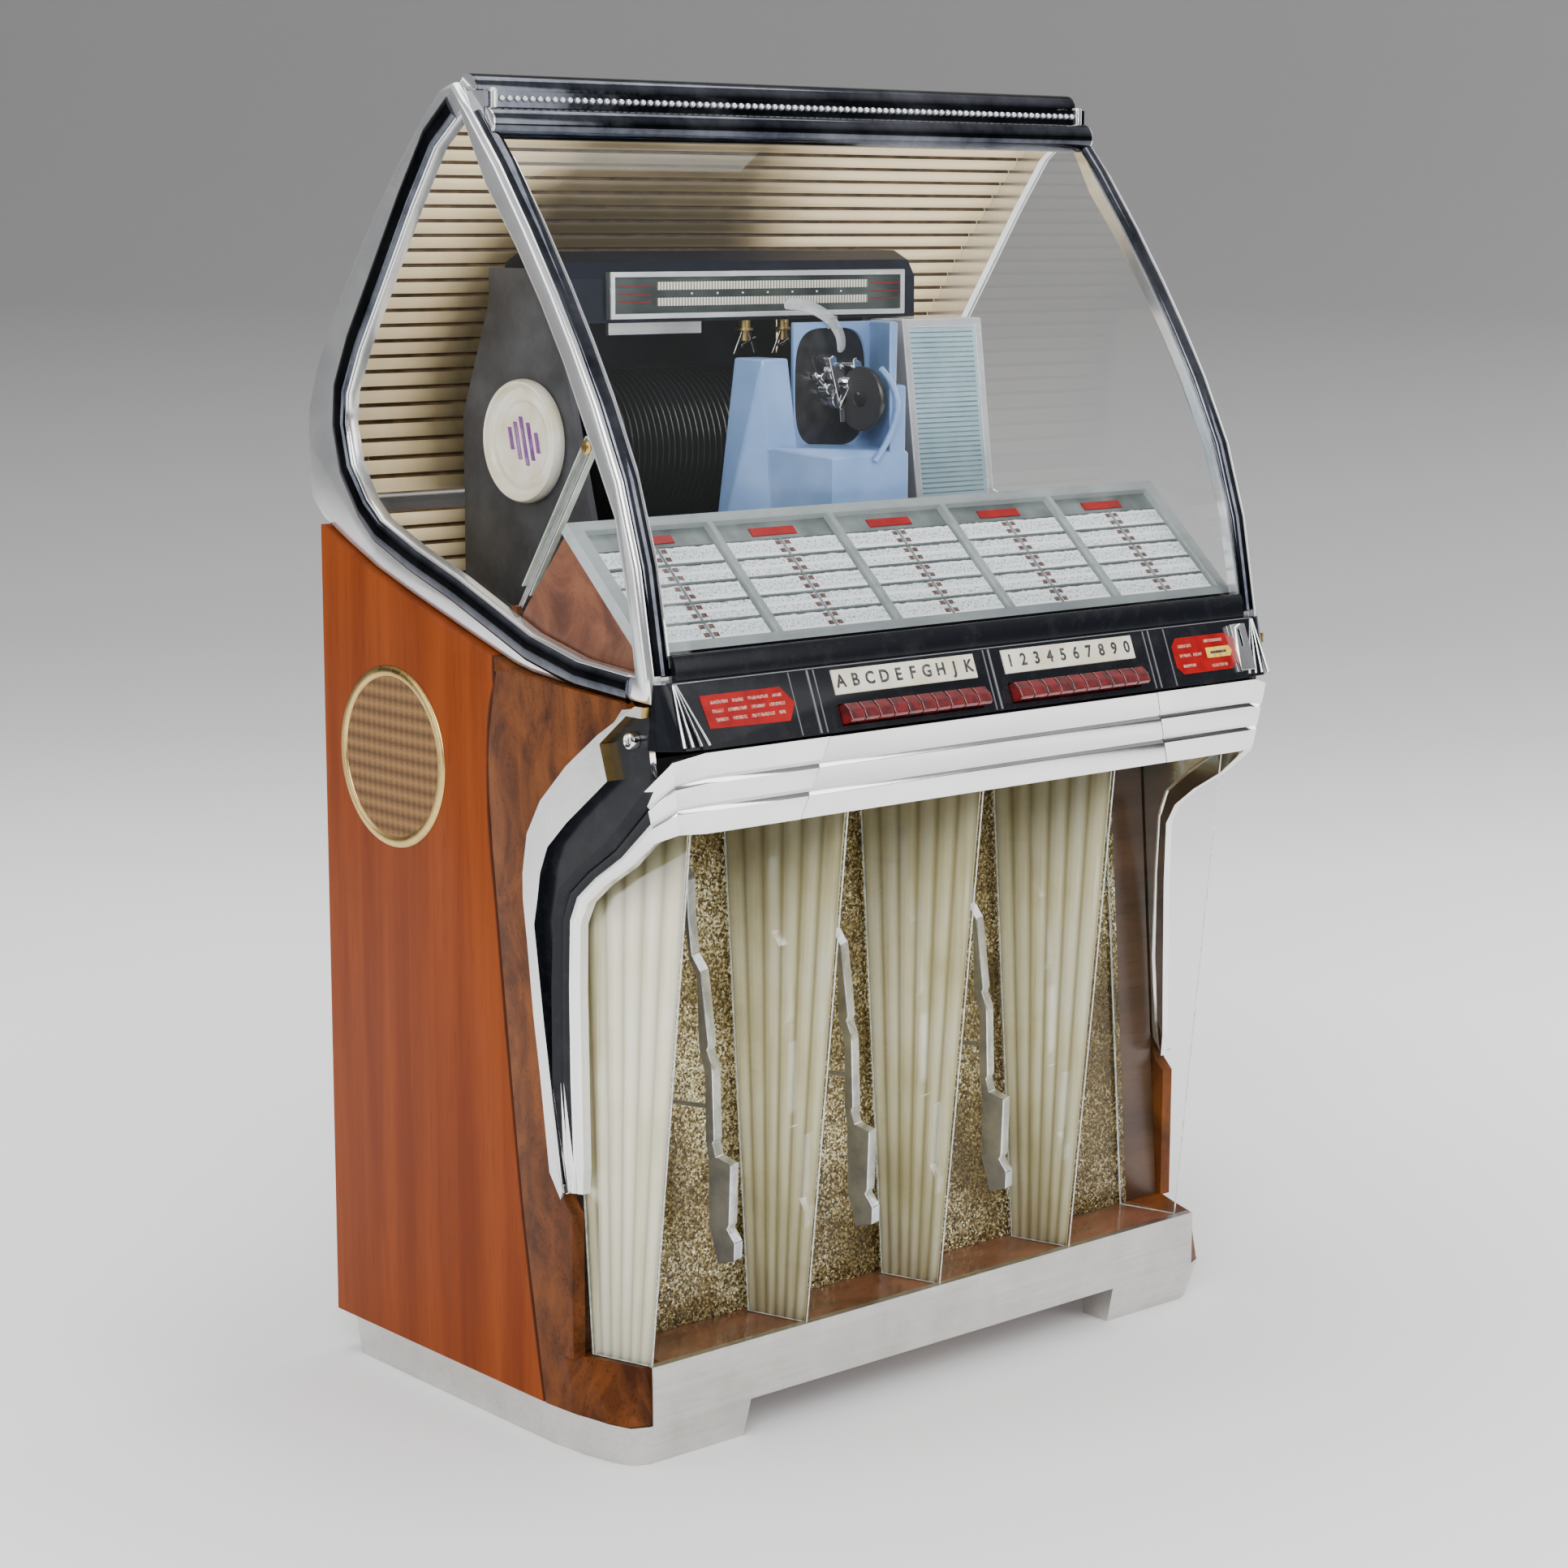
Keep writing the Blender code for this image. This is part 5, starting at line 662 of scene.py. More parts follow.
def lettering(name, text, size, matrix, material, body, thick=0.0003):
    """Flat characters with their middle at the matrix's origin."""
    data = bpy.data.curves.new(name, "FONT")
    data.body = text
    data.size = size
    data.align_x = "CENTER"
    data.align_y = "CENTER"
    data.extrude = thick / 2
    data.offset = size * 0.032
    data.resolution_u = 3
    shape = bpy.data.objects.new(name + "_line", data)
    bpy.context.scene.collection.objects.link(shape)
    mesh = bpy.data.meshes.new_from_object(shape.evaluated_get(bpy.context.evaluated_depsgraph_get()))
    bpy.data.objects.remove(shape, do_unlink=True)
    bm = bmesh.new()
    bm.from_mesh(mesh)
    bpy.data.meshes.remove(mesh)
    bm.transform(matrix)
    piece = place_mesh(name, bm, material)
    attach(piece, body)
    return piece


# The pin-lines: a pair of thin ones at each divider and one wide one in the middle of the board
PIN_LINES = ((-0.2515, 0.0022), (-0.243, 0.0010), (-0.004, 0.0010), (0.004, 0.0022), (0.243, 0.0010),
             (0.2515, 0.0014), (-0.2765, 0.0008), (0.2765, 0.0008))
for index, (x, wide) in enumerate(PIN_LINES):
    flat_piece(f"pin_line_{index + 1}", strip(x - wide / 2, x + wide / 2, 0.0015, panel_high - 0.003),
               0.0006, panel_place, chrome, "cabinet")
flat_piece("pin_line_top", strip(-0.425, 0.425, panel_high - 0.0022, panel_high - 0.0012), 0.0006,
           panel_place, chrome, "cabinet")
# Labels: an arrow at the left, a cut-cornered plate at the right, with rows of worn print
ARROW_LABEL = ((-0.392, 0.020), (-0.288, 0.018), (-0.277, 0.036), (-0.292, 0.054), (-0.396, 0.054))
PLATE_LABEL = ((0.292, 0.013), (0.372, 0.013), (0.384, 0.022), (0.384, 0.048), (0.372, 0.055),
               (0.292, 0.055), (0.283, 0.046), (0.283, 0.022))
LABEL_THICK = 0.0008
for name, outline in (("label_left", ARROW_LABEL), ("label_right", PLATE_LABEL)):
    flat_piece(name, outline, LABEL_THICK, panel_place, red_enamel, "cabinet", 0.0002)
label_top = panel_place @ Matrix.Translation((0.0, 0.0, LABEL_THICK))
yellow, tree, shader = finish("yellow_label", (0.85, 0.55, 0.06), 0.35)
mottle(tree, shader, (200.0, 2.0), (0.4, (0.86, 0.58, 0.08)), (0.7, (0.60, 0.30, 0.04)))
flat_piece("label_inset",
           [(0.336, 0.028), (0.374, 0.028), (0.378, 0.034), (0.374, 0.040), (0.336, 0.040)], 0.0006,
           label_top, yellow, "cabinet")
# Worn print: short bars, each as its left end, its length and the height of its line
PRINT_BARS = ((-0.384, 0.022, 0.046), (-0.356, 0.014, 0.046), (-0.336, 0.026, 0.046),
              (-0.304, 0.012, 0.046), (-0.384, 0.014, 0.037), (-0.364, 0.024, 0.037),
              (-0.334, 0.018, 0.037), (-0.310, 0.020, 0.037), (-0.382, 0.016, 0.028),
              (-0.360, 0.018, 0.028), (-0.336, 0.030, 0.028), (-0.300, 0.008, 0.028),
              (0.292, 0.022, 0.045), (0.336, 0.030, 0.048), (0.292, 0.018, 0.034), (0.314, 0.014, 0.034),
              (0.294, 0.020, 0.022), (0.340, 0.026, 0.019))
BAR_HIGH = 0.0034
for index, (x, long, v) in enumerate(PRINT_BARS):
    flat_piece(f"print_bar_{index + 1}", strip(x, x + long, v - BAR_HIGH / 2, v + BAR_HIGH / 2), 0.0002,
               label_top, pale_ink, "cabinet")
flat_piece("print_bar_inset", strip(0.342, 0.368, 0.0325, 0.0355), 0.0002,
           panel_place @ Matrix.Translation((0.0, 0.0, LABEL_THICK + 0.0006)), ink, "cabinet")
LETTER_SIZE = 0.0185
letter_plane = panel_place @ Matrix.Translation((0.0, LEGEND_LOW + LEGEND_HIGH * 0.5, LEGEND_PROUD))
for side, row in ((-1, "ABCDEFGHJK"), (1, "1234567890")):
    for index, letter in enumerate(row):
        x = side * BANK_CENTRE - BANK_WIDE / 2 + KEY_PITCH * (index + 0.5)
        lettering(f"legend_{letter.lower()}", letter, LETTER_SIZE,
                  letter_plane @ Matrix.Translation((x, 0.0, 0.0)), ink, "cabinet")

# Keys: twenty moulded dark red push buttons, clear enough to glow at their edges.
key_red, tree, shader = finish("clear_red_plastic", (0.20, 0.006, 0.010), 0.16, coat_weight=0.6,
                               coat_roughness=0.05, subsurface_weight=0.2)
shader.inputs["Subsurface Radius"].default_value = (0.006, 0.001, 0.001)
mottle(tree, shader, (90.0, 4.0), (0.35, (0.060, 0.001, 0.002)), (0.65, (0.18, 0.003, 0.005)))
for letter in "abcdefghjk1234567890":
    eased_copy(f"key_{letter}", key_red, 0.0014, sharp=25.0, segments=3)

# Title rack: a grey lacquered frame of five bays between darker bars, over a black lower rim,
# each with two columns of typed paper strips under a header with a red tag.
RACK_FOOT = Vector((0.0, -0.262 + SETBACK, 0.853))
RACK_HEAD = Vector((0.0, -0.130 + SETBACK, 0.973))
RACK_HALF, RACK_RIM, RACK_BAR, RACK_POCKET, RACK_BAYS = 0.4285, 0.012, 0.007, 0.008, 5
CARD_HEADER, CARD_ROWS, CARD_PROUD = 0.026, 5, 0.003
rack_up = (RACK_HEAD - RACK_FOOT).normalized()
rack_out = Vector((1.0, 0.0, 0.0)).cross(rack_up)
rack_high = (RACK_HEAD - RACK_FOOT).length
card_pitch = (rack_high - 2 * RACK_RIM - CARD_HEADER) / CARD_ROWS
bay_pitch = 2 * (RACK_HALF - RACK_RIM) / RACK_BAYS
rack_base = RACK_FOOT - rack_out * RACK_POCKET
rack_place = on_plane(rack_up, rack_out, rack_base)
grey_lacquer, tree, shader = finish("grey_lacquer", (0.5, 0.55, 0.55), 0.32, 0.35)
brush(tree, shader, (0.62, 0.67, 0.68), (0.42, 0.46, 0.47), 0.25, 0.15, 90.0)
# Painted shade: the floor of the rack's pockets is darkened
pocket_painted_shade, tree, shader = finish("pocket_painted_shade", (0.25, 0.29, 0.28), 0.4)
mottle(tree, shader, (18.0, 4.0), (0.35, (0.075, 0.095, 0.092)), (0.65, (0.20, 0.24, 0.235)))
typed, tree, shader = finish("typed_paper", (0.75, 0.8, 0.82), 0.7)
spot = object_spot(tree)
offset = vector_calc(tree, "SUBTRACT", spot, tuple(rack_base))
v = node(tree, "ShaderNodeVectorMath", {0: offset, 1: tuple(rack_up)},
         operation="DOT_PRODUCT").outputs["Value"]
u = node(tree, "ShaderNodeSeparateXYZ", {"Vector": spot}).outputs["X"]
flat = node(tree, "ShaderNodeCombineXYZ", {"X": u, "Y": v}).outputs[0]
type_scale = node(tree, "ShaderNodeMapping", {"Vector": flat, "Scale": (1.0, 0.42, 1.0)}).outputs[0]
strokes = noise(tree, type_scale, 620.0, 1.0)
rows = calc(tree, "PINGPONG", v, card_pitch / 3)
lines_only = span(tree, rows, 0.0012, 0.0022)
stroke = span(tree, strokes, 0.50, 0.58)
printed = calc(tree, "MULTIPLY", stroke, lines_only)
printed = calc(tree, "MULTIPLY", printed, 0.75)
from_rim = calc(tree, "SUBTRACT", v, RACK_RIM)
from_gap = calc(tree, "PINGPONG", from_rim, card_pitch / 2)
torn = noise(tree, flat, 120.0, 3.0)
from_gap = calc(tree, "MULTIPLY_ADD", torn, 0.0050, from_gap)
gap = span(tree, from_gap, 0.0046, 0.0038)
inked = mix_colours(tree, printed, (0.80, 0.86, 0.88), (0.22, 0.25, 0.26))
tree.links.new(mix_colours(tree, gap, inked, (0.045, 0.055, 0.055)), shader.inputs["Base Color"])
rack = eased_copy("title_rack", grey_lacquer, 0.0008)


def on_rack(spot):
    """How far a place is up the rack's slope and out of its pockets' floor."""
    return (spot - rack_base).dot(rack_up), (spot - rack_base).dot(rack_out)


def in_pocket(spot):
    """Whether a place is in a bay, below the rack's face."""
    up, out = on_rack(spot)
    return -0.0005 < out < RACK_POCKET - 0.0008 and RACK_RIM - 0.001 < up < rack_high - RACK_RIM + 0.001


# The pockets' floor gets the painted shade
repaint(rack, pocket_painted_shade, lambda spot, facing: in_pocket(spot) and on_rack(spot)[1] < 0.0008)
repaint(rack, typed, lambda spot, facing: in_pocket(spot) and on_rack(spot)[1] > 0.001
        and facing.dot(rack_out) > 0.7)
repaint(rack, gloss_black, lambda spot, facing: on_rack(spot)[0] < RACK_RIM - 0.0005)
bar_grey, tree, shader = finish("bar_grey", (0.30, 0.34, 0.34), 0.4, 0.2)
brush(tree, shader, (0.34, 0.38, 0.385), (0.19, 0.22, 0.225), 0.3, 0.15, 90.0)
repaint(rack, bar_grey, lambda spot, facing: on_rack(spot)[1] > RACK_POCKET - 0.0012
        and RACK_RIM < on_rack(spot)[0] < rack_high - RACK_RIM
        and abs(spot.x) < RACK_HALF - RACK_RIM - 0.001)
pencil_brown, tree, shader = finish("brown_print", (0.10, 0.03, 0.02), 0.6)
mottle(tree, shader, (400.0,), (0.4, (0.055, 0.022, 0.018)), (0.7, (0.20, 0.11, 0.09)))


def add_box(bm, size, place, turn=None):
    """Adds a box of a size, turned about its middle, at a place."""
    made = bmesh.ops.create_cube(bm, size=1.0)["verts"]
    bmesh.ops.scale(bm, verts=made, vec=size)
    if turn is not None:
        bmesh.ops.rotate(bm, verts=made, matrix=turn)
    bmesh.ops.translate(bm, verts=made, vec=place)


# Two words on each typed strip: their left ends from the bay's middle and their size
WORD_PLACES, WORD_SIZE = (-0.0085, 0.0040), (0.0070, 0.0056, 0.0004)
for bay in range(RACK_BAYS):
    left = -RACK_HALF + RACK_RIM + bay * bay_pitch + RACK_BAR / 2
    right = left + bay_pitch - RACK_BAR
    middle = (left + right) / 2
    tag = strip(middle - 0.032, middle + 0.030, rack_high - RACK_RIM - 0.019,
                rack_high - RACK_RIM - 0.008)
    flat_piece(f"rack_tag_{bay + 1}", tag, 0.0012, rack_place, red_enamel, "cabinet",
               0.0003)
    bm = bmesh.new()
    for row in range(CARD_ROWS):
        low = RACK_RIM + row * card_pitch + 0.0028
        for u in (middle + shift for shift in WORD_PLACES):
            for step in (0.15, 0.58):
                v = low + card_pitch * step
                add_box(bm, WORD_SIZE, (u + 0.00225, v + 0.002, CARD_PROUD + 0.0001))
    bm.transform(rack_place)
    marks = place_mesh(f"card_marks_{bay + 1}", bm, pencil_brown)
    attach(marks, "cabinet")

# Mechanism: a steel housing in dark blue lacquer over two dark grey end plates and a base, with
# a long dark glass scale in a bright frame screwed to its front.
MECH_LEFT, MECH_END, HOUSING_FRONT = -0.315, 0.110, 0.018 + SETBACK
HOUSING_LOW = 1.165
GUIDE_Y, GUIDE_Z, GUIDE_RADIUS = -0.0297 + SETBACK, 0.892, 0.006
SCALE_LEFT, SCALE_RIGHT, SCALE_LOW, SCALE_HIGH, SCALE_THICK = -0.262, 0.162, 1.169, 1.219, 0.006
SCALE_RIM, SCALE_LIP = 0.0058, 0.0028
TICKS_LEFT, TICKS_RIGHT, TICKS_HIGH = -0.198, 0.106, 0.0085
POINTER_LONG, POINTER_HIGH = 0.044, 0.0009
STUDS, STUD_FIRST, STUD_PITCH, STUD_Z, STUD_RADIUS = 7, -0.150, 0.036, 1.1953, 0.0016
navy, tree, shader = finish("navy_lacquer", (0.012, 0.016, 0.034), 0.38)
shader.inputs["Specular IOR Level"].default_value = 0.2
mottle(tree, shader, (30.0, 7.0, 0.7), (0.40, (0.003, 0.005, 0.014)), (0.75, (0.012, 0.017, 0.034)))
plate_grey, tree, shader = finish("plate_grey", (0.04, 0.04, 0.05), 0.45)
mottle(tree, shader, (16.0, 6.0, 0.65), (0.35, (0.018, 0.019, 0.024)), (0.70, (0.060, 0.062, 0.070)))
steel, tree, shader = finish("plain_steel", (0.5, 0.5, 0.5), 0.35, 1.0)
brush(tree, shader, (0.66, 0.66, 0.66), (0.34, 0.34, 0.35), 0.28, 0.2, 150.0)
scale_glass, tree, shader = finish("dark_scale_glass", (0.03, 0.04, 0.04), 0.15, coat_weight=0.3,
                                   coat_roughness=0.02)
mottle(tree, shader, (13.0, 4.0), (0.35, (0.022, 0.030, 0.030)), (0.65, (0.085, 0.105, 0.100)))
ticked, tree, shader = finish("ticked_strip", (0.8, 0.78, 0.66), 0.4)
parts = node(tree, "ShaderNodeSeparateXYZ", {"Vector": object_spot(tree)})
tick = calc(tree, "PINGPONG", parts.outputs["X"], 0.0021)
tick = span(tree, tick, 0.0006, 0.0010)
tree.links.new(mix_colours(tree, tick, (0.17, 0.15, 0.10), (0.86, 0.84, 0.72)),
               shader.inputs["Base Color"])
mech = eased_copy("mechanism_frame", navy, 0.0022, sharp=25.0, segments=3)
repaint(mech, plate_grey, lambda spot, facing: spot.z < HOUSING_LOW - 0.001
        or spot.x < MECH_LEFT - 0.0004)
repaint(mech, steel, lambda spot, facing: abs(spot.y - GUIDE_Y) < GUIDE_RADIUS + 0.0005
        and abs(spot.z - GUIDE_Z) < GUIDE_RADIUS + 0.0005 and MECH_LEFT < spot.x < MECH_END)
repaint(mech, scale_glass, lambda spot, facing: spot.y < HOUSING_FRONT - 0.0004 and spot.z > HOUSING_LOW)

# A dark sheet with folded edges closes the mechanism behind the records
BACK_SHEET_Y, BACK_SHEET_LOW, BACK_SHEET_THICK, BACK_SHEET_FOLD = 0.1660 + SETBACK, 0.8310, 0.0012, 0.0120
BACK_SHEET_GAP, BACK_SHEET_SHORT = 0.0005, 0.0090
high = HOUSING_LOW - BACK_SHEET_GAP
outline = [(MECH_LEFT + BACK_SHEET_GAP, BACK_SHEET_Y + dy, z)
           for dy, z in ((0.0, BACK_SHEET_LOW), (0.0, high), (-BACK_SHEET_FOLD, high),
                         (-BACK_SHEET_FOLD, high - BACK_SHEET_THICK),
                         (-BACK_SHEET_THICK, high - BACK_SHEET_THICK),
                         (-BACK_SHEET_THICK, BACK_SHEET_LOW))]
back_sheet = place_mesh("mechanism_back",
                        prism(outline, (MECH_END - MECH_LEFT - BACK_SHEET_SHORT, 0.0, 0.0)), navy)
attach(back_sheet, "cabinet")


def facing_front(y):
    """An upright plane across the object whose Z axis looks to the front."""
    made = Matrix(((1.0, 0.0, 0.0), (0.0, 0.0, -1.0), (0.0, 1.0, 0.0))).to_4x4()
    made.translation = (0.0, y, 0.0)
    return made


scale_place = facing_front(HOUSING_FRONT - SCALE_THICK)
bm = bmesh.new()
outer, inner = ([bm.verts.new((x, z, 0.0)) for x, z in strip(SCALE_LEFT + inset, SCALE_RIGHT - inset,
                                                             SCALE_LOW + inset, SCALE_HIGH - inset)]
                for inset in (0.0, SCALE_RIM))
for index in range(4):
    bm.faces.new((outer[index - 1], outer[index], inner[index], inner[index - 1]))
drawn = bmesh.ops.extrude_face_region(bm, geom=list(bm.faces))
bmesh.ops.translate(bm, vec=(0.0, 0.0, SCALE_LIP), verts=verts_of(drawn))
bmesh.ops.recalc_face_normals(bm, faces=bm.faces)
bm.transform(scale_place)
bright_trim, tree, shader = finish("bright_trim", (0.80, 0.82, 0.83), 0.25, 0.55)
brush(tree, shader, (0.92, 0.93, 0.94), (0.70, 0.72, 0.74), 0.18, 0.12, 160.0)
scale_frame = round_edges(place_mesh("scale_frame", bm, bright_trim), 0.0010, 3)
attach(scale_frame, "cabinet")
for name, low in (("scale_strip_high", 1.1995), ("scale_strip_low", 1.1825)):
    flat_piece(name, strip(TICKS_LEFT, TICKS_RIGHT, low, low + TICKS_HIGH), 0.0006, scale_place, ticked,
               "cabinet")
for name, left in (("pointer_left", -0.250), ("pointer_right", 0.111)):
    for row, low in enumerate((1.1865, 1.1945, 1.2035)):
        flat_piece(f"{name}_{row + 1}", strip(left, left + POINTER_LONG, low, low + POINTER_HIGH), 0.0004,
                   scale_place, red_enamel, "cabinet")
bm = bmesh.new()
for index in range(STUDS):
    made = bmesh.ops.create_icosphere(bm, subdivisions=2, radius=STUD_RADIUS)["verts"]
    bmesh.ops.translate(bm, verts=made, vec=(STUD_FIRST + STUD_PITCH * index, STUD_Z, 0.0))
bm.transform(scale_place)
studs = place_mesh("scale_studs", bm, chrome, smooth=60)
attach(studs, "cabinet")
under_place = scale_place @ Matrix.Translation((0.0, 0.0, -SCALE_THICK - 0.010))
flat_piece("scale_trim", strip(-0.256, -0.128, 1.152, HOUSING_LOW + 0.001), 0.006, under_place, steel,
           "cabinet", 0.0008)
# Selector levers: two small stacks of brass collars and bright levers under the housing
SELECTOR_PLACES = (-0.062, -0.006)
for index, x in enumerate(SELECTOR_PLACES):
    bm = bmesh.new()
    # Each collar: its radius, its height and how far it hangs down
    for radius, high, drop in ((0.0065, 0.010, 0.005), (0.0095, 0.003, 0.011), (0.0050, 0.012, 0.018)):
        made = bmesh.ops.create_cone(bm, cap_ends=True, segments=20, radius1=radius, radius2=radius,
                                     depth=high)["verts"]
        bmesh.ops.translate(bm, verts=made, vec=(x, HOUSING_FRONT + 0.010, HOUSING_LOW - drop + 0.001))
    collar = round_edges(place_mesh(f"selector_collar_{index + 1}", bm, brass, smooth=40), 0.0005)
    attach(collar, "cabinet")
    bm = bmesh.new()
    # Each lever: its lean, its length and its place beside the collars
    for lean, long, shift in ((0.45, 0.030, -0.010), (-0.35, 0.026, 0.009), (1.15, 0.022, 0.004)):
        add_box(bm, (0.0030, 0.0014, long), (x + shift, HOUSING_FRONT + 0.008, HOUSING_LOW - 0.024),
                Matrix.Rotation(lean, 3, "Y"))
    levers = round_edges(place_mesh(f"selector_levers_{index + 1}", bm, chrome), 0.0004)
    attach(levers, "cabinet")

# Records: fifty pressed vinyl discs with paper labels, on edge in a row on a steel spindle.
RECORD_Y, RECORD_Z, RECORD_PITCH, RECORD_FIRST, RECORDS = 0.064 + SETBACK, 1.030, 0.0081, -0.2905, 50
# Half of a disc's section: radius and half thickness
DISC_SECTION = ((0.0102, 0.0009), (0.0440, 0.0009), (0.0458, 0.0006), (0.0840, 0.0006), (0.0866, 0.0009))
DISC_RADIUS, LABEL_RADIUS, GROOVE_PITCH = 0.0875, 0.0448, 0.0011


def facing_left(x, y, z):
    """A plane whose Z axis looks to the left end of the object."""
    made = Matrix(((0.0, 1.0, 0.0), (0.0, 0.0, -1.0), (-1.0, 0.0, 0.0))).transposed().to_4x4()
    made.translation = (x, y, z)
    return made


def turned_piece(name, profile, steps, places, material, body, smooth=35.0, closed=False):
    """One or more like turned shapes: (radius, height) points spun about the Z axis of each place."""
    bm = bmesh.new()
    for place in places:
        verts = [bm.verts.new((radius, 0.0, high)) for radius, high in profile]
        edges = [bm.edges.new(pair) for pair in zip(verts, verts[1:])]
        if closed:
            edges.append(bm.edges.new((verts[-1], verts[0])))
        bmesh.ops.spin(bm, geom=verts + edges, cent=(0.0, 0.0, 0.0), axis=(0.0, 0.0, 1.0),
                       angle=2 * math.pi, steps=steps, use_merge=True)
        near = {v for v in bm.verts if not v.tag}
        bmesh.ops.transform(bm, matrix=place, verts=list(near))
        for v in near:
            v.tag = True
    bmesh.ops.remove_doubles(bm, verts=bm.verts, dist=0.00001)
    bmesh.ops.recalc_face_normals(bm, faces=bm.faces)
    piece = place_mesh(name, bm, material, smooth=smooth)
    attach(piece, body)
    return piece


def radius_from(tree, centre):
    """The distance of a place from a line along X through a centre."""
    spot = object_spot(tree)
    away = vector_calc(tree, "SUBTRACT", spot, centre)
    flat = vector_calc(tree, "MULTIPLY", away, (0.0, 1.0, 1.0))
    return node(tree, "ShaderNodeVectorMath", {0: flat}, operation="LENGTH").outputs["Value"]


vinyl, tree, shader = finish("pressed_vinyl", (0.01, 0.01, 0.011), 0.25, coat_weight=0.1,
                             coat_roughness=0.1)
shader.inputs["Specular IOR Level"].default_value = 0.25
away = radius_from(tree, (0.0, RECORD_Y, RECORD_Z))
groove = calc(tree, "PINGPONG", away, GROOVE_PITCH)
relief(tree, shader, groove, 0.2, 0.25)
bands = calc(tree, "PINGPONG", away, 0.0047)
shade = calc(tree, "MULTIPLY", bands, 150.0)
tree.links.new(ramp(tree, shade, (0.2, (0.003, 0.003, 0.004)), (0.7, (0.009, 0.010, 0.012))),
               shader.inputs["Base Color"])
paper_label, tree, shader = finish("record_labels", (0.3, 0.1, 0.08), 0.6)
parts = node(tree, "ShaderNodeSeparateXYZ", {"Vector": object_spot(tree)})
each = calc(tree, "MULTIPLY", parts.outputs["X"], 137.0)
pick = node(tree, "ShaderNodeTexNoise", {"W": each, "Scale": 1.0}, noise_dimensions="1D").outputs["Fac"]
tree.links.new(ramp(tree, pick, (0.30, (0.30, 0.03, 0.03)), (0.45, (0.05, 0.09, 0.24)),
                    (0.60, (0.36, 0.28, 0.10)), (0.72, (0.05, 0.17, 0.10))), shader.inputs["Base Color"])
half = [*DISC_SECTION, (DISC_RADIUS, 0.0)]
section = half + [(radius, -high) for radius, high in reversed(DISC_SECTION)]
record_places = [facing_left(RECORD_FIRST + index * RECORD_PITCH, RECORD_Y, RECORD_Z)
                 for index in range(RECORDS)]
discs = turned_piece("record_row", section, 56, record_places, vinyl, "cabinet", 30.0,
                     closed=True)
repaint(discs, paper_label, lambda spot, facing: abs(facing.x) > 0.5
        and math.hypot(spot.y - RECORD_Y, spot.z - RECORD_Z) < LABEL_RADIUS)
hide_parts("records")
SPINDLE_LEFT, SPINDLE_RIGHT, SPINDLE_RADIUS = -0.3145, 0.1095, 0.0098
turned_piece("record_spindle",
             [(0.0, SPINDLE_RIGHT), (SPINDLE_RADIUS, SPINDLE_RIGHT), (SPINDLE_RADIUS, SPINDLE_LEFT),
              (0.0, SPINDLE_LEFT)], 32,
             [Matrix.Translation((0.0, RECORD_Y, RECORD_Z)) @ Matrix.Rotation(math.pi / 2, 4, "Y")],
             steel, "cabinet", 40.0)

# Badge: a moulded cream disc with a double rim on the left end plate, with five slanted
# purple bars on its face.
BADGE_X, BADGE_Y, BADGE_Z, BADGE_RADIUS, BADGE_THICK = -0.3224, 0.078 + SETBACK, 1.040, 0.0665, 0.014
BADGE_SHARES = ((0.0, 0.36), (0.58, 0.35), (0.62, 0.38), (0.65, 0.52), (0.68, 0.60), (0.72, 0.60),
                (0.755, 0.52), (0.79, 0.42), (0.85, 0.43), (0.885, 0.60), (0.91, 0.92), (0.935, 1.00),
                (0.96, 0.96), (0.985, 0.72), (1.00, 0.30), (0.985, 0.03), (0.96, 0.0), (0.0, 0.0))
badge_place = facing_left(BADGE_X, BADGE_Y, BADGE_Z)
badge = turned_piece("badge_dressed", [(r * BADGE_RADIUS, h * BADGE_THICK) for r, h in BADGE_SHARES], 96,
                     [badge_place], cream, "cabinet", 30.0)
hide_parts("badge_disc")
purple, tree, shader = finish("purple_enamel", (0.16, 0.03, 0.22), 0.3, coat_weight=0.4)
mottle(tree, shader, (70.0, 4.0), (0.35, (0.11, 0.02, 0.17)), (0.65, (0.24, 0.07, 0.30)))
face_place = badge_place @ Matrix.Translation((0.0, 0.0, BADGE_THICK * 0.355))
for index, (low, high) in enumerate(((-0.012, 0.010), (-0.020, 0.020), (-0.026, 0.026), (-0.020, 0.020),
                                     (-0.010, 0.014))):
    middle = (index - 2) * 0.0115
    outline = [(middle + 0.0032 + low * 0.25, -low), (middle - 0.0032 + low * 0.25, -low),
               (middle - 0.0032 + high * 0.25, -high), (middle + 0.0032 + high * 0.25, -high)]
    bar = flat_piece(f"badge_bar_{index + 1}", outline, 0.0010, face_place, purple, "cabinet")
    round_edges(bar, 0.0012, 3)

# Carriage: a powder blue die-cast body of a tapering column, a low block, an upright and a
# plate with a rounded opening for the grippers, which runs along the rail before the records.
CARRIAGE_BACK_Y = -0.0365 + SETBACK
# Corners as x, y, z of the casting's three solid forms, before the setback
COLUMN_CORNERS = ((-0.1153, -0.088, 0.868), (-0.0600, -0.088, 0.868), (-0.0600, -0.0365, 0.868),
                  (-0.1680, -0.0365, 0.868), (-0.1340, -0.088, 1.1275), (-0.0980, -0.088, 1.1275),
                  (-0.0980, -0.0365, 1.1275), (-0.1310, -0.0365, 1.1275))
BLOCK_CORNERS = ((-0.1270, -0.0890, 1.034), (-0.0505, -0.106, 1.0195), (0.0634, -0.106, 1.0225),
                 (0.0634, -0.0365, 1.026), (-0.1050, -0.0365, 1.034), (-0.1150, -0.0890, 0.868),
                 (-0.0505, -0.106, 0.868), (0.0634, -0.106, 0.868), (0.0634, -0.0365, 0.868),
                 (-0.1150, -0.0365, 0.868))
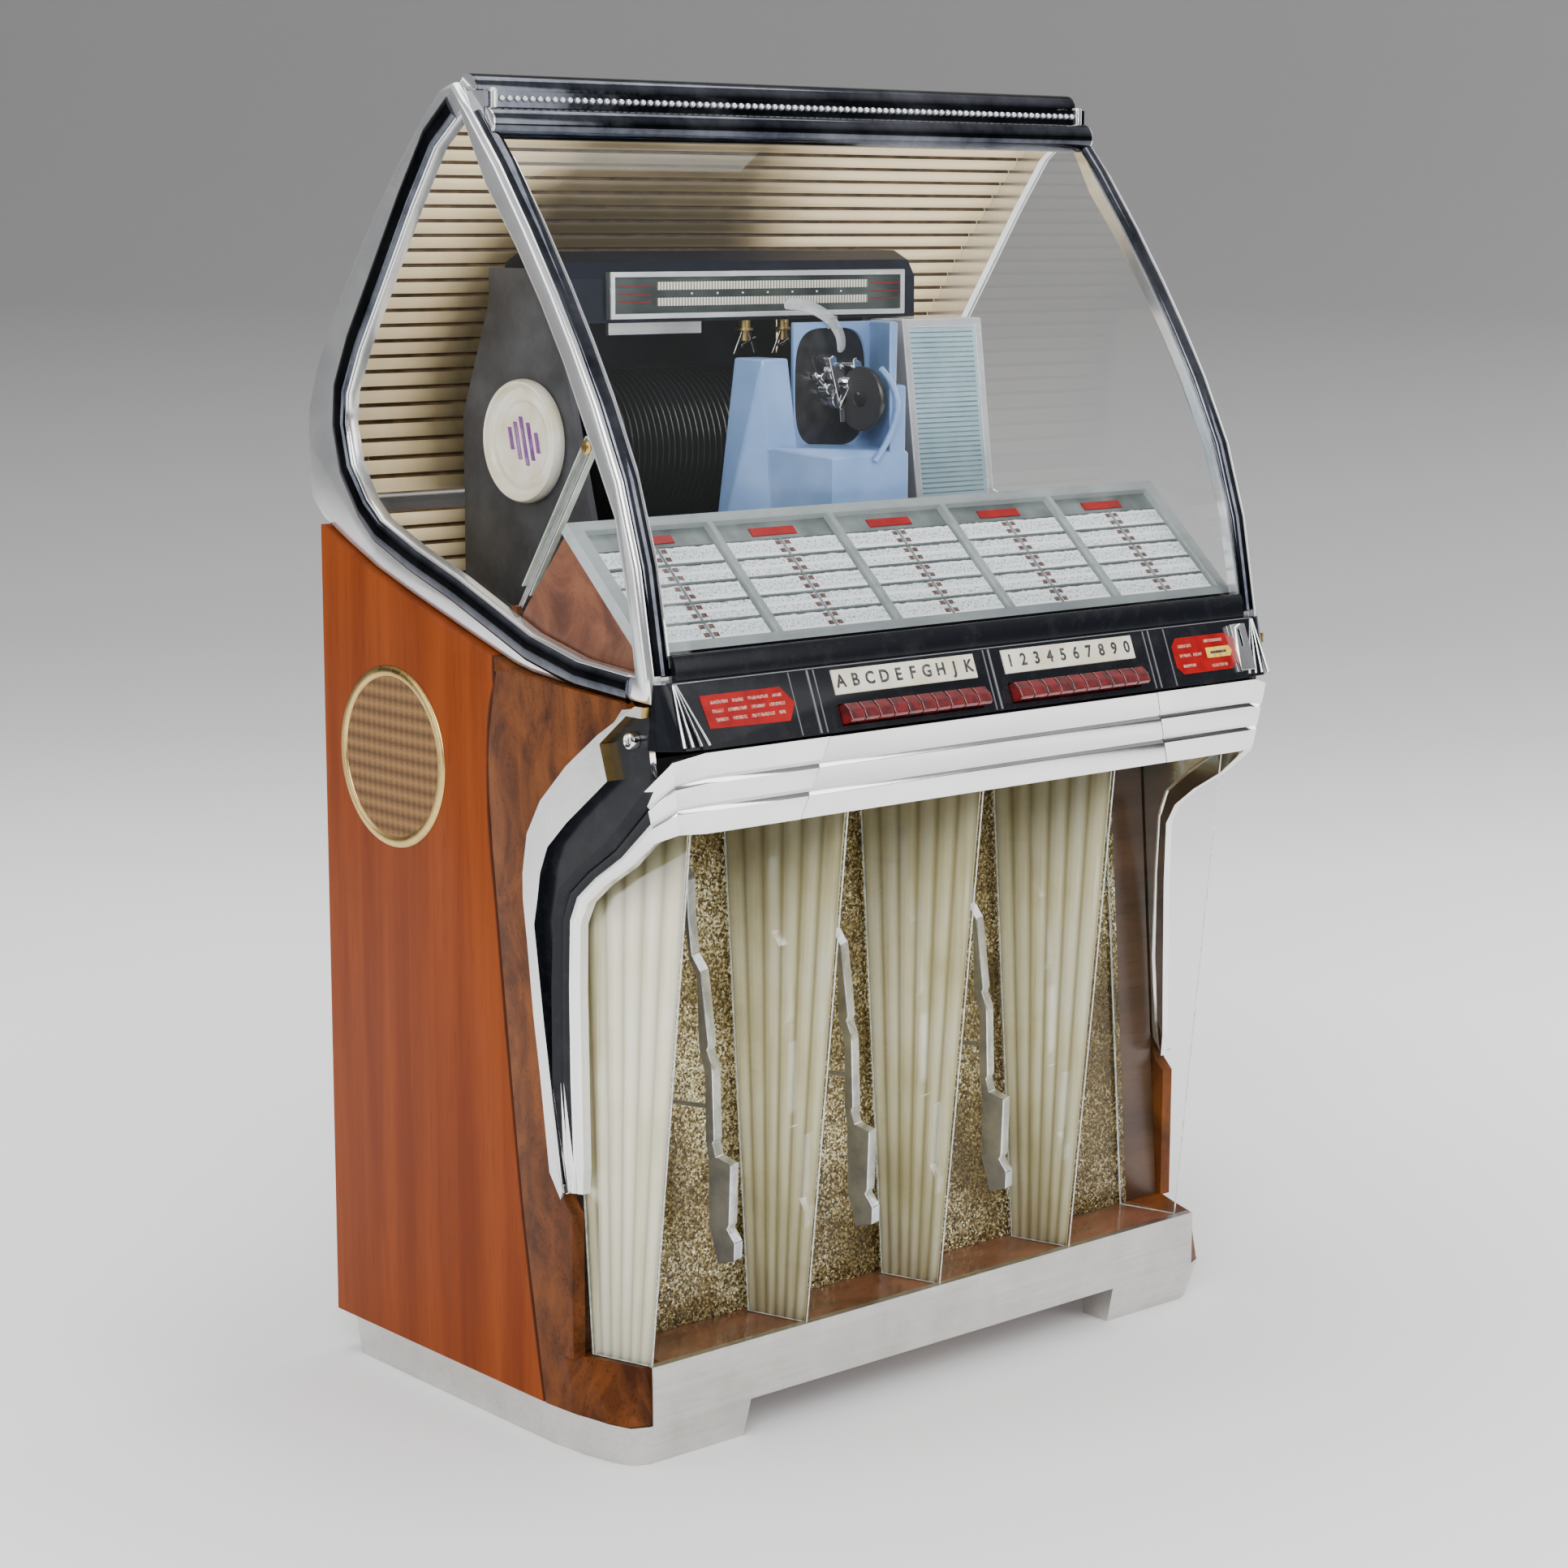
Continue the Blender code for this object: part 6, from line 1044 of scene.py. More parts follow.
UPRIGHT_CORNERS = ((0.034, -0.1058, 1.010), (0.058, -0.1058, 1.010), (0.094, -0.0365, 1.010),
                   (0.064, -0.0365, 1.010), (0.034, -0.1058, 1.095), (0.058, -0.1058, 1.095),
                   (0.094, -0.0365, 1.095), (0.064, -0.0365, 1.095))
CHEEK_CORNERS = ((0.034, -0.1050, 1.090), (0.044, -0.1050, 1.090), (0.098, -0.0365, 1.090),
                 (0.064, -0.0365, 1.090), (0.043, -0.0950, 1.164), (0.055, -0.0950, 1.164),
                 (0.098, -0.0365, 1.164), (0.064, -0.0365, 1.164))
light_blue, tree, shader = finish("powder_blue_lacquer", (0.30, 0.42, 0.62), 0.3, coat_weight=0.3,
                                  coat_roughness=0.12)
spot = object_spot(tree)
cloudy = noise(tree, spot, 20.0, 5.0)
peel = noise(tree, spot, 260.0)
tree.links.new(ramp(tree, cloudy, (0.35, (0.18, 0.32, 0.60)), (0.65, (0.25, 0.40, 0.70))),
               shader.inputs["Base Color"])
relief(tree, shader, peel, 0.0002, 0.2)
# Painted shade: a darker copy of the lacquer for the faces that look left and for the block's wedge face
blue_painted_shade, tree, shader = finish("blue_lacquer_painted_shade", (0.19, 0.27, 0.42), 0.35, coat_weight=0.2,
                                 coat_roughness=0.15)
mottle(tree, shader, (20.0, 5.0), (0.35, (0.11, 0.20, 0.38)), (0.65, (0.16, 0.27, 0.47)))
for name, corners in (("carriage_column", COLUMN_CORNERS), ("carriage_block", BLOCK_CORNERS),
                      ("carriage_upright", UPRIGHT_CORNERS), ("carriage_cheek", CHEEK_CORNERS)):
    bm = bmesh.new()
    verts = [bm.verts.new((x, y + SETBACK, z)) for x, y, z in corners]
    hull = bmesh.ops.convex_hull(bm, input=verts)
    loose = [item for item in hull["geom_interior"] + hull["geom_unused"]
             if isinstance(item, bmesh.types.BMVert)]
    bmesh.ops.delete(bm, geom=list(set(loose)), context="VERTS")
    bmesh.ops.dissolve_limit(bm, angle_limit=math.radians(4.0), verts=bm.verts, edges=bm.edges)
    bmesh.ops.recalc_face_normals(bm, faces=bm.faces)
    form = round_edges(place_mesh(name, bm, light_blue, smooth=40), 0.0028, 4, 25.0)
    # The faces in shade get the painted shade copy
    repaint(form, blue_painted_shade, lambda spot, facing: facing.x < -0.7 and spot.x > 0.0 or
            (-0.5 < facing.x < -0.15 and facing.z < 0.5 and -0.12 < spot.x < -0.05))
    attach(form, "carriage")
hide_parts("carriage")

# The back plate with its rounded opening, a black wall behind it as painted shade inside the opening, and
# the gripper works
PLATE_LEFT, PLATE_RIGHT, PLATE_LOW, PLATE_HIGH = -0.050, 0.092, 1.020, 1.1635
OPENING_X, OPENING_Z, OPENING_HALF, OPENING_RISE, OPENING_SQUARE = 0.0055, 1.0920, 0.0530, 0.0650, 0.55
carriage_face = facing_front(CARRIAGE_BACK_Y)
bm = bmesh.new()
outer = [bm.verts.new((x, z, 0.0)) for x, z in strip(PLATE_LEFT, PLATE_RIGHT, PLATE_LOW, PLATE_HIGH)]
hole = bmesh.ops.create_circle(bm, segments=48, radius=1.0)["verts"]
for vert in hole:
    vert.co.xy = [math.copysign(abs(part) ** OPENING_SQUARE, part) for part in vert.co.xy]
bmesh.ops.scale(bm, verts=hole, vec=(OPENING_HALF, OPENING_RISE, 1.0))
bmesh.ops.translate(bm, verts=hole, vec=(OPENING_X, OPENING_Z, 0.0))
for a, b in zip(outer, outer[1:] + outer[:1]):
    bm.edges.new((a, b))
bmesh.ops.triangle_fill(bm, edges=bm.edges, use_beauty=True, use_dissolve=False)
inside = [f for f in bm.faces if all(v in hole for v in f.verts)]
bmesh.ops.delete(bm, geom=inside, context="FACES")
drawn = bmesh.ops.extrude_face_region(bm, geom=list(bm.faces))
bmesh.ops.translate(bm, vec=(0.0, 0.0, 0.005), verts=verts_of(drawn))
bmesh.ops.recalc_face_normals(bm, faces=bm.faces)
bm.transform(carriage_face)
back_plate = round_edges(place_mesh("carriage_back_plate", bm, light_blue, smooth=40), 0.0010, 2)
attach(back_plate, "carriage")
works_black, tree, shader = finish("oiled_black", (0.01, 0.01, 0.011), 0.3, 0.3, coat_weight=0.3)
mottle(tree, shader, (60.0, 5.0), (0.4, (0.006, 0.006, 0.007)), (0.7, (0.03, 0.03, 0.032)))
# How far the black shade wall reaches past the opening: to the left, to the right, and up and down
SHADE_WALL_PAST = (0.002, 0.004, 0.003)
wall = strip(OPENING_X - OPENING_HALF - SHADE_WALL_PAST[0], OPENING_X + OPENING_HALF + SHADE_WALL_PAST[1],
             OPENING_Z - OPENING_RISE - SHADE_WALL_PAST[2], OPENING_Z + OPENING_RISE + SHADE_WALL_PAST[2])
flat_piece("opening_shade_wall", wall, 0.0012, carriage_face @ Matrix.Translation((0.0, 0.0, -0.0014)),
           works_black, "carriage")
# Gripper works: bright rollers, each as its place, radius and reach, and bright forks, each as
# its place, width, length, lean and reach
works_place = carriage_face @ Matrix.Translation((0.0, 0.0, 0.0002))
ROLLERS = ((0.010, 1.108, 0.0130, 0.010), (0.024, 1.096, 0.0085, 0.018), (-0.004, 1.090, 0.0070, 0.014),
           (0.014, 1.078, 0.0110, 0.008), (0.030, 1.116, 0.0060, 0.022), (0.002, 1.122, 0.0055, 0.012),
           (-0.016, 1.104, 0.0045, 0.016), (0.034, 1.078, 0.0050, 0.012))
FORKS = ((0.004, 1.100, 0.006, 0.052, 0.30, 0.013), (0.020, 1.088, 0.005, 0.046, -0.55, 0.017),
         (0.028, 1.104, 0.005, 0.040, 0.15, 0.021), (-0.010, 1.096, 0.004, 0.036, 0.85, 0.009),
         (0.012, 1.066, 0.007, 0.024, 0.05, 0.015))
bm = bmesh.new()
for x, z, radius, proud in ROLLERS:
    made = bmesh.ops.create_cone(bm, cap_ends=True, segments=28, radius1=radius, radius2=radius * 0.86,
                                 depth=proud)["verts"]
    bmesh.ops.translate(bm, verts=made, vec=(x, z, proud / 2))
bm.transform(works_place)
rollers = round_edges(place_mesh("gripper_rollers", bm, chrome, smooth=40), 0.0009, 3)
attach(rollers, "carriage")
bm = bmesh.new()
for x, z, wide, long, lean, proud in FORKS:
    add_box(bm, (wide, long, 0.0022), (x, z, proud), Matrix.Rotation(lean, 3, "Z"))
bm.transform(works_place)
forks = round_edges(place_mesh("gripper_forks", bm, chrome), 0.0007, 3)
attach(forks, "carriage")
# A clear moulded guide that arches over the opening from the top of the plate
GUIDE_ARCH = ((-0.0700, 1.1835), (-0.0520, 1.1850), (-0.0310, 1.1805), (-0.0140, 1.1740),
              (0.0010, 1.1650), (0.0110, 1.1540), (0.0160, 1.1420), (0.0150, 1.1290))
clouded, tree, shader = finish("clouded_clear_plastic", (0.74, 0.79, 0.80), 0.12, coat_weight=0.6,
                               coat_roughness=0.05)
edge_on = node(tree, "ShaderNodeLayerWeight", {"Blend": 0.35}).outputs["Fresnel"]
tree.links.new(span(tree, edge_on, 0.0, 1.0, 0.30, 0.85), shader.inputs["Alpha"])
mottle(tree, shader, (40.0, 3.0), (0.35, (0.60, 0.66, 0.68)), (0.65, (0.84, 0.87, 0.88)))
bm = bmesh.new()
start = [bm.verts.new((GUIDE_ARCH[0][0] + across * 0.001, GUIDE_ARCH[0][1] + across * 0.0075, 0.010))
         for across in (-1, 1)]
rim = [bm.edges.new(start)]
for (x, z), (next_x, next_z) in zip(GUIDE_ARCH, GUIDE_ARCH[1:]):
    drawn = bmesh.ops.extrude_edge_only(bm, edges=rim)
    moved = verts_of(drawn)
    rim = [item for item in drawn["geom"] if isinstance(item, bmesh.types.BMEdge)
           and all(v in moved for v in item.verts)]
    bmesh.ops.translate(bm, verts=moved, vec=(next_x - x, next_z - z, 0.0))
    bmesh.ops.rotate(bm, verts=moved, cent=(next_x, next_z, 0.0), matrix=Matrix.Rotation(-0.17, 3, "Z"))
bmesh.ops.recalc_face_normals(bm, faces=bm.faces)
bm.transform(carriage_face)
arch = place_mesh("guide_arch", bm, clouded, smooth=60)
wall_mod = arch.modifiers.new("wall", "SOLIDIFY")
wall_mod.thickness = 0.003
wall_mod.offset = 0.0
soft = arch.modifiers.new("round", "SUBSURF")
soft.levels = soft.render_levels = 2
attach(arch, "carriage")
flat_piece("guide_clip", strip(-0.004, 0.010, 1.1560, 1.1700), 0.0085,
           carriage_face @ Matrix.Translation((0.0, 0.0, 0.001)), chrome, "carriage", 0.0012)
# One dark oval-head screw low on the column
screw_turn = Vector((-0.942, -0.335, 0.06)).to_track_quat("Z", "Y").to_matrix().to_4x4()
screw_place = Matrix.Translation((-0.1368, -0.0573 + SETBACK, 1.0160)) @ screw_turn
turned_piece("column_screw",
             [(0.0, 0.0018), (0.0024, 0.0014), (0.0040, 0.0), (0.0040, -0.002), (0.0, -0.002)], 24,
             [screw_place], works_black, "carriage")

# Turntable and tonearm: a dark steel disc with a rubber face that drives a record at the
# carriage's opening, and a powder blue arm on a pin.
TURN_X, TURN_Y, TURN_Z = 0.0269, -0.071 + SETBACK, 1.0794
RUBBER_FROM, RUBBER_TO = 0.0092, 0.0335
turn_place = facing_left(TURN_X, TURN_Y, TURN_Z)
rubber, tree, shader = finish("ribbed_rubber", (0.02, 0.02, 0.02), 0.6)
away = radius_from(tree, (0.0, TURN_Y, TURN_Z))
rings = calc(tree, "PINGPONG", away, 0.0015)
shade = calc(tree, "MULTIPLY", rings, 500.0)
tree.links.new(ramp(tree, shade, (0.2, (0.010, 0.010, 0.011)), (0.8, (0.035, 0.035, 0.036))),
               shader.inputs["Base Color"])
platter = turned_piece("turntable_dressed",
                       [(0.0, 0.0100), (0.0050, 0.0100), (0.0080, 0.0092), (0.0090, 0.0050),
                        (0.0300, 0.0052), (0.0340, 0.0060), (0.0355, 0.0048), (0.0360, 0.0020),
                        (0.0355, 0.0), (0.0, 0.0)], 64, [turn_place], works_black, "turntable",
                       30.0)
repaint(platter, rubber, lambda spot, facing: facing.x < -0.8
        and RUBBER_FROM < math.hypot(spot.y - TURN_Y, spot.z - TURN_Z) < RUBBER_TO)
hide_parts("turntable")
eased_copy("tonearm", light_blue, 0.0008)

# End cover: a leaning plated frame round a teal panel with fine raised lines.
COVER_LEFT, COVER_RIGHT, COVER_LEAN, COVER_LOW, COVER_HIGH = 0.122, 0.245, 0.045, 0.801, 1.164
COVER_FRONT, COVER_RECESS, COVER_RIM = -0.0297 + SETBACK, 0.003, 0.010
COVER_LINES, COVER_MARGIN = 60, 0.003
teal, tree, shader = finish("teal_lacquer", (0.30, 0.42, 0.43), 0.4)
mottle(tree, shader, (12.0, 6.0, 0.7), (0.35, (0.30, 0.48, 0.56)), (0.62, (0.44, 0.62, 0.69)),
       (0.75, (0.68, 0.76, 0.80)))
cover = eased_copy("mechanism_end_cover", bright_trim, 0.0014)
repaint(cover, teal, lambda spot, facing: abs(facing.y) > 0.9
        and COVER_FRONT + 0.001 < spot.y < COVER_FRONT + 0.01)
bm = bmesh.new()
line_pitch = (COVER_HIGH - COVER_LOW - 2 * COVER_RIM) / COVER_LINES
for index in range(1, COVER_LINES):
    z = COVER_LOW + COVER_RIM + index * line_pitch
    shift = COVER_LEAN * (COVER_HIGH - z) / (COVER_HIGH - COVER_LOW)
    left = COVER_LEFT + COVER_RIM + COVER_MARGIN + shift
    right = COVER_RIGHT - COVER_RIM - COVER_MARGIN + shift
    add_box(bm, (right - left, 0.0010, 0.0016),
            ((left + right) / 2, COVER_FRONT + COVER_RECESS - 0.0002, z))
teal_dark, tree, shader = finish("teal_lines", (0.14, 0.22, 0.23), 0.4)
mottle(tree, shader, (30.0, 4.0), (0.35, (0.10, 0.17, 0.18)), (0.68, (0.22, 0.31, 0.32)))
cover_lines = place_mesh("cover_lines", bm, teal_dark)
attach(cover_lines, "cabinet")

# Lid frame: two plated hoops of pressed steel with a rail below and two round bars across the
# top, chrome mouldings painted dark with a painted reflection on the front legs and round the side windows,
# and a strip of beads.
LID_LOW, LID_RISE, LID_REACH = 0.806, 0.614, 0.321
LID_FACE = 0.4465
# The front and rear legs in side view, as shares of the reach and of the lid's height
FRONT_LEG_SHARES = ((-0.888, 0.000), (-0.888, 0.046), (-0.863, 0.116), (-0.826, 0.217), (-0.741, 0.352),
                    (-0.626, 0.472), (-0.523, 0.562), (-0.417, 0.647), (-0.283, 0.746), (-0.128, 0.852),
                    (0.012, 0.936))
REAR_LEG_SHARES = ((0.175, 0.978), (0.271, 0.935), (0.439, 0.847), (0.623, 0.736), (0.813, 0.604),
                   (0.931, 0.508), (0.994, 0.425), (1.000, 0.360), (0.981, 0.265))
# The rear and lower edge of the side window, from the top round to the front corner
WINDOW_LINE_SHARES = ((0.080, 0.925), (0.199, 0.879), (0.340, 0.780), (0.505, 0.653), (0.657, 0.537),
                      (0.735, 0.459), (0.745, 0.406), (0.713, 0.337), (0.626, 0.277), (0.548, 0.244),
                      (0.343, 0.202), (0.112, 0.163), (-0.112, 0.119), (-0.283, 0.085), (-0.533, 0.055),
                      (-0.790, 0.045))
EDGE_STEPS, EDGE_ROUND = 4, 0.006
MOULDING_HALF, MOULDING_PROUD, MOULDING_X = 0.0100, 0.0045, 0.4305
SIDE_MOULDING_HALF, SIDE_MOULDING_PROUD, SIDE_MOULDING_OUT = 0.0135, 0.0046, 0.0155


def lid_line(shares):
    """Places in side view from shares of the lid's reach and height."""
    return [Vector((y * LID_REACH + SETBACK, LID_LOW + z * LID_RISE)) for y, z in shares]


def moved_in(line, distance):
    """An open line in side view moved towards the inside of the lid."""
    made = []
    for index, point in enumerate(line):
        ahead = line[min(index + 1, len(line) - 1)] - line[max(index - 1, 0)]
        made.append(point + Vector((ahead.y, -ahead.x)).normalized() * distance)
    return made


def swept_bar(name, line, x, half_out, half_side, turn, material, body, segments=20):
    """An oval bar along a line in side view; turn 0 lays its flat side to the front, 1 to the side."""
    bm = bmesh.new()
    rings = []
    for index, point in enumerate(line):
        ahead = (line[min(index + 1, len(line) - 1)] - line[max(index - 1, 0)]).normalized()
        out_way = Vector((0.0, -ahead.y, ahead.x))
        along = Vector((0.0, ahead.x, ahead.y))
        sideways = Vector((1.0, 0.0, 0.0))
        place = Matrix((out_way * (half_side if turn else half_out),
                        sideways * (half_out if turn else half_side), along)).transposed().to_4x4()
        place.translation = (x, point.x, point.y)
        made = bmesh.ops.create_circle(bm, segments=segments, radius=1.0,
                                       cap_ends=index in (0, len(line) - 1), matrix=place)["verts"]
        rings.append([e for e in bm.edges if e.verts[0] in made and e.verts[1] in made])
    for first, second in zip(rings, rings[1:]):
        bmesh.ops.bridge_loops(bm, edges=first + second)
    bmesh.ops.recalc_face_normals(bm, faces=bm.faces)
    piece = place_mesh(name, bm, material, smooth=50)
    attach(piece, body)
    return piece


# Painted reflection: chrome darkened as if it mirrored dark surroundings
chrome_dark_reflection, tree, shader = finish("chrome_painted_dark_reflection", (0.12, 0.13, 0.16), 0.08, 1.0)
haze = mottle(tree, shader, (9.0, 6.0, 0.7), (0.35, (0.025, 0.028, 0.040)), (0.70, (0.15, 0.16, 0.185)))
tree.links.new(span(tree, haze, 0.4, 0.8, 0.05, 0.20), shader.inputs["Roughness"])
bm = merged_copy("canopy_frame")
for side in (-1, 1):
    region = [f for f in bm.faces if f.normal.x * side > 0.99
              and abs(f.calc_center_median().x * side - LID_FACE) < 0.0003]
    corners = {v for f in region for v in f.verts}
    bmesh.ops.translate(bm, verts=list(corners), vec=(-side * EDGE_ROUND, 0.0, 0.0))
    for step in range(EDGE_STEPS):
        low, high = math.radians(90.0 * step / EDGE_STEPS), math.radians(90.0 * (step + 1) / EDGE_STEPS)
        bmesh.ops.inset_region(bm, faces=region, thickness=EDGE_ROUND * (math.cos(low) - math.cos(high)),
                               use_even_offset=True, use_boundary=True)
        corners = {v for f in region for v in f.verts}
        bmesh.ops.translate(bm, verts=list(corners),
                            vec=(side * EDGE_ROUND * (math.sin(high) - math.sin(low)), 0.0, 0.0))
hoop_plating, tree, shader = finish("hoop_plating", (0.85, 0.86, 0.87), 0.16, 0.8)
mottle(tree, shader, (11.0, 5.0, 0.6), (0.35, (0.74, 0.75, 0.77)), (0.68, (0.95, 0.95, 0.96)))
hoops = place_mesh("canopy_dressed", bm, hoop_plating, smooth=35)
# The strip between the two bars, where the beads sit, gets the painted dark reflection too
STRIP_LOW, STRIP_HALF, STRIP_FRONT, STRIP_REAR = 1.372, 0.425, -0.014, 0.022
repaint(hoops, chrome_dark_reflection, lambda spot, facing: spot.z > STRIP_LOW and abs(spot.x) < STRIP_HALF
        and STRIP_FRONT < spot.y - SETBACK < STRIP_REAR)
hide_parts("canopy_frame")
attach(hoops, "lid")
front_leg, rear_leg, window_line = (lid_line(shares) for shares in (
    FRONT_LEG_SHARES, REAR_LEG_SHARES, WINDOW_LINE_SHARES))
for side, word in ((-1, "left"), (1, "right")):
    swept_bar(f"front_moulding_{word}", moved_in(front_leg, 0.001)[1:], side * MOULDING_X,
              MOULDING_PROUD + 0.001, MOULDING_HALF, 0, chrome_dark_reflection, "lid")
    swept_bar(f"side_moulding_{word}", moved_in(window_line, -SIDE_MOULDING_OUT),
              side * (LID_FACE - 0.0005), SIDE_MOULDING_PROUD, SIDE_MOULDING_HALF, 1, chrome_dark_reflection, "lid",
              24)
    swept_bar(f"side_bead_{word}", moved_in(window_line, -0.0012), side * (LID_FACE - 0.0004), 0.0018,
              0.0014, 1, chrome, "lid", 10)
BAR_RADIUS, BAR_HALF = 0.0163, 0.4318
# Each bar across the top: name and place in side view
BARS = (("top_bar_high", (0.0240, 1.4036)), ("top_bar_low", (-0.0060, 1.3700)))
along_x = Matrix.Rotation(math.pi / 2, 4, "Y")
# The bars are chrome with the painted dark reflection
for name, (y, z) in BARS:
    turned_piece(name, [(0.0, -BAR_HALF), (BAR_RADIUS, -BAR_HALF), (BAR_RADIUS, BAR_HALF),
                        (0.0, BAR_HALF)], 48, [Matrix.Translation((0.0, y + SETBACK, z)) @ along_x],
                 chrome_dark_reflection, "lid", 40.0)
BEAD_RADIUS, BEAD_PITCH, BEADS = 0.0034, 0.0096, 87
bm = bmesh.new()
for index in range(BEADS):
    made = bmesh.ops.create_icosphere(bm, subdivisions=2, radius=BEAD_RADIUS)["verts"]
    bmesh.ops.translate(bm, verts=made,
                        vec=((index - (BEADS - 1) / 2) * BEAD_PITCH, -0.0066 + SETBACK, 1.3945))
beads = place_mesh("top_beads", bm, hoop_plating, smooth=60)
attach(beads, "lid")
bm = bmesh.new()
for side in (-1, 1):
    add_box(bm, (0.010, 0.012, 0.026), (side * 0.4235, -0.0040 + SETBACK, 1.3925))
clips = round_edges(place_mesh("bar_clips", bm, satin), 0.0040, 3)
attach(clips, "lid")
# The rail under the glass: a half-round moulding, chrome painted black as a painted reflection, over a thin
# bright line
RAIL_FRONT, RAIL_MIDDLE, RAIL_RISE, RAIL_OUT, RAIL_HALF = -0.2835 + SETBACK, 0.8315, 0.0220, 0.0075, 0.4175
bm = bmesh.new()
made = bmesh.ops.create_circle(bm, segments=36, radius=1.0, cap_ends=True)["verts"]
bmesh.ops.scale(bm, verts=made, vec=(RAIL_RISE, RAIL_OUT, 1.0))
drawn = bmesh.ops.extrude_face_region(bm, geom=list(bm.faces))
bmesh.ops.translate(bm, vec=(0.0, 0.0, 2 * RAIL_HALF), verts=verts_of(drawn))
bmesh.ops.recalc_face_normals(bm, faces=bm.faces)
bm.transform(Matrix.Translation((-RAIL_HALF, RAIL_FRONT + 0.001, RAIL_MIDDLE)) @ along_x)
rail = place_mesh("glass_rail_moulding", bm, gloss_black, smooth=40)
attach(rail, "lid")
flat_piece("glass_rail_line", strip(-RAIL_HALF, RAIL_HALF, 0.8065, 0.8090), 0.0035,
           facing_front(RAIL_FRONT + 0.001),
           chrome, "lid", 0.0006)

# Glass of the lid: bent plate glass at the front and a flat pane in each hoop, on rubber strips.
for name in ("side_glass_left", "side_glass_right", "front_glass"):
    eased_copy(name, clear, 0.0, sharp=20.0)

# Reflector: a rolled sheet of gold-lacquered aluminium in deep round ribs under the painted
# steel hood that closes the lid behind.
RIBS, RIB_STEPS, RIB_DEEP, GROOVE_HALF = 26, 8, 0.0062, 0.0022
SHEET_IN, SHEET_THICK, SHEET_HALF = 0.0105, 0.0010, 0.4312
reflector_painted_light, tree, shader = finish("gold_sheet_painted_shade_and_glow", (0.75, 0.58, 0.34), 0.35, 0.15,
                                      coat_weight=0.2, coat_roughness=0.15)
# Painted shade darkens the sheet towards its lower part and left of its middle, short of the left end, in
# streaks
spot = object_spot(tree)
parts = node(tree, "ShaderNodeSeparateXYZ", {"Vector": spot})
long = node(tree, "ShaderNodeMapping", {"Vector": spot, "Scale": (0.35, 1.0, 1.0)}).outputs[0]
streaks = noise(tree, long, 16.0, 5.0)
leftward = span(tree, parts.outputs["X"], 0.16, 0.02)
lower = span(tree, parts.outputs["Z"], 1.40, 1.20, 0.35)
reflector_shade = calc(tree, "MULTIPLY", leftward, lower)
reflector_shade = calc(tree, "MULTIPLY_ADD", streaks, 0.5, reflector_shade)
rightward = span(tree, parts.outputs["X"], -0.36, -0.22, 0.25)
reflector_shade = calc(tree, "MULTIPLY", reflector_shade, rightward)
gold = ramp(tree, reflector_shade, (0.25, (1.0, 0.82, 0.50)), (0.50, (0.72, 0.57, 0.33)),
            (0.80, (0.21, 0.165, 0.090)), (1.0, (0.095, 0.074, 0.038)))
tree.links.new(gold, shader.inputs["Base Color"])
# The same colour glows through the emission: a painted glow
tree.links.new(gold, shader.inputs["Emission Color"])
shader.inputs["Emission Strength"].default_value = 0.42
# Painted shadow in the grooves between the ribs
groove_painted_shadow, tree, shader = finish("groove_shadow", (0.10, 0.06, 0.025), 0.5)
mottle(tree, shader, (40.0, 4.0), (0.35, (0.07, 0.040, 0.015)), (0.65, (0.17, 0.105, 0.045)))
hood_path = [Vector((0.0402 + SETBACK, LID_LOW + 0.978 * LID_RISE))] + rear_leg


def along_path(line, distance):
    """The place at a distance along a line."""
    for first, second in zip(line, line[1:]):
        long = (second - first).length
        if distance <= long:
            return first.lerp(second, distance / long)
        distance -= long
    return line[-1].copy()


def rib_rise(step):
    """How far a rib stands up at a step, as a share."""
    return math.sin(math.pi * (step % RIB_STEPS) / RIB_STEPS) ** 0.6 if step % RIB_STEPS else 0.0


base_line = moved_in(hood_path, SHEET_IN)
whole = sum((b - a).length for a, b in zip(base_line, base_line[1:]))
count = RIBS * RIB_STEPS
fine_line = [along_path(base_line, whole * step / count) for step in range(count + 1)]
inner_line = moved_in(fine_line, 1.0)
waves, grooves = [], []
for step, (point, inner_point) in enumerate(zip(fine_line, inner_line)):
    waves.append(point + (inner_point - point).normalized() * RIB_DEEP * rib_rise(step))
    if not step % RIB_STEPS:
        grooves.append(waves[-1])
back_line = moved_in(fine_line, -SHEET_THICK)
outline = [(-SHEET_HALF, p.x, p.y) for p in waves + back_line[::-1]]
reflector = place_mesh("reflector_dressed", prism(outline, (2 * SHEET_HALF, 0.0, 0.0)), reflector_painted_light,
                       smooth=55)
repaint(reflector, groove_painted_shadow, lambda spot, facing: abs(facing.x) < 0.5
        and min(math.dist((spot.y, spot.z), place) for place in grooves) < GROOVE_HALF)
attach(reflector, "lid")
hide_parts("reflector")
# The same sheet lines the back of the cabinet below the lid
LINING_Y, LINING_LOW, LINING_HIGH, LINING_RIBS, LINING_THICK = 0.2500, 0.8460, 0.9570, 6, 0.0009
lining_step = (LINING_HIGH - LINING_LOW) / (LINING_RIBS * RIB_STEPS)
rib_pitch = RIB_STEPS * lining_step
outline = [(-SHEET_HALF, LINING_Y - RIB_DEEP * rib_rise(step), LINING_LOW + lining_step * step)
           for step in range(LINING_RIBS * RIB_STEPS + 1)]
outline += [(-SHEET_HALF, LINING_Y + LINING_THICK, z) for z in (LINING_HIGH, LINING_LOW)]
lining = place_mesh("rear_lining", prism(outline, (2 * SHEET_HALF, 0.0, 0.0)), reflector_painted_light, smooth=55)
repaint(lining, groove_painted_shadow, lambda spot, facing: abs(facing.x) < 0.5
        and min((spot.z - LINING_LOW) % rib_pitch, (LINING_LOW - spot.z) % rib_pitch) < GROOVE_HALF)
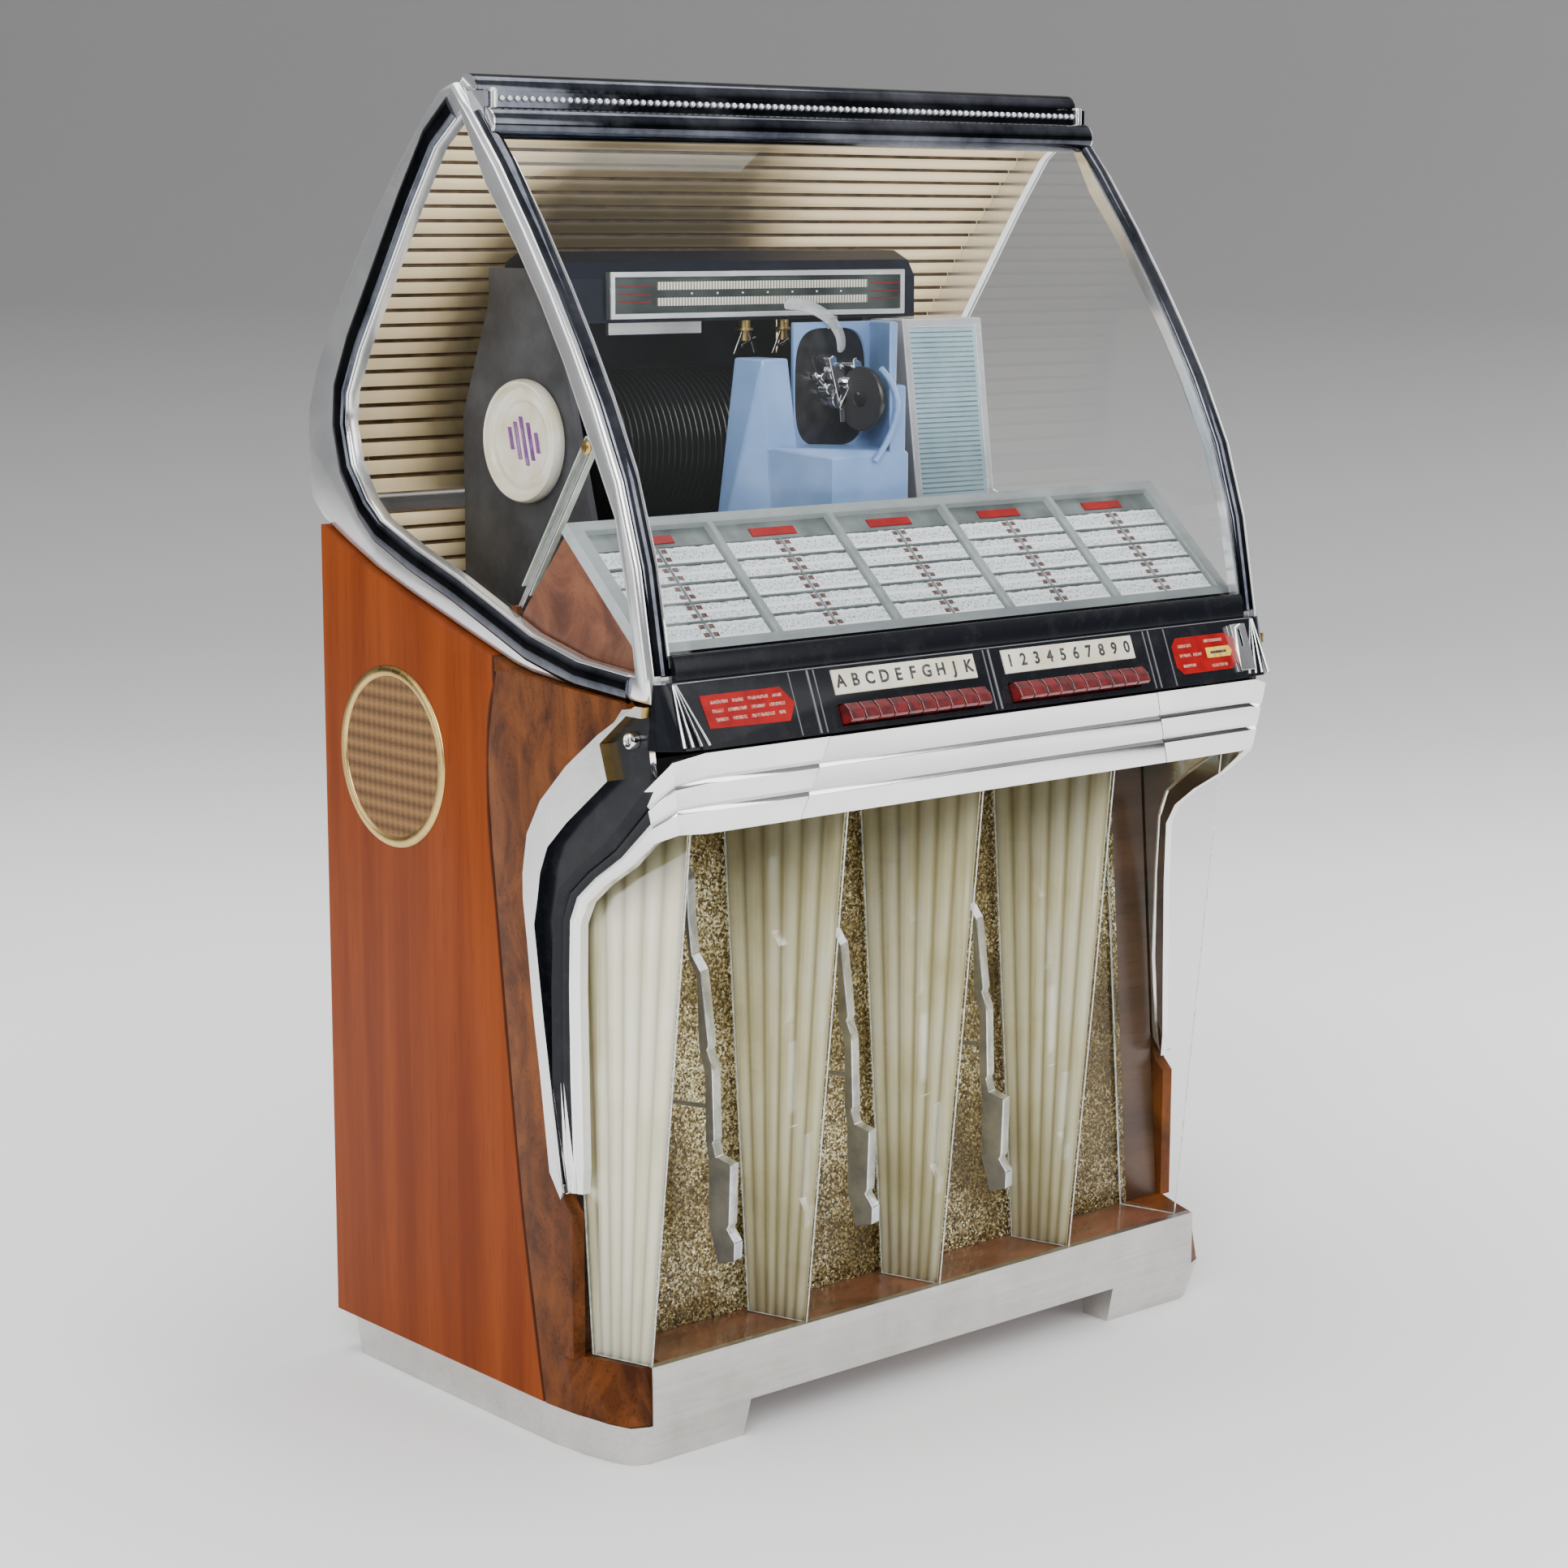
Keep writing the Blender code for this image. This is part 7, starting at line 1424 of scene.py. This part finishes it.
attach(lining, "cabinet")
hood_paint, tree, shader = finish("hood_enamel", (0.40, 0.36, 0.28), 0.35, 0.5)
brush(tree, shader, (0.56, 0.50, 0.38), (0.40, 0.35, 0.25), 0.30, 0.15, 120.0)
eased_copy("rear_hood", hood_paint, 0.0, sharp=25.0)

# Lid stay: a steel rod on a brass pivot that slides in a pale green channel pinned to the lid.
STAY_X, STAY_FOOT, STAY_HEAD = -0.4235, (-0.0410 + SETBACK, 0.874), (-0.163 + SETBACK, 1.050)
pale_green, tree, shader = finish("pale_green_lacquer", (0.50, 0.56, 0.48), 0.35, 0.2)
mottle(tree, shader, (45.0, 5.0), (0.35, (0.42, 0.48, 0.41)), (0.65, (0.62, 0.67, 0.59)))
eased_copy("stay_arm", pale_green, 0.0008)
eased_copy("stay_rod", steel, 0.0006)
PIVOT = [(0.0, 0.0030), (0.0040, 0.0028), (0.0052, 0.0018), (0.0075, 0.0014), (0.0075, 0.0), (0.0, 0.0)]
turned_piece("stay_pivot_foot", PIVOT, 32, [facing_left(STAY_X - 0.0020, *STAY_FOOT)], brass, "stay_rod")
turned_piece("stay_pivot_head", PIVOT, 32, [facing_left(STAY_X - 0.0040, *STAY_HEAD)], brass, "stay_arm")

# Speakers: a spun brass ring over woven cloth on the left side, and two steel-framed paper
# cones behind the boards.
RING_FACE, RING_Y, RING_Z, RING_RADIUS = -0.4548, 0.151 + SETBACK, 0.702, 0.099
ring_place = facing_left(RING_FACE, RING_Y, RING_Z)
cloth, tree, shader = finish("woven_grille_cloth", (0.5, 0.38, 0.2), 0.8)
parts = node(tree, "ShaderNodeSeparateXYZ", {"Vector": object_spot(tree)})
across_threads = calc(tree, "PINGPONG", parts.outputs["Y"], 0.0009)
up_threads = calc(tree, "PINGPONG", parts.outputs["Z"], 0.0009)
weave = calc(tree, "MULTIPLY", across_threads, up_threads)
weave = span(tree, weave, 0.0, 0.0000006)
plaid_y = calc(tree, "PINGPONG", parts.outputs["Y"], 0.0052)
plaid_z = calc(tree, "PINGPONG", parts.outputs["Z"], 0.0078)
plaid = calc(tree, "MULTIPLY_ADD", plaid_y, 0.66, plaid_z)
plaid = span(tree, plaid, 0.002, 0.0095)
threads = mix_colours(tree, weave, (0.043, 0.018, 0.005), (0.20, 0.095, 0.027))
tree.links.new(mix_colours(tree, plaid, threads, (0.25, 0.130, 0.043)), shader.inputs["Base Color"])
relief(tree, shader, weave, 0.0005, 0.5)
ring = turned_piece("speaker_ring_dressed",
                    [(RING_RADIUS - 0.0120, 0.0), (RING_RADIUS - 0.0112, 0.0014),
                     (RING_RADIUS - 0.0095, 0.0024), (RING_RADIUS - 0.0060, 0.0025),
                     (RING_RADIUS - 0.0030, 0.0022), (RING_RADIUS - 0.0008, 0.0014),
                     (RING_RADIUS, 0.0002), (RING_RADIUS - 0.0005, 0.0)], 96, [ring_place], brass,
                    "cabinet", 40.0, closed=True)
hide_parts("speaker_ring")
turned_piece("speaker_cloth",
             [(0.0, 0.0020), (0.040, 0.0017), (0.075, 0.0010), (RING_RADIUS - 0.0100, 0.0004),
              (RING_RADIUS - 0.0100, 0.0), (0.0, 0.0)], 64, [ring_place], cloth, "cabinet")
paper_cone, tree, shader = finish("black_paper_cone", (0.03, 0.03, 0.03), 0.8)
mottle(tree, shader, (180.0, 5.0), (0.35, (0.018, 0.017, 0.016)), (0.65, (0.06, 0.056, 0.05)))
for name in ("woofer", "side_driver"):
    driver = eased_copy(name, steel, 0.0012, sharp=35.0)
    repaint(driver, paper_cone, lambda spot, facing: facing.y < -0.3 if "woofer" in driver.name
            else facing.x < -0.3)

# Amplifier and cash box: folded steel boxes on the floor board, the amplifier with glass
# valves and a transformer.
hammered, tree, shader = finish("hammered_grey", (0.25, 0.26, 0.27), 0.35, 0.6)
spot = object_spot(tree)
dimples = node(tree, "ShaderNodeTexVoronoi", {"Vector": spot, "Scale": 260.0}).outputs["Distance"]
tree.links.new(ramp(tree, dimples, (0.1, (0.20, 0.21, 0.22)), (0.6, (0.34, 0.35, 0.36))),
               shader.inputs["Base Color"])
relief(tree, shader, dimples, 0.0006, 0.4)
valve_glass, tree, shader = finish("silvered_valve_glass", (0.35, 0.34, 0.33), 0.08, 0.7, coat_weight=0.6)
parts = node(tree, "ShaderNodeSeparateXYZ", {"Vector": object_spot(tree)})
top_share = span(tree, parts.outputs["Z"], 0.12, 0.20)
tree.links.new(ramp(tree, top_share, (0.1, (0.05, 0.05, 0.05)), (0.5, (0.22, 0.20, 0.18)),
                    (0.9, (0.65, 0.65, 0.66))), shader.inputs["Base Color"])
amp = eased_copy("amplifier", hammered, 0.0015, sharp=30.0)
# The valves stand left of the transformer, both on top of the box
VALVES_HIGH, VALVES_END = 0.0695, -0.13
amp_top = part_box("amplifier")[1].z
repaint(amp, valve_glass, lambda spot, facing: spot.z > amp_top - VALVES_HIGH and spot.x < VALVES_END)
repaint(amp, gloss_black, lambda spot, facing: spot.z > amp_top - VALVES_HIGH and spot.x > VALVES_END)
eased_copy("cash_box", hammered, 0.0008)

# Rear door: a pressed fibreboard sheet with slots for the warm air, hinged at the right.
fibreboard, tree, shader = finish("brown_fibreboard", (0.22, 0.13, 0.07), 0.7)
felt = mottle(tree, shader, (55.0, 8.0, 0.75), (0.35, (0.15, 0.082, 0.042)), (0.65, (0.29, 0.18, 0.10)))
relief(tree, shader, felt, 0.0005, 0.3)
door = eased_copy("rear_door", fibreboard, 0.0010)
bm = bmesh.new()
DOOR_STUDS_X, DOOR_STUDS_Z = (-0.405, -0.135, 0.135), (0.075, 0.86)
for x in DOOR_STUDS_X:
    for z in DOOR_STUDS_Z:
        made = bmesh.ops.create_cone(bm, cap_ends=True, segments=20, radius1=0.006, radius2=0.0045,
                                     depth=0.0024)["verts"]
        bmesh.ops.rotate(bm, verts=made, matrix=Matrix.Rotation(-math.pi / 2, 3, "X"))
        bmesh.ops.translate(bm, verts=made, vec=(x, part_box("rear_door")[1].y + 0.0008, z))
studs = round_edges(place_mesh("door_studs", bm, steel, smooth=40), 0.0005)
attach(studs, "rear_door")

# Lid lock: a plated cylinder with a key slot in the brass-lined recess of the left casting.
LOCK_Y, LOCK_Z, LOCK_FACE = -0.2630 + SETBACK, 0.770, -0.4570
lock_place = facing_left(LOCK_FACE + 0.0100, LOCK_Y, LOCK_Z)
lock = turned_piece("lid_lock_dressed",
                    [(0.0, 0.0084), (0.0034, 0.0084), (0.0036, 0.0094), (0.0062, 0.0098),
                     (0.0078, 0.0090), (0.0085, 0.0074), (0.0085, 0.0), (0.0, 0.0)], 40, [lock_place],
                    chrome, "lid_lock", 30.0)
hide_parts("lid_lock")
flat_piece("lock_key_slot", strip(-0.0006, 0.0006, -0.0030, 0.0030), 0.0004,
           lock_place @ Matrix.Translation((0.0, 0.0, 0.0083)), works_black, "lid_lock")

# Fans: four plated rods that spread over black enamel at both ends of the panel.
FAN_TOP, FAN_FOOT, FAN_STEP, FAN_RADIUS = 0.4255, 0.4290, 0.0105, 0.0011
fan_plane = panel_place @ Matrix.Translation((0.0, 0.0, 0.0009))
bm = bmesh.new()
for side in (-1, 1):
    for index in range(4):
        start = Vector((side * (FAN_TOP - 0.0014 * index), panel_high - 0.0030, 0.0))
        end = Vector((side * (FAN_FOOT - FAN_STEP * index), 0.0040, 0.0))
        ray = end - start
        made = bmesh.ops.create_cone(bm, cap_ends=True, segments=12, radius1=FAN_RADIUS * 0.7,
                                     radius2=FAN_RADIUS * 1.5, depth=ray.length)["verts"]
        bmesh.ops.rotate(bm, verts=made, matrix=ray.to_track_quat("Z", "Y").to_matrix())
        bmesh.ops.translate(bm, verts=made, vec=(start + end) / 2)
bm.transform(fan_plane)
fans = place_mesh("fan_rods", bm, chrome, smooth=50)
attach(fans, "cabinet")
